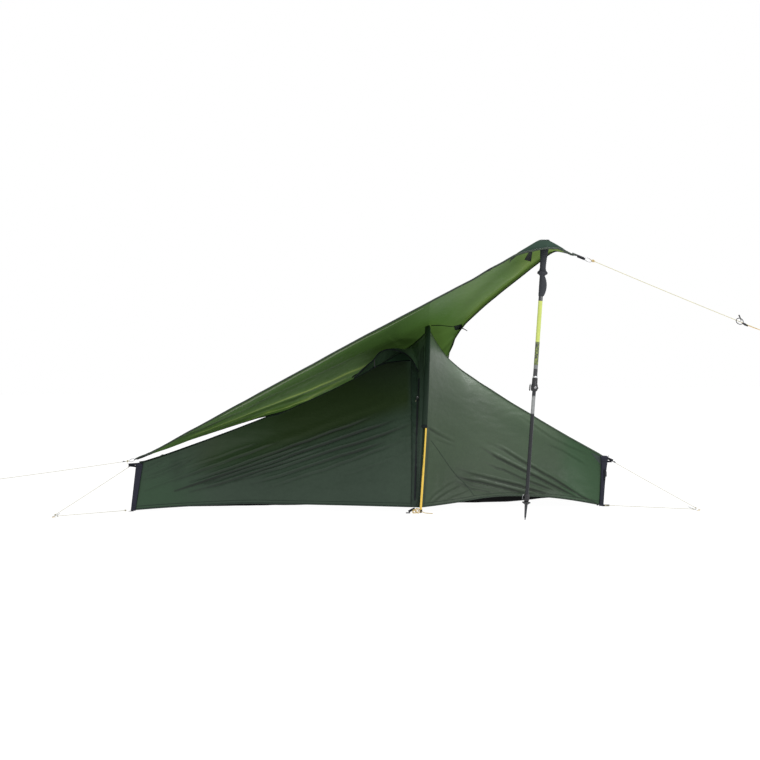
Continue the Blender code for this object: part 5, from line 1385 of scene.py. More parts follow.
def tab(name, a, b, width, mat=None, thick=0.0022, side=(0, 1, 0), sag=0.0, n=14):
    a, b = np.array(a), np.array(b)
    pts = [a * (1 - t) + b * t - np.array((0, 0, sag * 4 * t * (1 - t))) for t in np.linspace(0, 1, n)]
    return put(ribbon(name, pts, side, width, thick, mat or M_WEB), "tent")


# tie-outs at the corners: webbing tabs, the upper ones with a folded second layer; ring_piece draws the tarp's rings
# further on
def ring_piece(name, centre, u, v, a, b, r, mat=M_STEEL, replaces=(), n=40):
    pts = [np.array(centre) + np.array(u) * a * math.cos(2 * math.pi * q / n) + np.array(v) * b * math.sin(2 * math.pi * q / n) for q in range(n)]
    return put(tube_piece(name, pts, r, mat, 12, closed=True), "tent", replaces)


tab("tieout_foot_top", at_px(137.5, 463.9, -0.470), at_px(128.5, 464.6, -0.474), 0.012, side=(0, 0.35, 1.0), thick=0.0030)
tab("tieout_foot_top_fold", at_px(137.0, 466.5, -0.470), at_px(129.6, 465.6, -0.472), 0.010, side=(0, 0.35, 1.0), thick=0.0030)
tab("tieout_foot_low", at_px(133.5, 511.0, -0.474), at_px(125.8, 512.9, -0.477), 0.010, side=(0, 0.35, 1.0), thick=0.0030)
tab("tieout_head_top", at_px(606.0, 457.6, -0.470), at_px(613.0, 460.6, -0.472), 0.013, side=(0, 0.35, 1.0), thick=0.0030)
tab("tieout_head_top_fold", at_px(606.5, 461.6, -0.470), at_px(611.6, 461.4, -0.471), 0.010, side=(0, 0.35, 1.0), thick=0.0030)
tab("tieout_head_low", at_px(602.0, 505.4, -0.474), at_px(609.4, 505.4, -0.477), 0.010, side=(0, 0.35, 1.0), thick=0.0030)
for nm, lo, hi, sx in (("foot", FOOT_FAR_LOW, FOOT_FAR_TOP, -1), ("head", HEAD_FAR_LOW, HEAD_FAR_TOP, 1)):
    tab(f"tieout_{nm}_far", arr(hi) + np.array((0.004 * sx, 0.002, -0.010)), arr((-1.300, 0.190, 0.235)) if sx < 0 else arr((1.205, 0.190, 0.232)), 0.012)
# the buckle that tightens the head strut sleeve
bk = box_piece("head_strut_buckle", (0.0135, 0.006, 0.028), at_px(605.4, 474.0, -0.480), M_BLACK, None, 0.0018)
put(bk, "tent")
put(ribbon("head_strut_buckle_tape", [at_px(604.6, y, -0.4835) for y in np.linspace(469.5, 480.5, 14)], FX, 0.0075, 0.0016, M_WEB), "tent")

# reinforcement patch at the upper corner of the head wall
def patch(name, tree, quad, mat, nu=26, nv=20, lift=0.0012, attrs=None, round_=0.0):
    """A sewn-on patch between four picture corners, following the cloth under it."""
    a, b, c, d = [np.array(q, dtype=float) for q in quad]
    G_ = np.zeros((nu, nv, 3))
    for i in range(nu):
        u = i / (nu - 1)
        for j in range(nv):
            v = j / (nv - 1)
            q = (a * (1 - u) + b * u) * (1 - v) + (d * (1 - u) + c * u) * v
            p, nr = on(tree, q[0], q[1])
            edge = min(u, 1 - u, v, 1 - v)
            G_[i, j] = p + nr * (lift * min(1.0, 0.25 + edge * 14))
    ob = grid_piece(name, G_, mat, attrs=attrs or {"tint": np.zeros((nu, nv))})
    return put(ob, "tent")


patch("corner_patch_head", T_HEAD, [(590.8, 452.6), (601.6, 466.0), (602.2, 459.0), (601.6, 456.6)], M_CORNERP)

# ==================================================================================
# Hoop: gold tube where it is bare, sleeve above, the fly's seams along it
# ==================================================================================
def sheath(name, th0, th1, n, rad_x, rad_n, mat, grow=0.0, sec=18, seed=0.0, node=(), flange=0.0, dx=0.0):
    cl = np.array(hoop_arc(th0, th1, n, grow, dx))
    verts, uv, s = [], [], 0.0
    for q in range(n):
        t = unit(cl[min(q + 1, n - 1)] - cl[max(q - 1, 0)])
        a = unit(np.array((1.0, 0, 0)) - t * t[0])
        b = np.cross(t, a)
        if q:
            s += np.linalg.norm(cl[q] - cl[q - 1])
        wob = 1 + 0.030 * math.sin(s * 31 + seed) + 0.018 * math.sin(s * 97 + seed * 2)
        fin = 1.0 - 0.25 * max(0.0, 1 - min(q, n - 1 - q) / 2.0)
        for m in range(sec):
            w = 2 * math.pi * m / sec
            rx = rad_x * (0.45 if math.cos(w) > 0 else 1.42)
            verts.append(cl[q] + a * rx * math.cos(w) * wob * fin + b * rad_n * math.sin(w) * (2 - wob) * fin)
            uv.append((s, w * rad_x))
    faces = grid_faces(n, sec, closed=True) + [tuple(range(sec)), tuple((n - 1) * sec + m for m in range(sec))[::-1]]
    return put(fix_normals(mesh_piece(name, verts, faces, mat, uv=uv)), "tent", node)


th0 = math.degrees(math.asin(SLEEVE_FROM / HOOP_H))
sheath("hoop_sleeve", th0, 172.0, 260, 0.0150, 0.0098, M_SLEEVE, node=("pole_sleeve",))
# end hem of the sleeve, and the flat strip that joins the two walls behind the tube
sheath("hoop_sleeve_hem", th0 - 0.2, th0 + 1.0, 10, 0.0160, 0.0108, M_BIND)
strip_c = np.array(hoop_arc(1.9, 178.1, 300, EDGE + 0.0012, -0.0042))
strip_c[:, 0] -= 0.0026 + 0.0050 * fade(strip_c[:, 2], 0.80, 0.95)
put(ribbon("hoop_wall_strip", strip_c, FX, 0.0168, 0.0016, M_SLEEVE), "tent")
# ==================================================================================
# Door: placket over the zip, zip tape, teeth, slider, top edge, hood
# ==================================================================================
def band_px(name, tree, left, right, mat, nu=60, nv=9, lift=0.002, bulge=0.0, wave_=0.0):
    """A band of cloth between two lines of the picture, standing off the wall."""
    L_, R_ = smooth_curve(left, nu), smooth_curve(right, nu)
    G_ = np.zeros((nu, nv, 3))
    for i in range(nu):
        for j in range(nv):
            v = j / (nv - 1)
            q = L_[i] * (1 - v) + R_[i] * v
            p, nr = on(tree, q[0], q[1])
            up_ = lift * (0.35 + 0.65 * min(1.0, 6 * min(v, 1 - v))) + bulge * math.sin(math.pi * v)
            up_ += wave_ * (math.sin(i * 0.62 + 5.0 * v) + 0.6 * math.sin(i * 0.31 - 3.4 * v + 1.0)) * math.sin(math.pi * (0.1 + 0.8 * v)) * (0.55 + 0.45 * math.sin(i * 0.17))
            G_[i, j] = p + nr * max(up_, 0.0004)
    ob = grid_piece(name, G_, mat, attrs={"tint": np.zeros((nu, nv))})
    return put(ob, "tent"), G_


band_px("zip_placket", T_DOOR, [(410.2, 506.6), (411.8, 470), (411.4, 440), (411.6, 424), (410.4, 418), (411.4, 410), (410.8, 380), (410.6, 357)],
        [(418.2, 507), (418.3, 470), (418.2, 424), (418.0, 410), (418.2, 372), (417.6, 357)], M_PLACKET, 170, 15, 0.0032, 0.0012, wave_=0.0017)
band_px("zip_side_panel", T_DOOR, [(419.8, 507), (419.7, 470), (419.7, 424), (419.6, 390), (419.6, 352)],
        [(423.6, 507), (424.0, 470), (424.2, 424), (424.0, 390), (424.0, 345)], M_SIDE, 120, 9, 0.0022, 0.0006, wave_=0.0006)
# stitch lines on the placket
for q, xo in enumerate((411.9, 416.9)):
    gp, gn = px_path(T_DOOR, [(xo - 0.6, 506), (xo, 470), (xo, 424), (xo - 0.3, 400), (xo - 0.2, 360)], 220, 0.0042)
    seam(f"placket_stitch_{q}", gp, gn, 0.0030, 0.0006, M_SEAM)

# zip tape with its teeth: the CAD's track stays and takes the black tape finish
zt, zn = px_path(T_DOOR, [(418.6, 506), (418.8, 480), (418.9, 450), (418.9, 420), (418.8, 400), (418.8, 380), (418.7, 368)], 200, 0.0072)


# hood over the vent: a stiff brim, cloth gathered behind it to the ridge
def ridge_at(x):
    return np.array([np.interp(x - ORIGIN[0], ridge_foot[:, 0], ridge_foot[:, q]) for q in range(3)])


def wall_y(x, z):
    """The near wall's y at this x and height, by looking along +Y from in front."""
    hit = T_DOOR.ray_cast(Vector((x - ORIGIN[0], -3.0, z)), Vector((0, 1, 0)))
    if hit[0] is None:
        p, _, _, _ = T_DOOR.find_nearest(Vector((x - ORIGIN[0], -0.2, z)))
        return p.y
    return hit[0].y


brim_xz = [(-0.140, 0.698, 0.010), (-0.068, 0.768, 0.045), (-0.015, 0.816, 0.075), (0.045, 0.836, 0.090),
           (0.100, 0.824, 0.080), (0.150, 0.792, 0.050), (0.188, 0.722, 0.012)]
brim, hood_back = [], []
for x, z, out in brim_xz:
    rp = ridge_at(x)
    wy = wall_y(x, min(z, rp[2] - 0.012))
    brim.append(np.array((x - ORIGIN[0], min(wy, rp[1]) - out, z)))
    hood_back.append(rp + np.array((0.0, 0.004, 0.009)))
HN, HM = 90, 34
brim = smooth_curve(brim, 200)
BRIM_PX = [(354.4, 378.2), (360.0, 372.8), (366.5, 366.6), (373.3, 360.2), (377.5, 354.6), (382.5, 351.0), (389.2, 349.4), (396.7, 350.6),
           (404.2, 353.6), (410.0, 358.0), (414.5, 364.0), (418.0, 371.5)]
bp = smooth_curve(BRIM_PX, HN)
brim2 = []
for x_, y_ in bp:
    d_ = ray(x_, y_)
    yy_ = -0.40
    for _ in range(8):
        t_ = (yy_ - EYE[1]) / d_[1]
        xx_ = (EYE + d_ * t_)[0]
        yy_ = float(np.interp(xx_, brim[:, 0], brim[:, 1]))
    brim2.append(EYE + d_ * t_)
brim = np.array(brim2)
hood_back = np.array([ridge_at(x + ORIGIN[0]) + np.array((0.0, 0.002, 0.0015)) for x in np.linspace(brim[0, 0] - 0.004, brim[-1, 0] + 0.004, HN)])
hood = np.zeros((HN, HM, 3))
for q in range(HN):
    for m in range(HM):
        t = m / (HM - 1)
        s = q / (HN - 1)
        hood[q, m] = hood_back[q] * (1 - t) + brim[q] * t + np.array((0, -0.012 * math.sin(math.pi * t),
                     0.022 * math.sin(math.pi * t) * (0.35 + math.sin(math.pi * s))))
        top = ridge_at(hood[q, m, 0] + ORIGIN[0])
        if hood[q, m, 2] < top[2] - 0.002:
            wy = wall_y(hood[q, m, 0] + ORIGIN[0], hood[q, m, 2])
            hood[q, m, 1] = min(hood[q, m, 1], wy - (0.004 + 0.0110 * s) * min(1.0, t * 5))
        elif t > 0.04:
            hood[q, m, 2] = max(hood[q, m, 2], top[2] + 0.0015)
for _ in range(10):
    hood[1:-1, 1:-1] = 0.5 * hood[1:-1, 1:-1] + 0.125 * (hood[2:, 1:-1] + hood[:-2, 1:-1] + hood[1:-1, 2:] + hood[1:-1, :-2])
HNRM = normals_of(hood, (0, -0.4, 1))
hh = np.zeros((HN, HM))
us, vs = np.linspace(0, 1, HN)[:, None], np.linspace(0, 1, HM)[None, :]
for c, w, a in ((0.12, 0.03, 0.002), (0.26, 0.035, -0.002), (0.40, 0.03, 0.0022), (0.52, 0.04, -0.0024), (0.66, 0.03, 0.002), (0.80, 0.035, -0.0022), (0.90, 0.02, 0.0016)):
    hh = hh + a * np.exp(-((us - c - 0.05 * (vs - 0.5)) / w) ** 2) * fade(vs, 1.0, 0.7) * fade(vs, 0.0, 0.15)
hood = hood + HNRM * (hh + 0.0006 * ripples(hood, 0.03, 4.0))[..., None] * edge_mask(HN, HM, 0.03, 0.03, 0.10, 0.06)[..., None]
# lift brightens the hood's head end as painted light; tint darkens the whole hood evenly
put(grid_piece("vent_hood_cloth", hood, M_HOOD, attrs={"tint": np.full((HN, HM), 0.15), "lift": 0.45 * fade(pix(hood)[..., 0], 403, 412)}), "tent", ("vent_hood",))
BR = hood[:, -1]
put(tube_piece("vent_hood_brim", dense(BR, 0.004), 0.0030, M_BIND, 10), "tent")
inw = hood[:, -4] - hood[:, -1]
tape("vent_hood_facing", BR, inw, 0.008, M_FLY_DARK, 0.0020, 0.0)
seam("vent_hood_base_seam", dense(hood[:, 0]), along_norm(dense(hood[:, 0]), hood[:, 0], HNRM[:, 2]), 0.008, 0.0016, M_SEAM)

# top edge of the door inside the vent, and its stay tape
gp, gn = px_path(T_DOOR, [(352, 378), (356.7, 374.4), (373, 367.9), (381, 365), (390, 362.7), (401.7, 361.2), (410.2, 360.8)], 110, 0.0014)
seam("door_top_edge", gp, gn, 0.0075, 0.0020, M_BIND)
gp, gn = px_path(T_DOOR, [(384.8, 361.9), (391, 357.4), (397.5, 352.6)], 40, 0.0010)
seam("vent_stay", gp, gn, 0.0050, 0.0014, M_SEAM)

# ==================================================================================
# Tarp
# ==================================================================================
near_h = arr((hoop_x(-0.1, 0.97) - 0.030, -0.940, 1.0570))
over = [hoop_point(math.radians(t), 0.028) for t in np.linspace(88, 136, 7)]
reach = smooth_curve([near_h, arr((hoop_x(-0.5, 0.97) - 0.008, -0.520, 1.026)), over[0]], 5)
drop = line(over[-1], arr(TARP_BACK), 3)
station = np.array(list(reach) + list(over[1:]) + list(drop[1:]))
TN = len(station)
foot_edge = np.array(line(arr((-1.286, -0.515, 0.2775)), arr((-1.280, -0.485, 0.2735)), TN))
TF = 13
near_foot = smooth_curve([foot_edge[0], near_h], TF)
near_foot[1:-1, 2] -= 0.006 * np.sin(np.linspace(0, math.pi, TF)[1:-1])
far_foot = smooth_curve([foot_edge[-1]] + [arr(p) for p in (
    (-1.221, -0.430, 0.3090), (-1.051, -0.340, 0.3670), (-0.769, -0.210, 0.4490), (-0.580, -0.110, 0.496),
    (-0.380, 0.040, 0.573), (-0.180, 0.230, 0.636), (0.000, 0.400, 0.600), (0.130, 0.480, 0.500))]
    + [arr(TARP_BACK)], TF)
tf = stretch(coons(near_foot, far_foot, foot_edge, station))

head_edge = np.array(line(arr((0.950, -1.002, 1.2705)), arr((0.954, -0.968, 1.2690)), TN))
TH = 17
spread = np.concatenate([np.linspace(0.0, 0.62, 8), np.linspace(0.62, 1.0, TH - 7)[1:]])
near_head = resample(smooth_curve([near_h] + [arr(p) for p in (
    (0.400, -0.985, 1.138), (0.5555, -1.035, 1.219), (0.689, -1.085, 1.270), (0.754, -1.103, 1.283),
    (0.793, -1.110, 1.289), (0.830, -1.100, 1.289), (0.900, -1.050, 1.284))] + [head_edge[0]], 80), TH, spread)
far_head = resample(smooth_curve([arr(TARP_BACK)] + [arr(p) for p in (
    (0.345, 0.360, 0.640), (0.392, 0.215, 0.760), (0.400, 0.120, 0.820), (0.403, 0.020, 0.856), (0.414, -0.080, 0.890),
    (0.4495, -0.250, 0.962), (0.4855, -0.380, 1.004), (0.5864, -0.530, 1.086), (0.663, -0.650, 1.143),
    (0.788, -0.820, 1.2425), (0.830, -0.860, 1.278), (0.868, -0.885, 1.296), (0.915, -0.920, 1.288))]
    + [head_edge[-1]], 120), TH, spread)
th = stretch(coons(near_head, far_head, station, head_edge))

# foot panel
NFU, NFV = 290, 200
G = refine(tf, NFU, NFV)
NEAR_PX = [(130, 462.0), (138, 458.2), (148, 453.7), (158, 448.2), (168, 442.8), (178, 437.0), (188, 431.3), (198, 426.1), (208, 420.7), (218, 415.1), (228, 409.6), (238, 404.1), (248, 398.9),
           (258, 393.2), (268, 387.9), (278, 382.4), (288, 376.9), (298, 371.4), (313, 363.5), (331, 353.6), (349, 343.9), (367, 334.1), (385, 324.8), (403, 315.3), (421, 305.8), (430, 300.9),
           (442, 294.6), (448, 291.4), (454, 288.2), (460, 285.1), (466, 282.1), (472, 279.1), (478, 275.6), (484, 271.7), (490, 268.1), (496, 265.0), (502, 261.9), (508, 258.5), (514, 255.2),
           (520.7, 252.9), (530, 250.9), (537.1, 249.2), (547.1, 247.9), (557.9, 247.9), (567.1, 251.6), (574, 253.9), (582, 257)]
FOOT_LOW_PX = [(130, 463.0), (138, 459.6), (148, 454.4), (158, 450.4), (168, 447.2), (178, 443.8), (188, 440.5), (198, 437.2), (208, 434.0), (218, 430.7), (228, 427.4), (238, 424.2), (248, 421.1),
               (258, 418.0), (268, 415.7), (280, 412.7), (294, 408.2), (307, 401.0)]
NEAR_PX = [(x_, y_ + 0.62 + 0.3 * math.exp(-((x_ - 440) / 25.0) ** 2) + 0.25 * math.exp(-((x_ - 305) / 25.0) ** 2)) for x_, y_ in NEAR_PX]
G = to_pixels(G, 0, NEAR_PX, 150, 1000, 0.14)
G = to_pixels(G, -1, FOOT_LOW_PX, 150, 290, 0.30)
N = normals_of(G, (0, 0, 1))
P = pix(G)
u, v = np.linspace(0, 1, NFU)[:, None] + np.zeros((1, NFV)), np.linspace(0, 1, NFV)[None, :] + np.zeros((NFU, 1))
h = np.zeros((NFU, NFV))
under = fade(v, 0.62, 0.45)            # the folds placed by picture are on the part seen from the door side
TARP_LINES = [
    [(178, 440, 6), (190, 434, 18.3), (203, 429, 24), (216, 423, 25.4), (229, 417, 24), (242, 412, 10.5), (255, 405, 12.8), (268, 398, 12.4), (281, 392, 8.9), (294, 386, 6), (307, 380, 7.8),
     (320, 374, 6), (333, 368, 6.3), (346, 362, 5.4), (359, 355, 6.2), (372, 349, 7.5), (385, 343, 6.5), (398, 337, 2.4)],
    [(190, 439, 6), (203, 434, 13.2), (216, 429, 13.5), (229, 425, 16.2), (242, 420, 18), (255, 414, 15.6), (268, 409, 15.7), (281, 404, 14.8), (294, 400, 24.6), (307, 393, 16.6), (320, 388, 11.5),
     (333, 383, 9.8), (346, 377, 5.9)],
    [(281, 396, 6), (294, 390, 4.4), (307, 384.5, 3), (320, 378, 2)],
    [(385, 352, 5), (398, 346.5, 3), (411, 342, 3.9)],
]
TARP_LIT = [
    [(190, 437, 3.6), (203, 432, 13.2), (216, 427, 13.5), (229, 422, 16.2), (242, 417, 18), (255, 411, 15.6), (268, 406, 15.7), (281, 401, 20), (294, 396, 24.6), (307, 391, 21.7), (320, 385, 24.3),
     (333, 380, 20.1), (346, 374, 21.9), (359, 369, 19.6), (370, 364, 8)],
    [(242, 424, 5), (255, 417.6, 7.4), (268, 412, 17.6), (281, 409, 14.8), (294, 404, 25.1), (307, 399, 18), (320, 392, 11.5), (333, 386, 9.8), (346, 379, 5.9)],
]
for ln_ in TARP_LINES:
    h += crease(P, [(q[0], q[1] - 0.8) for q in ln_], 1.9, -0.00022 * float(np.mean([q[2] for q in ln_])) - 0.0006) * under
under_c = np.ones((NFU, NFV))
h += (crease(P, [(385, 335), (400, 345), (418, 352)], 3.0, -0.0030) + crease(P, [(300, 371), (345, 352), (385, 333)], 5.0, 0.0016)) * under
for c0, c1, w, a in ((0.30, 0.16, 0.030, 0.004), (0.52, 0.34, 0.035, -0.005), (0.70, 0.60, 0.04, 0.005), (0.86, 0.80, 0.035, -0.005), (0.93, 0.90, 0.02, 0.004)):
    # long pulls from the foot corner towards the back of the hoop
    x = (v - (c1 + (c0 - c1) * u)) / w
    h += a * np.exp(-x * x) * fade(u, 0.05, 0.4) * fade(v, 0.45, 0.6)
h += 0.0016 * ripples(G, 0.20, 1.3, (0.45, 1.2, 1.2)) + 0.0005 * ripples(G, 0.05, 6.6)
h *= edge_mask(NFU, NFV, 0.03, 0.02, 0.03, 0.03, (0.1, 0.0, 0.2, 0.2))
G_TF = G + N * h[..., None]
def below_line(P_, pts, soft):
    """1 under the line in the picture, 0 over it."""
    xs, ys = [q[0] for q in pts], [q[1] for q in pts]
    return fade(P_[..., 1] - np.interp(P_[..., 0], xs, ys), 0.0, soft)


# Painted light and shade on the foot panel's underside: f_tint is a painted grey sheen under the near edge; f_lite is
# painted light under the near edge, more so towards the foot end; f_glow brightens the light passing through in thin
# streaks, as painted highlights; f_shade is painted shade along the creases, in a band below the near edge and over the
# part towards the hoop.
edge_px = P[..., 1] - np.interp(P[..., 0], [q[0] for q in NEAR_PX], [q[1] for q in NEAR_PX])
deep_px = np.interp(P[..., 0], [180, 242, 268, 294, 333, 372, 398, 420], [4.0, 10.6, 11.5, 13.5, 16.0, 18.0, 19.0, 22.0])
f_edge = fade(edge_px / deep_px, 1.0, 0.12)
mid_zone = fade(edge_px, 4.0, 7.0) * (1.0 - below_line(P, [(q[0], q[1] - 4.0) for q in TARP_LIT[0]], 3.0)) * fade(P[..., 0], 238, 262)
f_lite = 0.10 * f_edge ** 1.5 * fade(P[..., 0], 425, 380) + 0.22 * fade(P[..., 0], 250, 215) * fade(edge_px, 9.0, 3.0)
f_glow = dark_lines(P, TARP_LIT, 0.8, 0.028) + dark_lines(P, TARP_LIT, 3.0, 0.002)
f_tint = 0.30 * f_edge
deep_line = [(372, 349), (385, 342), (398, 335), (411, 327), (425, 320)]
f_shade = 0.22 * mid_zone * fade(P[..., 0], 408, 392) + 0.18 * below_line(P, deep_line, 7.0) * fade(P[..., 0], 392, 406) + dark_lines(P, TARP_LINES, 1.15, 0.026) + 0.20 * fade(P[..., 0], 300, 340) * fade(P[..., 0], 425, 405) + 0.34 * below_line(P, TARP_LINES[0], 3.0) * fade(P[..., 0], 350, 374) \
    + 0.16 * np.exp(-((P[..., 1] - np.interp(P[..., 0], [q[0] for q in TARP_LINES[0]], [q[1] for q in TARP_LINES[0]])) / 6.0) ** 2)
f_edge_px = edge_px
tarp_f = grid_piece("tarp_foot_cloth", G_TF, M_TARP, attrs={"tint": np.clip(0.06 + f_tint * under_c, 0, 1), "glow": np.clip(f_glow * under_c, 0, 1),
                                                            "lite": np.clip(f_lite * under_c, 0, 1), "shade": np.clip(f_shade * under_c, 0, 0.9)})
put(tarp_f, "tent", ("tarp_foot_panel",))
N_TF = normals_of(G_TF, (0, 0, 1))

# head panel with its peak over the walking pole
NHU, NHV = 280, 130
G = refine(th, NHU, NHV)
r = np.hypot(G[..., 0] - (APEX[0] - ORIGIN[0]), G[..., 1] - (APEX[1] - ORIGIN[1]))
cone = APEX[2] + 0.0005 - 0.57 * (np.sqrt(r * r + 0.022 ** 2) - 0.022)
kk = 0.008
zz = G[..., 2]
lifted = 0.5 * (zz + cone + np.sqrt((zz - cone) ** 2 + kk * kk)) - 0.5 * kk * np.exp(-((zz - cone) / kk) ** 2)
wgt = fade(r, 0.25, 0.16)
v_c = np.linspace(0, 1, NHV)[None, :] + np.zeros((NHU, 1))
emask = fade(v_c, 0.0, 0.03) * (1 - fade(v_c, 0.80, 1.0) * 0.999)
emask = emask * (1 - fade(np.linspace(0, 1, NHU)[:, None] + 0 * v_c, 0.93, 1.0))
G[..., 2] = zz + (np.maximum(lifted, zz) - zz) * wgt * emask
FAR_PX = [(440, 372), (447, 356), (454, 339.0), (460, 329.3), (466, 322.0), (472, 316.4), (478, 310.9), (484, 305.6), (490, 300.6), (496, 295.8), (502, 290.8), (508, 286.1), (514, 281.4),
          (520, 276.7), (526, 271.9), (532, 267.1), (538, 262.6), (544, 257.8), (550, 253.1), (556, 250.1), (562, 251.1), (568, 252.6), (574, 254.0), (582, 257.4)]
G = to_pixels(G, 0, NEAR_PX, -1000, 572, 0.12)
FAR_PX = [(x_, y_ + 0.75 + 0.4 * float(fade(x_, 490, 472))) for x_, y_ in FAR_PX]
G = to_pixels(G, -1, FAR_PX, 458, 572, 0.42)
pa_ = pix(G)
lift_px = np.interp(pa_[..., 0], [512, 520, 526, 532, 538, 544, 550, 556, 562, 568, 574, 580], [0, 1.0, 1.0, 1.3, 1.5, 0.7, 0.7, 0.3, 0.0, -0.8, -0.4, 0.0])
G[..., 2] += lift_px * 0.0047 * fade(v_c, 0.02, 0.10) * fade(v_c, 0.72, 0.45) * fade(r, 0.26, 0.18)
pa_ = pix(G)
over_ = pa_[..., 1] - np.interp(pa_[..., 0], [q[0] for q in FAR_PX], [q[1] for q in FAR_PX]) + 13.0 * (1.0 - v_c) * fade(pa_[..., 0], 557, 543) + 0.3
over_[:, -1] = 0.0
G[..., 2] += np.clip(over_, 0, None) * fade(pa_[..., 0], 450, 458) * fade(pa_[..., 0], 580, 572) * (G[..., 1] - EYE[1]) / FOCAL * fade(v_c, 0.30, 0.50)

N = normals_of(G, (0, 0, 1))
P = pix(G)
u, v = np.linspace(0, 1, NHU)[:, None] + np.zeros((1, NHV)), np.linspace(0, 1, NHV)[None, :] + np.zeros((NHU, 1))
h = np.zeros((NHU, NHV))
under = fade(v, 0.70, 0.5)
for pts, w, a in (([(428, 322), (455, 296), (490, 272), (518, 258)], 3.0, 0.0050),
                  ([(430, 334), (462, 302), (500, 276), (530, 258)], 3.0, -0.0036),
                  ([(436, 340), (470, 308), (508, 280), (538, 257)], 2.6, 0.0034),
                  ([(420, 318), (450, 290), (480, 275)], 2.2, -0.0024),
                  ([(452, 328), (485, 300), (515, 278), (540, 259)], 2.0, 0.0024)):
    h += crease(P, pts, w, -a * 0.35) * under
ang = np.arctan2(G[..., 1] - (APEX[1] - ORIGIN[1]), G[..., 0] - (APEX[0] - ORIGIN[0]))
# pleats that fan out from the peak
h += 0.0016 * np.sin(ang * 7 + 0.6) * fade(r, 0.03, 0.09) * fade(r, 0.34, 0.12)
h += 0.0006 * np.sin(ang * 13 + 1.9) * fade(r, 0.05, 0.10) * fade(r, 0.24, 0.12)
for c0, c1, w, a in ((0.66, 0.55, 0.035, -0.005), (0.80, 0.74, 0.03, 0.005), (0.92, 0.90, 0.03, -0.004)):
    x = (v - (c1 + (c0 - c1) * u)) / w
    h += a * np.exp(-x * x) * fade(u, 1.0, 0.6) * fade(v, 0.5, 0.65)
h += 0.0014 * ripples(G, 0.18, 9.3, (0.8, 1.2, 1.2)) + 0.0005 * ripples(G, 0.045, 2.6) * fade(r, 0.10, 0.25)
h *= edge_mask(NHU, NHV, 0.02, 0.03, 0.03, 0.03, (0.0, 0.1, 0.2, 0.2)) * fade(r, 0.008, 0.05)
G_TH = G + N * h[..., None]
edge_px = P[..., 1] - np.interp(P[..., 0], [q[0] for q in NEAR_PX], [q[1] for q in NEAR_PX])
far_px = np.interp(P[..., 0], [q[0] for q in FAR_PX], [q[1] for q in FAR_PX]) - P[..., 1]
r_, va_ = r, float(np.linspace(0, 1, NHV)[int(np.argmin(r.min(axis=0)))])
# Painted light and shade on the head panel: outer marks the near side of the peak's outer face, darkened as painted
# shade; grey_band is a painted grey sheen below the near edge; h_lit is painted light and sheen along the far edge,
# over the middle and below the near edge; h_glow brightens the light passing through; h_shade is painted shade beside
# the hoop and in a band below the near edge.
outer = fade(r_, 0.150, 0.110) * fade(v, va_ + 0.08, va_) * fade(P[..., 0], 514, 522)
grey_band = fade(edge_px, 22.0, 3.0) * fade(P[..., 0], 500, 465) * fade(P[..., 0], 418, 432) * under
h_wide = fade(P[..., 0], 440, 475) * (1 - fade(P[..., 0], 505, 518) * fade(edge_px, 12.0, 7.0))
h_lit = (0.95 * np.exp(-((far_px - 1.8) / 2.2) ** 2) * fade(P[..., 0], 440, 453) * fade(P[..., 0], 552, 540) + 0.38 * h_wide + 0.12 * fade(P[..., 0], 428, 444) + 0.34 * np.exp(-((far_px - 3.0) / 5.0) ** 2) * fade(P[..., 0], 430, 455) + 0.12 * fade(P[..., 0], 425, 436) + 0.75 * grey_band ** 1.4 + 0.34 * fade(edge_px, 12.0, 2.0) * fade(P[..., 0], 462, 480) * fade(P[..., 0], 520, 500)) * under
h_glow = 0.08 * h_wide * under * (1 - outer) + 0.20 * np.exp(-((far_px - 3.0) / 5.0) ** 2) * fade(P[..., 0], 455, 478) + 0.05 * fade(P[..., 1], 318, 330) + 0.27 * fade(P[..., 0], 500, 535) * under * (1 - outer)
h_shade = 0.16 * fade(P[..., 0], 446, 436) * fade(P[..., 1], 320, 330) + 0.16 * np.exp(-((edge_px - np.interp(P[..., 0], [460, 480, 500, 520], [24, 17, 10, 6])) / 5.0) ** 2) * fade(P[..., 0], 452, 470) \
    + 0.70 * outer
tarp_h = grid_piece("tarp_head_cloth", G_TH, M_TARP, attrs={"tint": np.clip(0.05 + 0.8 * grey_band, 0, 1), "glow": np.clip(h_glow, 0, 1),
                                                            "lite": np.clip(h_lit, 0, 1), "shade": np.clip(h_shade, 0, 0.9)})
put(tarp_h, "tent", ("tarp_head_panel",))
N_TH = normals_of(G_TH, (0, 0, 1))
T_TH, T_TF = tree_of(G_TH), tree_of(G_TF)

# bindings and piping round the tarp's edges
nb = [("tarp_binding_foot_near", G_TF[:, 0], G_TF[:, 2] - G_TF[:, 0]), ("tarp_binding_foot_far", G_TF[:, -1], G_TF[:, -3] - G_TF[:, -1]),
      ("tarp_binding_head_near", G_TH[:, 0], G_TH[:, 2] - G_TH[:, 0]), ("tarp_binding_head_far", G_TH[:, -1], G_TH[:, -3] - G_TH[:, -1])]
M_TBIND = webbing("tarp_edge_binding", (0.050, 0.078, 0.048), 0.55)
M_PIPE = webbing("tarp_edge_piping", (0.0125, 0.0185, 0.0140), 0.55)
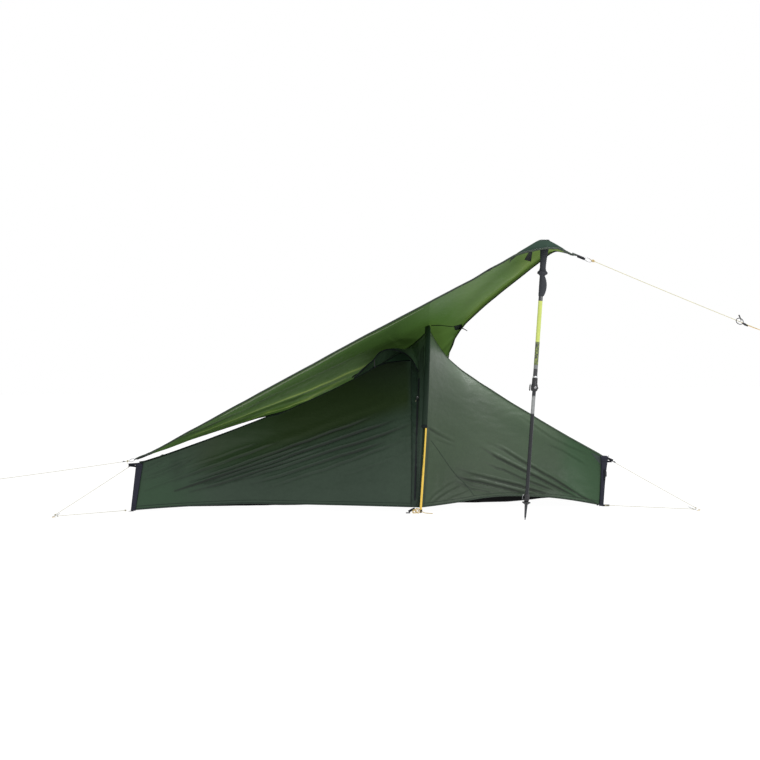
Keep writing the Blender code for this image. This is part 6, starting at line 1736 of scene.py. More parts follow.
# pale strip along the foot panel's near hem: its colour is a painted highlight
M_EDGE_HIGHLIGHT = webbing("tarp_edge_fold_highlight", (0.165, 0.215, 0.125), 0.55)
for nm, pth, inn in nb:
    near_ = nm.endswith("near")
    if near_:
        inn_ = inn / np.linalg.norm(inn, axis=1, keepdims=True)
        tape(nm, pth, inn, 0.0105, M_TBIND, 0.0022, -0.001)
        put(tube_piece(nm + "_piping", dense(pth + inn_ * 0.0032, 0.006), 0.0042, M_PIPE, 10), "tent")
        e_ = dense(pth + inn_ * 0.0125, 0.004)
        Gn_, Nn_ = (G_TF, N_TF) if "foot" in nm else (G_TH, N_TH)
        nn_ = along_norm(e_, pth, -Nn_[:, 3])
        if "foot" in nm:
            # a pale strip, a set distance inside the hem's outline: painted highlight along the hem's fold
            rows_ = []
            for q in range(len(pth)):
                x_ = float(pix(G_TF[q, 0])[0])
                half = float(np.interp(x_, [205, 225, 320, 400, 425], [0.10, 0.75, 0.70, 0.45, 0.15]))
                rows_.append([[np.interp(2.45 + half * d_, f_edge_px[q, :24], G_TF[q, :24, k_]) for k_ in range(3)] for d_ in (-1, 0, 1)])
            rows_ = np.array(rows_) - N_TF[:, 1:4] * 0.0014
            keep = [q for q in range(len(pth)) if 205 < pix(G_TF[q, 0])[0] < 425]
            put(grid_piece(nm + "_fold", rows_[keep[0]:keep[-1]], M_EDGE_HIGHLIGHT), "tent")
        else:
            seam(nm + "_fold", e_ + nn_ * 0.0004, nn_, 0.0022, 0.0006, M_TBIND)
    else:
        tape(nm, pth, inn, 0.0045 if "head" in nm else 0.009, M_BIND, 0.0026, -0.001)
        put(tube_piece(nm + "_piping", dense(pth, 0.006), 0.0028 if "head" in nm else 0.0021, M_BIND, 10), "tent")


def tarp_patch(name, G_, cells, off, mat, thick_=0.0011):
    """A sheet cut from the tarp's own surface, a reinforcement or the peak's painted-shade cap: cells (u0,u1,v0,v1),
    off on one side.
    """
    u0, u1, v0, v1 = cells
    sub = G_[u0:u1, v0:v1]
    nrm = normals_of(G_, (0, 0, 1))[u0:u1, v0:v1]
    out = sub + nrm * off
    return put(grid_piece(name, out, mat, attrs={"tint": np.zeros(out.shape[:2])}), "tent")


# a matte cap over the near side of the peak's outer face, as painted shade; foot corner and head corner reinforcements,
# on both faces
_near = [int(q) for q in np.nonzero((G_TH[:, 0, 0] - (APEX[0] - ORIGIN[0]) > -0.112) & (G_TH[:, 0, 0] - (APEX[0] - ORIGIN[0]) < 0.100))[0]]
tarp_patch("tarp_peak_cap", G_TH, (_near[0], _near[-1] + 1, 0, int(va_ * NHV) + 2), 0.0011, M_PEAK)
tarp_patch("tarp_foot_patch_top", G_TF, (0, 14, 0, NFV), 0.0012, M_FLY_DARK)
tarp_patch("tarp_foot_patch_under", G_TF, (0, 14, 0, NFV), -0.0012, M_FLY_DARK)
tarp_patch("tarp_head_patch_top", G_TH, (NHU - 26, NHU, 0, NHV), 0.0012, M_FLY_DARK)
tarp_patch("tarp_head_patch_under", G_TH, (NHU - 26, NHU, 0, NHV), -0.0012, M_FLY_DARK)


# ==================================================================================
# CAD nodes that keep their shape: they take a better finish
# ==================================================================================
def finish_nodes(mat, *names):
    for nm in names:
        ob = bpy.data.objects.get(nm)
        for slot_ in ob.material_slots:
            slot_.material = mat


finish_nodes(M_GOLD, "hoop_section_near", "hoop_section_near_top", "hoop_section_far_top", "hoop_section_far")
finish_nodes(M_DARKTUBE, "foot_strut_near", "foot_strut_far", "head_strut_near", "head_strut_far")
finish_nodes(M_WEB, "zip_track")

# ==================================================================================
# Zip slider, pull, prop
# ==================================================================================
sl0, sl1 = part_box("zip_slider")
pl0, pl1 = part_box("zip_pull")
tk0, tk1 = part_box("zip_track")
sc = (np.array(sl0) + np.array(sl1)) / 2
_, zn0 = on(T_DOOR, 419.0, 398.0)
zup = unit(np.array((0.075, 0.0, 0.60)))
zup = unit(zup - zn0 * np.dot(zup, zn0))
zx = np.cross(zn0, zup)
ROT = Matrix((V(-zx), V(zn0), V(zup))).transposed()


def local(at, x, y, z):
    return np.array(at) + (-zx) * x + zn0 * y + zup * z


# slider: a waisted plate with a bridge over it
out = []
prof = [(-0.0045, -0.0055), (-0.0034, -0.0060), (0.0034, -0.0060), (0.0045, -0.0055), (0.0042, -0.001), (0.0048, 0.0035), (0.0036, 0.0060),
        (0.0010, 0.0052), (-0.0010, 0.0052), (-0.0036, 0.0060), (-0.0048, 0.0035), (-0.0042, -0.001)]
bm = bmesh.new()
lay = [[bm.verts.new(V(local(sc, x * k2_, y_, z * k2_))) for x, z in prof] for y_, k2_ in ((-0.0018, 0.92), (-0.0012, 1.0), (0.0010, 1.0), (0.0016, 0.92))]
for a, b in zip(lay, lay[1:]):
    for q in range(len(prof)):
        q2 = (q + 1) % len(prof)
        bm.faces.new((a[q], a[q2], b[q2], b[q]))
bm.faces.new(lay[0][::-1])
bm.faces.new(lay[-1])
bmesh.ops.recalc_face_normals(bm, faces=bm.faces)
me = bpy.data.meshes.new("slider_plate")
bm.to_mesh(me)
bm.free()
me.materials.append(M_STEEL)
me.shade_smooth()
me.set_sharp_from_angle(angle=math.radians(40))
plate = bpy.data.objects.new("slider_plate", me)
bridge = ribbon("slider_bridge", [local(sc, 0, 0.0014 + 0.0034 * math.sin(math.pi * t), 0.0048 - 0.0096 * t) for t in np.linspace(0, 1, 18)], -zx, 0.0030, 0.0010, M_STEEL)
put(merged("zip_slider_body", [plate, bridge]), "zip_slider", ("zip_slider",))
pc = (np.array(pl0) + np.array(pl1)) / 2
hz = (np.array(pl1) - np.array(pl0))[2] / 2
pts = [local(pc, 0.0002 * math.sin(t * 6), 0.0, hz * (0.92 - 1.84 * t)) for t in np.linspace(0, 1, 26)]
wid = [0.0030 + 0.0022 * fade(t, 0.05, 0.25) - 0.0012 * fade(t, 0.6, 1.0) for t in np.linspace(0, 1, 26)]
pull = ribbon("pull_tab", pts, -zx, wid, 0.0017, M_BLACK)
hole = tube_piece("pull_eye", [local(pc, 0.0016 * math.cos(w), 0.0, hz * 0.86 + 0.0019 * math.sin(w)) for w in np.linspace(0, 2 * math.pi, 22, endpoint=False)], 0.0006, M_STEEL, 8, closed=True)
tailc = tube_piece("pull_cord", [local(pc, 0.0012 * math.sin(math.pi * t * 2), 0.0004, -hz * 0.70 - 0.0045 * t) for t in np.linspace(0, 1, 12)], 0.0009, M_CORD, 8)
put(merged("zip_pull_body", [pull, hole, tailc]), "zip_pull", ("zip_pull",))

# zip teeth along the tape
teeth = []
zd = dense(zt, 0.0030)
znn = along_norm(zd, zt, zn)
bm = bmesh.new()
for q in range(2, len(zd) - 2):
    t = unit(zd[q + 1] - zd[q - 1])
    sd = unit(np.cross(t, znn[q]))
    c = zd[q] + sd * (0.0007 if q % 2 else -0.0007)
    m = Matrix.Translation(V(c)) @ Matrix((V(sd), V(np.cross(t, sd)), V(t))).transposed().to_4x4()
    bmesh.ops.create_cube(bm, size=1.0, matrix=m @ Matrix.Diagonal((0.0026, 0.0010, 0.0017, 1.0)))
me = bpy.data.meshes.new("zip_teeth")
bm.to_mesh(me)
bm.free()
me.materials.append(M_TEETH)
put(bpy.data.objects.new("zip_teeth", me), "tent")

# stay that props the hood open: a flat fibre rod with a hook-and-loop end
pr0, pr1 = [np.array(c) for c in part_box("vent_prop")]
p_top = arr((-0.030, -0.352, 0.788))
p_low = p_top + np.array((0.004, 0.018, -0.048))
rod = ribbon("prop_rod", [p_low * (1 - t) + p_top * t for t in np.linspace(0.03, 0.97, 16)], FX, [0.0046 - 0.0010 * abs(2 * t - 1) for t in np.linspace(0, 1, 16)], 0.0026, M_BLACK)
capa = lathe_piece("prop_cap", [(0.0006, 0.0), (0.0024, 0.0012), (0.0026, 0.004), (0.0025, 0.008), (0.0012, 0.0095)], p_top - unit(p_top - p_low) * 0.0095, p_top, M_BLACK, 16)
put(merged("vent_prop_stay", [rod, capa]), "vent_prop", ("vent_prop",))

# ==================================================================================
# Tarp hardware
# ==================================================================================
ax, ay, az = arr(APEX)
gp_ = [(0.0262, -0.0010), (0.0262, -0.0032), (0.0245, -0.0041), (0.0205, -0.0036), (0.0182, -0.0040), (0.0168, -0.0028), (0.0170, -0.0010),
       (0.0184, 0.0000), (0.0205, -0.0006), (0.0240, 0.0)]
put(lathe_piece("peak_grommet", gp_, (ax, ay, az + 0.0030), (ax, ay, az + 1.0), M_EYELET, 56, closed=True, angle=30), "tent", ("tarp_grommet",))
sm_, sn_ = px_path(T_TH, [(431.5, 325.5), (440, 325.2), (452, 326.5), (461, 327.2)], 50, 0.0010)
seam("tarp_cross_seam", sm_, sn_, 0.0060, 0.0012, M_SEAM)
head_edge_pts = np.array(head_edge)
low_w = unit(np.cross(head_dir, side_y))
hw0 = head_edge_pts[4] + head_dir * 0.0030
hw1 = ring_mid - head_dir * 0.0185
wpts = [hw0 * (1 - t) + hw1 * t for t in np.linspace(-0.55, 1, 24)]
loop_end = [hw1 + head_dir * 0.0028 * math.sin(w) + unit(np.cross(head_dir, side_y)) * 0.0026 * (math.cos(w) - 1) for w in np.linspace(0, math.pi, 8)]
back_run = [wpts[-1 - q] + unit(np.cross(head_dir, side_y)) * -0.0050 for q in range(14)]
put(ribbon("head_webbing", smooth_curve(wpts + loop_end[1:] + back_run, 60), unit(side_y * 0.75 + low_w * 0.66), 0.0125, 0.0026, M_WEB), "tent", ("tarp_head_webbing",))
low_ = unit(np.cross(head_dir, side_y))
ring_piece("head_ring", ring_mid, head_dir, unit(low_ * 0.8 + side_y * 0.6), 0.0190, 0.0118, 0.0015, M_STEEL, ("tarp_head_ring",), 56)
ring_piece("foot_ring", foot_ring_mid, unit((0.97, 0, 0.24)), unit(side_y * 0.7 + np.array((-0.17, 0, 0.69))), 0.0150, 0.0095, 0.0014, M_STEEL, ("tarp_foot_ring",), 48)
ring_piece("back_ring", back_ring_mid, back_dir, FX, 0.0140, 0.0090, 0.0012, M_STEEL, ("tarp_back_ring",), 48)
tab("foot_ring_webbing", np.array(foot_edge[6]) + np.array((0.030, 0, 0.006)), foot_ring_mid + np.array((0.012, 0, 0.003)), 0.013)
tab("back_ring_webbing", arr(TARP_BACK) - back_dir * 0.020, back_ring_mid - back_dir * 0.012, 0.013, side=FX)
# tie-out tabs and short webbing along the tarp's edges
def edge_tab(name, G_, px_, py_, edge_row, length, width=0.016, drop_=0.004, inwards=0.020):
    Pe = pix(G_[:, edge_row])
    q = int(np.argmin(np.hypot(Pe[:, 0] - px_, Pe[:, 1] - py_)))
    e = G_[q, edge_row]
    inn = unit(G_[q, 3 if edge_row == 0 else -4] - e)
    along = unit(G_[min(q + 2, len(G_) - 1), edge_row] - G_[max(q - 2, 0), edge_row])
    nr = unit(np.cross(along, inn))
    pts = [e + inn * inwards * (1 - t) - inn * length * t - np.array((0, 0, drop_ * t * t)) for t in np.linspace(0, 1, 14)]
    return put(ribbon(name, pts, along, width, 0.0042, M_WEB), "tent")


edge_tab("tarp_tieout_near", G_TH, 490.4, 271.2, 0, 0.012, 0.020)
edge_tab("tarp_tieout_mid", G_TF, 289.0, 379.0, 0, 0.008, 0.018)
patch("tarp_pole_patch", T_TH, [(524.3, 259.7), (531.0, 261.7), (532.3, 252.0), (529.3, 251.2)], M_PATCH, lift=0.0026)
patch("tarp_back_patch", T_TH, [(455.0, 330.2), (462.6, 329.0), (461.9, 324.0), (454.0, 325.8)], M_FLY_DARK, lift=0.0030)
lp, ln_ = px_path(T_TH, [(459.0, 328), (460.5, 327.6)], 6, 0.002)
c_ = lp[-1]
put(tube_piece("tarp_back_loop", [c_ + np.array((0.040 * t - 0.002, -0.004, 0.0025 * math.sin(3.1 * t) - 0.0185 * t)) for t in np.linspace(0, 1, 16)], np.linspace(0.0034, 0.0020, 16), M_BLACK, 8), "tent")

# ==================================================================================
# Walking pole
# ==================================================================================
tip, top = arr(TIP), arr(TOP)
pole_dir = unit(top - tip)
POLE_LEN = float(np.linalg.norm(top - tip))
L = POLE_LEN
pxv = unit(np.array((1.0, 0, 0)) - pole_dir * pole_dir[0])
pyv = np.cross(pole_dir, pxv)


def on_pole(s):
    return tip + pole_dir * s


def pole_piece(name, profile, mat, body, nodes, steps=48, closed=False, wobble=None, angle=35):
    return put(lathe_piece(name, profile, tip, top, mat, steps, closed, angle, wobble), body, nodes)


def smooth_profile(pts, n):
    c = smooth_curve([(r, s) for r, s in pts], n)
    return [(float(max(r, 0.0)), float(s)) for r, s in c]


# upper grip: moulded, oval, with shallow ribs on its palm side and a wrist knob on top
grip_prof = smooth_profile([(0.0006, L), (0.0080, L - 0.0010), (0.0150, L - 0.0055), (0.0192, L - 0.0150), (0.0202, L - 0.028), (0.0190, L - 0.045),
                            (0.0176, L - 0.060), (0.0160, L - 0.080), (0.0150, L - 0.100), (0.0147, L - 0.120), (0.0170, L - 0.133),
                            (0.0235, L - 0.1405), (0.0248, L - 0.146), (0.0236, L - 0.1505), (0.0168, L - 0.1545), (0.0128, L - 0.1600)], 110)


def grip_wobble(r, s, w):
    z = L - s
    rib = 0.0
    if 0.050 < z < 0.128:
        rib = 0.00055 * math.sin(z * 2 * math.pi / 0.0095) * max(0.0, math.cos(w)) ** 0.6
    lean = 1.0 + 0.06 * math.cos(w) * (1 if z < 0.04 else max(0.0, 1 - (z - 0.04) / 0.05)) - 0.08 * abs(math.sin(w)) ** 2 * min(1.0, z / 0.02)
    return max(0.0, (r + rib) * lean)


pole_piece("grip_upper", grip_prof, M_FOAM, "tent", ("pole_grip",), 56, wobble=grip_wobble, angle=60)
ext_prof = smooth_profile([(0.0118, L - 0.1608), (0.0122, L - 0.166), (0.0124, L - 0.178), (0.0124, L - 0.194), (0.0124, L - 0.210), (0.0122, L - 0.224),
                           (0.0120, L - 0.242), (0.0118, L - 0.254), (0.0108, L - 0.258)], 70)


def ext_wobble(r, s, w):
    z = L - s
    groove = -0.0007 * max(0.0, math.cos((z - 0.21) * 2 * math.pi / 0.0120)) ** 6 if 0.18 < z < 0.245 else 0.0
    lump = math.sin(math.pi * min(max((z - 0.1605) / 0.098, 0), 1)) ** 0.7
    fwd = 0.5 * (1 + math.cos(w))
    return r + groove + 0.0128 * lump * fwd ** 1.8 * (1 - 0.25 * abs(math.sin(w)))


pole_piece("grip_lower", ext_prof, M_FOAM, "tent", ("pole_grip_extension",), 48, wobble=ext_wobble, angle=60)
# the grip's cap stays plain: a thin ring round it near the top
put(tube_piece("grip_top_ring", [on_pole(L - 0.0200) + (pxv * math.cos(w) * 0.0205 + pyv * math.sin(w) * 0.0183) for w in np.linspace(0, 2 * math.pi, 48, endpoint=False)],
               0.0009, M_BLACK, 8, closed=True), "tent")


def pole_at_row(row):
    """Distance along the pole from its point to where it crosses this row of the picture."""
    s_ = np.linspace(0, L, 2000)
    pr = pix(tip[None] + pole_dir[None] * s_[:, None])
    return float(np.interp(-row, -pr[:, 1], s_))


S_CLAMP1 = 0.668
# upper shaft: dark collar, lime lacquer, dark length with a plain band pattern, from head to clamp
def shaft_mat(name, bands, rough=0.3):
    """Lacquered tube in coloured lengths: (from, to, colour) along the pole, in metres from its point."""
    k = Nodes(name)
    obj = k.coords("Object")
    dotn = k.n("ShaderNodeVectorMath", _operation="DOT_PRODUCT", i0=obj, i1=tuple(map(float, pole_dir)))
    s_ = k.math("SUBTRACT", dotn.outputs["Value"], float(np.dot(tip, pole_dir)))
    w1 = k.noise(obj, 90.0, 3.0)
    w2 = k.noise(k.scaled(obj, (260.0, 260.0, 90.0)), 1.0, 2.0)
    col = None
    for a, b, c, pat in bands:
        inside_ = k.math("MULTIPLY", k.remap(s_, a - 0.0006, a + 0.0006, 0.0, 1.0), k.remap(s_, b - 0.0006, b + 0.0006, 1.0, 0.0))
        cc = k.mix(k.remap(w1, 0.35, 0.7, 0.0, 0.35), c, tuple(x * 0.75 for x in c))
        if pat is not None:
            cc = k.mix(k.remap(w2, 0.47, 0.55, 0.0, 1.0), cc, pat)
        col = k.mix(inside_, col if col is not None else (0.02, 0.021, 0.024), cc)
    scr = k.noise(k.scaled(obj, (900.0, 900.0, 60.0)), 1.0, 3.0)
    p = k.n("ShaderNodeBsdfPrincipled", Base__Color=col, Roughness=k.remap(scr, 0.3, 0.7, rough - 0.08, rough + 0.12),
            Normal=k.bump(k.math("MULTIPLY", scr, 0.00005), 1.0, 0.5))
    p.inputs["Coat Weight"].default_value = 0.4
    p.inputs["Coat Roughness"].default_value = 0.12
    k.t.links.new(p.outputs[0], k.out.inputs["Surface"])
    return k.mat


rows = {y: pole_at_row(y) for y in (296, 301, 342, 346, 352, 358, 365, 369, 376.6, 378.4, 396, 415, 430)}
M_SHAFT_UP = shaft_mat("upper_shaft_lacquer", [
    (rows[342], rows[301], (0.52, 0.60, 0.13), None),
    (rows[365], rows[342], (0.030, 0.034, 0.030), (0.20, 0.26, 0.05)),
    (rows[369], rows[365], (0.16, 0.17, 0.17), None),
    (rows[378.4], rows[376.6], (0.55, 0.56, 0.56), None)])
up_prof = [(0.0102, L - 0.047), (0.0102, rows[301] + 0.0016), (0.0104, rows[301] + 0.0010), (0.0104, rows[301] - 0.0010), (0.0102, rows[301] - 0.0016),
           (0.0102, rows[342]), (0.0102, rows[365]), (0.0102, S_CLAMP1 - 0.009), (0.0100, S_CLAMP1 - 0.010), (0.0093, S_CLAMP1 - 0.010), (0.0093, L - 0.047)]
pole_piece("upper_shaft", up_prof, M_SHAFT_UP, "tent", ("pole_upper_shaft",), 48, closed=True)

# clamps: a split collar with a boss and a screw, and a folding lever
cl1 = [(0.0105, S_CLAMP1 + 0.0140), (0.0118, S_CLAMP1 + 0.0142), (0.0125, S_CLAMP1 + 0.0130), (0.0132, S_CLAMP1 + 0.010), (0.0133, S_CLAMP1 + 0.002),
       (0.0129, S_CLAMP1 + 0.0008), (0.0129, S_CLAMP1 - 0.0008), (0.0134, S_CLAMP1 - 0.002), (0.0134, S_CLAMP1 - 0.0150), (0.0150, S_CLAMP1 - 0.0195), (0.0161, S_CLAMP1 - 0.0235),
       (0.0164, S_CLAMP1 - 0.027), (0.0164, S_CLAMP1 - 0.041), (0.0158, S_CLAMP1 - 0.0445), (0.0140, S_CLAMP1 - 0.0478), (0.0126, S_CLAMP1 - 0.0500), (0.0094, S_CLAMP1 - 0.0500),
       (0.0094, S_CLAMP1 - 0.0105), (0.0105, S_CLAMP1 - 0.0103)]
pole_piece("upper_clamp", cl1, M_BLACK, "tent", ("pole_upper_clamp",), 48, closed=True)
SIL = metal("satin_silver", (0.62, 0.63, 0.64), 0.3)
scr1 = lathe_piece("upper_clamp_screw_a", [(0.0006, 0.0), (0.0036, 0.0003), (0.0040, 0.0012), (0.0040, 0.0026), (0.0030, 0.0032), (0.0006, 0.0034)],
                   on_pole(S_CLAMP1 - 0.034) + pxv * 0.0156, on_pole(S_CLAMP1 - 0.034) + pxv * 0.03, M_BLACK, 24)
put(scr1, "tent")
# a bright band above the collar, and the round head of the clamp's bolt on the door side
put(lathe_piece("upper_clamp_ring", [(0.0103, S_CLAMP1 + 0.0143), (0.0112, S_CLAMP1 + 0.0145), (0.0115, S_CLAMP1 + 0.0160), (0.0115, S_CLAMP1 + 0.0200), (0.0111, S_CLAMP1 + 0.0214), (0.0103, S_CLAMP1 + 0.0216)],
                tip, top, SIL, 40, True, 30), "tent")
bolt_n = unit(-pyv if pyv[1] > 0 else pyv)
bolt_c = on_pole(S_CLAMP1 - 0.0335) + bolt_n * 0.0150 + pxv * 0.0020
put(lathe_piece("upper_clamp_bolt", [(0.0005, 0.0), (0.0052, 0.0), (0.0060, 0.0010), (0.0058, 0.0022), (0.0042, 0.0027), (0.0036, 0.0020), (0.0005, 0.0020)],
                bolt_c, bolt_c + bolt_n * 0.02, M_STEEL, 28), "tent")
S_MID_TOP, S_CLAMP2 = 0.760, 0.111
rows2 = {y: pole_at_row(y) for y in (390, 396, 413.8, 440)}
k = Nodes("middle_shaft_lacquer_and_reflection")
obj = k.coords("Object")
dotn = k.n("ShaderNodeVectorMath", _operation="DOT_PRODUCT", i0=obj, i1=tuple(map(float, pole_dir)))
s_ = k.math("SUBTRACT", dotn.outputs["Value"], float(np.dot(tip, pole_dir)))
w1 = k.noise(obj, 70.0, 3.0)
m0_, m1_ = rows2[440], rows2[390]
# dark grey shaft with a light grey length between the clamp and the tent's ridge behind it: that light length is a
# painted reflection of the pale backdrop
fadec = k.ramp(k.remap(s_, m0_, m1_, 0.0, 1.0), [(0.0, (0.020, 0.022, 0.025)), ((rows2[413.8] - m0_) / (m1_ - m0_) - 0.012, (0.022, 0.024, 0.027)), ((rows2[413.8] - m0_) / (m1_ - m0_) + 0.012, (0.30, 0.31, 0.31)),
                                                 ((rows2[396] - m0_) / (m1_ - m0_) - 0.012, (0.34, 0.35, 0.35)), ((rows2[396] - m0_) / (m1_ - m0_) + 0.012, (0.030, 0.032, 0.036))])
colm = k.mix(k.remap(w1, 0.35, 0.7, 0.0, 0.3), fadec, (0.030, 0.032, 0.034))
scr = k.noise(k.scaled(obj, (900.0, 900.0, 40.0)), 1.0, 3.0)
p = k.n("ShaderNodeBsdfPrincipled", Base__Color=colm, Roughness=k.remap(scr, 0.3, 0.7, 0.20, 0.38), Normal=k.bump(k.math("MULTIPLY", scr, 0.00005), 1.0, 0.5))
p.inputs["Metallic"].default_value = 0.5
k.t.links.new(p.outputs[0], k.out.inputs["Surface"])
M_SHAFT_MID = k.mat
mid_prof = [(0.0086, S_MID_TOP), (0.0089, S_MID_TOP - 0.001), (0.0089, 0.60), (0.0089, 0.40), (0.0089, 0.20), (0.0089, S_CLAMP2 - 0.007), (0.0087, S_CLAMP2 - 0.008), (0.0081, S_CLAMP2 - 0.008), (0.0081, S_MID_TOP)]
pole_piece("middle_shaft", mid_prof, M_SHAFT_MID, "pole_middle", ("pole_middle_shaft",), 40, closed=True)
# setting marks along the middle shaft: plain rings
marks = []
for q in range(7):
    s0_ = S_CLAMP1 - 0.075 - q * 0.045
    marks.append(tube_piece(f"mark_{q}", [on_pole(s0_) + (pxv * math.cos(w) + pyv * math.sin(w)) * 0.00885 for w in np.linspace(0, 2 * math.pi, 32, endpoint=False)], 0.00022, M_BLACK, 6, closed=True))
put(merged("middle_shaft_marks", marks), "pole_middle")
cl2 = [(0.0092, S_CLAMP2 + 0.0120), (0.0106, S_CLAMP2 + 0.0121), (0.0122, S_CLAMP2 + 0.0105), (0.0129, S_CLAMP2 + 0.008), (0.0129, S_CLAMP2 + 0.001), (0.0125, S_CLAMP2),
       (0.0130, S_CLAMP2 - 0.001), (0.0132, S_CLAMP2 - 0.012), (0.0128, S_CLAMP2 - 0.016), (0.0118, S_CLAMP2 - 0.0199), (0.0081, S_CLAMP2 - 0.020), (0.0081, S_CLAMP2 - 0.0083), (0.0092, S_CLAMP2 - 0.0083)]
pole_piece("lower_clamp", cl2, M_BLACK, "pole_middle", ("pole_lower_clamp",), 44, closed=True)
low_prof = [(0.0006, 0.600), (0.0070, 0.600), (0.0077, 0.598), (0.0077, 0.45), (0.0077, 0.30), (0.0077, 0.16), (0.0077, 0.0765), (0.0074, 0.0757),
            (0.0069, 0.064), (0.0062, 0.050), (0.0054, 0.032), (0.0045, 0.0135), (0.0041, 0.0122), (0.0030, 0.0100), (0.0023, 0.0012), (0.0014, 0.0002), (0.0003, 0.0)]
pole_piece("lower_shaft", low_prof, M_DARKTUBE, "pole_lower", ("pole_lower_shaft",), 40)
bas = smooth_profile([(0.0080, 0.0898), (0.0096, 0.0901), (0.0112, 0.0888), (0.0160, 0.0874), (0.0200, 0.0862), (0.0207, 0.0838), (0.0196, 0.0818), (0.0150, 0.0790),
                      (0.0124, 0.0772), (0.0096, 0.0746), (0.0080, 0.0748)], 60)
pole_piece("basket", bas, M_BLACK, "pole_lower", ("pole_basket",), 48,
           wobble=lambda r_, s__, w: r_ * (1 - 0.05 * max(0.0, math.cos(6 * w)) * max(0.0, (r_ - 0.012) / 0.009)), angle=50)


def lever(name, node, body, at_, size_, spot):
    """A clamp lever: a curved paddle hugging the collar, with a pin through its head."""
    w_, t_, l_ = size_
    pts = [at_ + pole_dir * (l_ / 2 - l_ * t) + pxv * (-0.0016 * math.sin(math.pi * t) + 0.0010 * (1 - t) - 0.0012 * max(0.0, t - 0.75) * 4) for t in np.linspace(0.02, 0.98, 24)]
    wid = [t_ * (0.80 + 0.20 * math.sin(math.pi * min(1.0, t * 1.2))) for t in np.linspace(0, 1, 24)]
    pad = ribbon(name + "_pad", pts, pyv, wid, w_ * 0.62, M_BLACK)
    rib_ = ribbon(name + "_rib", [p_ - pxv * w_ * 0.34 for p_ in pts[3:-3]], pyv, t_ * 0.42, w_ * 0.24, SIL if spot else M_BLACK)
    pin = lathe_piece(name + "_pin", [(0.0005, 0.0), (0.0022, 0.0003), (0.0024, 0.001), (0.0024, t_ - 0.001), (0.0022, t_ - 0.0003), (0.0005, t_)],
                      pts[2] - pyv * t_ / 2, pts[2] + pyv * t_, SIL, 20)
    return put(merged(name, [pad, rib_, pin]), body, (node,))


lever("upper_clamp_lever", "pole_upper_lever", "upper_lever", on_pole(S_CLAMP1 - 0.033) - pxv * 0.0206, (0.0070, 0.0150, 0.034), True)
lever("lower_clamp_lever", "pole_lower_lever", "lower_lever", on_pole(S_CLAMP2 - 0.002) - pxv * 0.0168, (0.0060, 0.0130, 0.026), True)

# ==================================================================================
# Tensioner on the head line, base of the hoop, pegs
# ==================================================================================
ten_at = head_line[0] + hl_dir * np.dot(arr((1.7404, -0.985, 0.9468)) - head_line[0], hl_dir) - np.array((0, 0, 0.003 * 0.35))
up_h = unit(np.cross(np.cross(hl_dir, (0, 0, 1)), hl_dir))
ru = unit(up_h * 0.94 + hl_dir * 0.34)
ring_c = ten_at + up_h * 0.0010
ring_o = tube_piece("ten_ring", [ring_c + hl_dir * 0.0185 * math.cos(w) + up_h * 0.0140 * math.sin(w) + side_y * 0.003 * math.cos(w) for w in np.linspace(0, 2 * math.pi, 60, endpoint=False)], 0.0019, M_BLACK, 12, closed=True)
tbar = tube_piece("ten_bar", [ring_c + hl_dir * (-0.004 + 0.010 * q) + up_h * (-0.006 + 0.011 * q) for q in np.linspace(0, 1, 12)], 0.0015, M_STEEL, 10)
stick_a = at_px(741.0, 320.2, -0.985)
stick_b = at_px(738.9, 315.2, -0.985)
tog = tube_piece("ten_stick", [stick_a * (1 - q) + stick_b * q + hl_dir * 0.0012 * math.sin(q * 3) for q in np.linspace(0, 1, 14)],
                 [0.0022 + 0.0012 * fade(q, 0.3, 0.9) for q in np.linspace(0, 1, 14)], M_BLACK, 12)
slv = tube_piece("ten_sleeve", [at_px(742.6 + 5.0 * q, 323.0 + 3.0 * q, -0.985) for q in np.linspace(0, 1, 16)],
                 [0.0034 + 0.0022 * math.sin(math.pi * min(1.0, q * 1.15)) for q in np.linspace(0, 1, 16)], M_BLACK, 12)
put(merged("tensioner_ring", [ring_o, tbar, tog, slv]), "line_tensioner", ("line_tensioner",))

base = hoop_point(math.radians(1.0))
M_CREAMWEB = webbing("cream_loop", (0.62, 0.52, 0.30), 0.8)
yb_ = base[1] + ORIGIN[1] - 0.010
for q, (c0, rx, rz, tl_) in enumerate((((415.6, 511.6), 0.0150, 0.0100, 0.3), ((417.6, 512.6), 0.0115, 0.0125, -0.5), ((414.6, 513.2), 0.0100, 0.0075, 0.9))):
    cc = at_px(c0[0], c0[1], yb_ - 0.004 * q)
    cc[2] = max(cc[2], rz * 0.9 + 0.0022)
    put(tube_piece(f"base_cord_loop_{q}", [cc + np.array((rx * math.cos(w), 0.006 * math.sin(w + tl_) + 0.003 * math.sin(2 * w), 0.9 * rz * math.sin(w + 0.4 * tl_))) for w in np.linspace(0, 2 * math.pi, 44, endpoint=False)],
                   0.0021, M_CREAM, 10, closed=True), "tent")
sa = base + np.array((-0.062, -0.010, 0)); sa[2] = 0.0085
sb = base + np.array((-0.030, -0.004, 0)); sb[2] = 0.0235
put(ribbon("base_strap", [sa * (1 - t) + sb * t + np.array((0, 0, 0.0008 * math.sin(math.pi * t))) for t in np.linspace(0, 1, 14)], unit((0, 0.45, 1.0)), 0.0120, 0.0030, M_WEB), "tent", ("base_strap_near",))
bk0, bk1 = [np.array(c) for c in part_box("base_buckle_near")]
bc = (bk0 + bk1) / 2
fr = [bc + np.array((0.0088 * sx_, 0.0070 * sy_, 0)) for sx_, sy_ in ((-1, -1), (0, -1.06), (1, -1), (1.06, 0), (1, 1), (0, 1.06), (-1, 1), (-1.06, 0))]
frame_ = tube_piece("buckle_frame", resample(np.array(smooth_curve(fr + [fr[0]], 64)), 48)[:-1], 0.0019, M_BLACK, 10, closed=True)
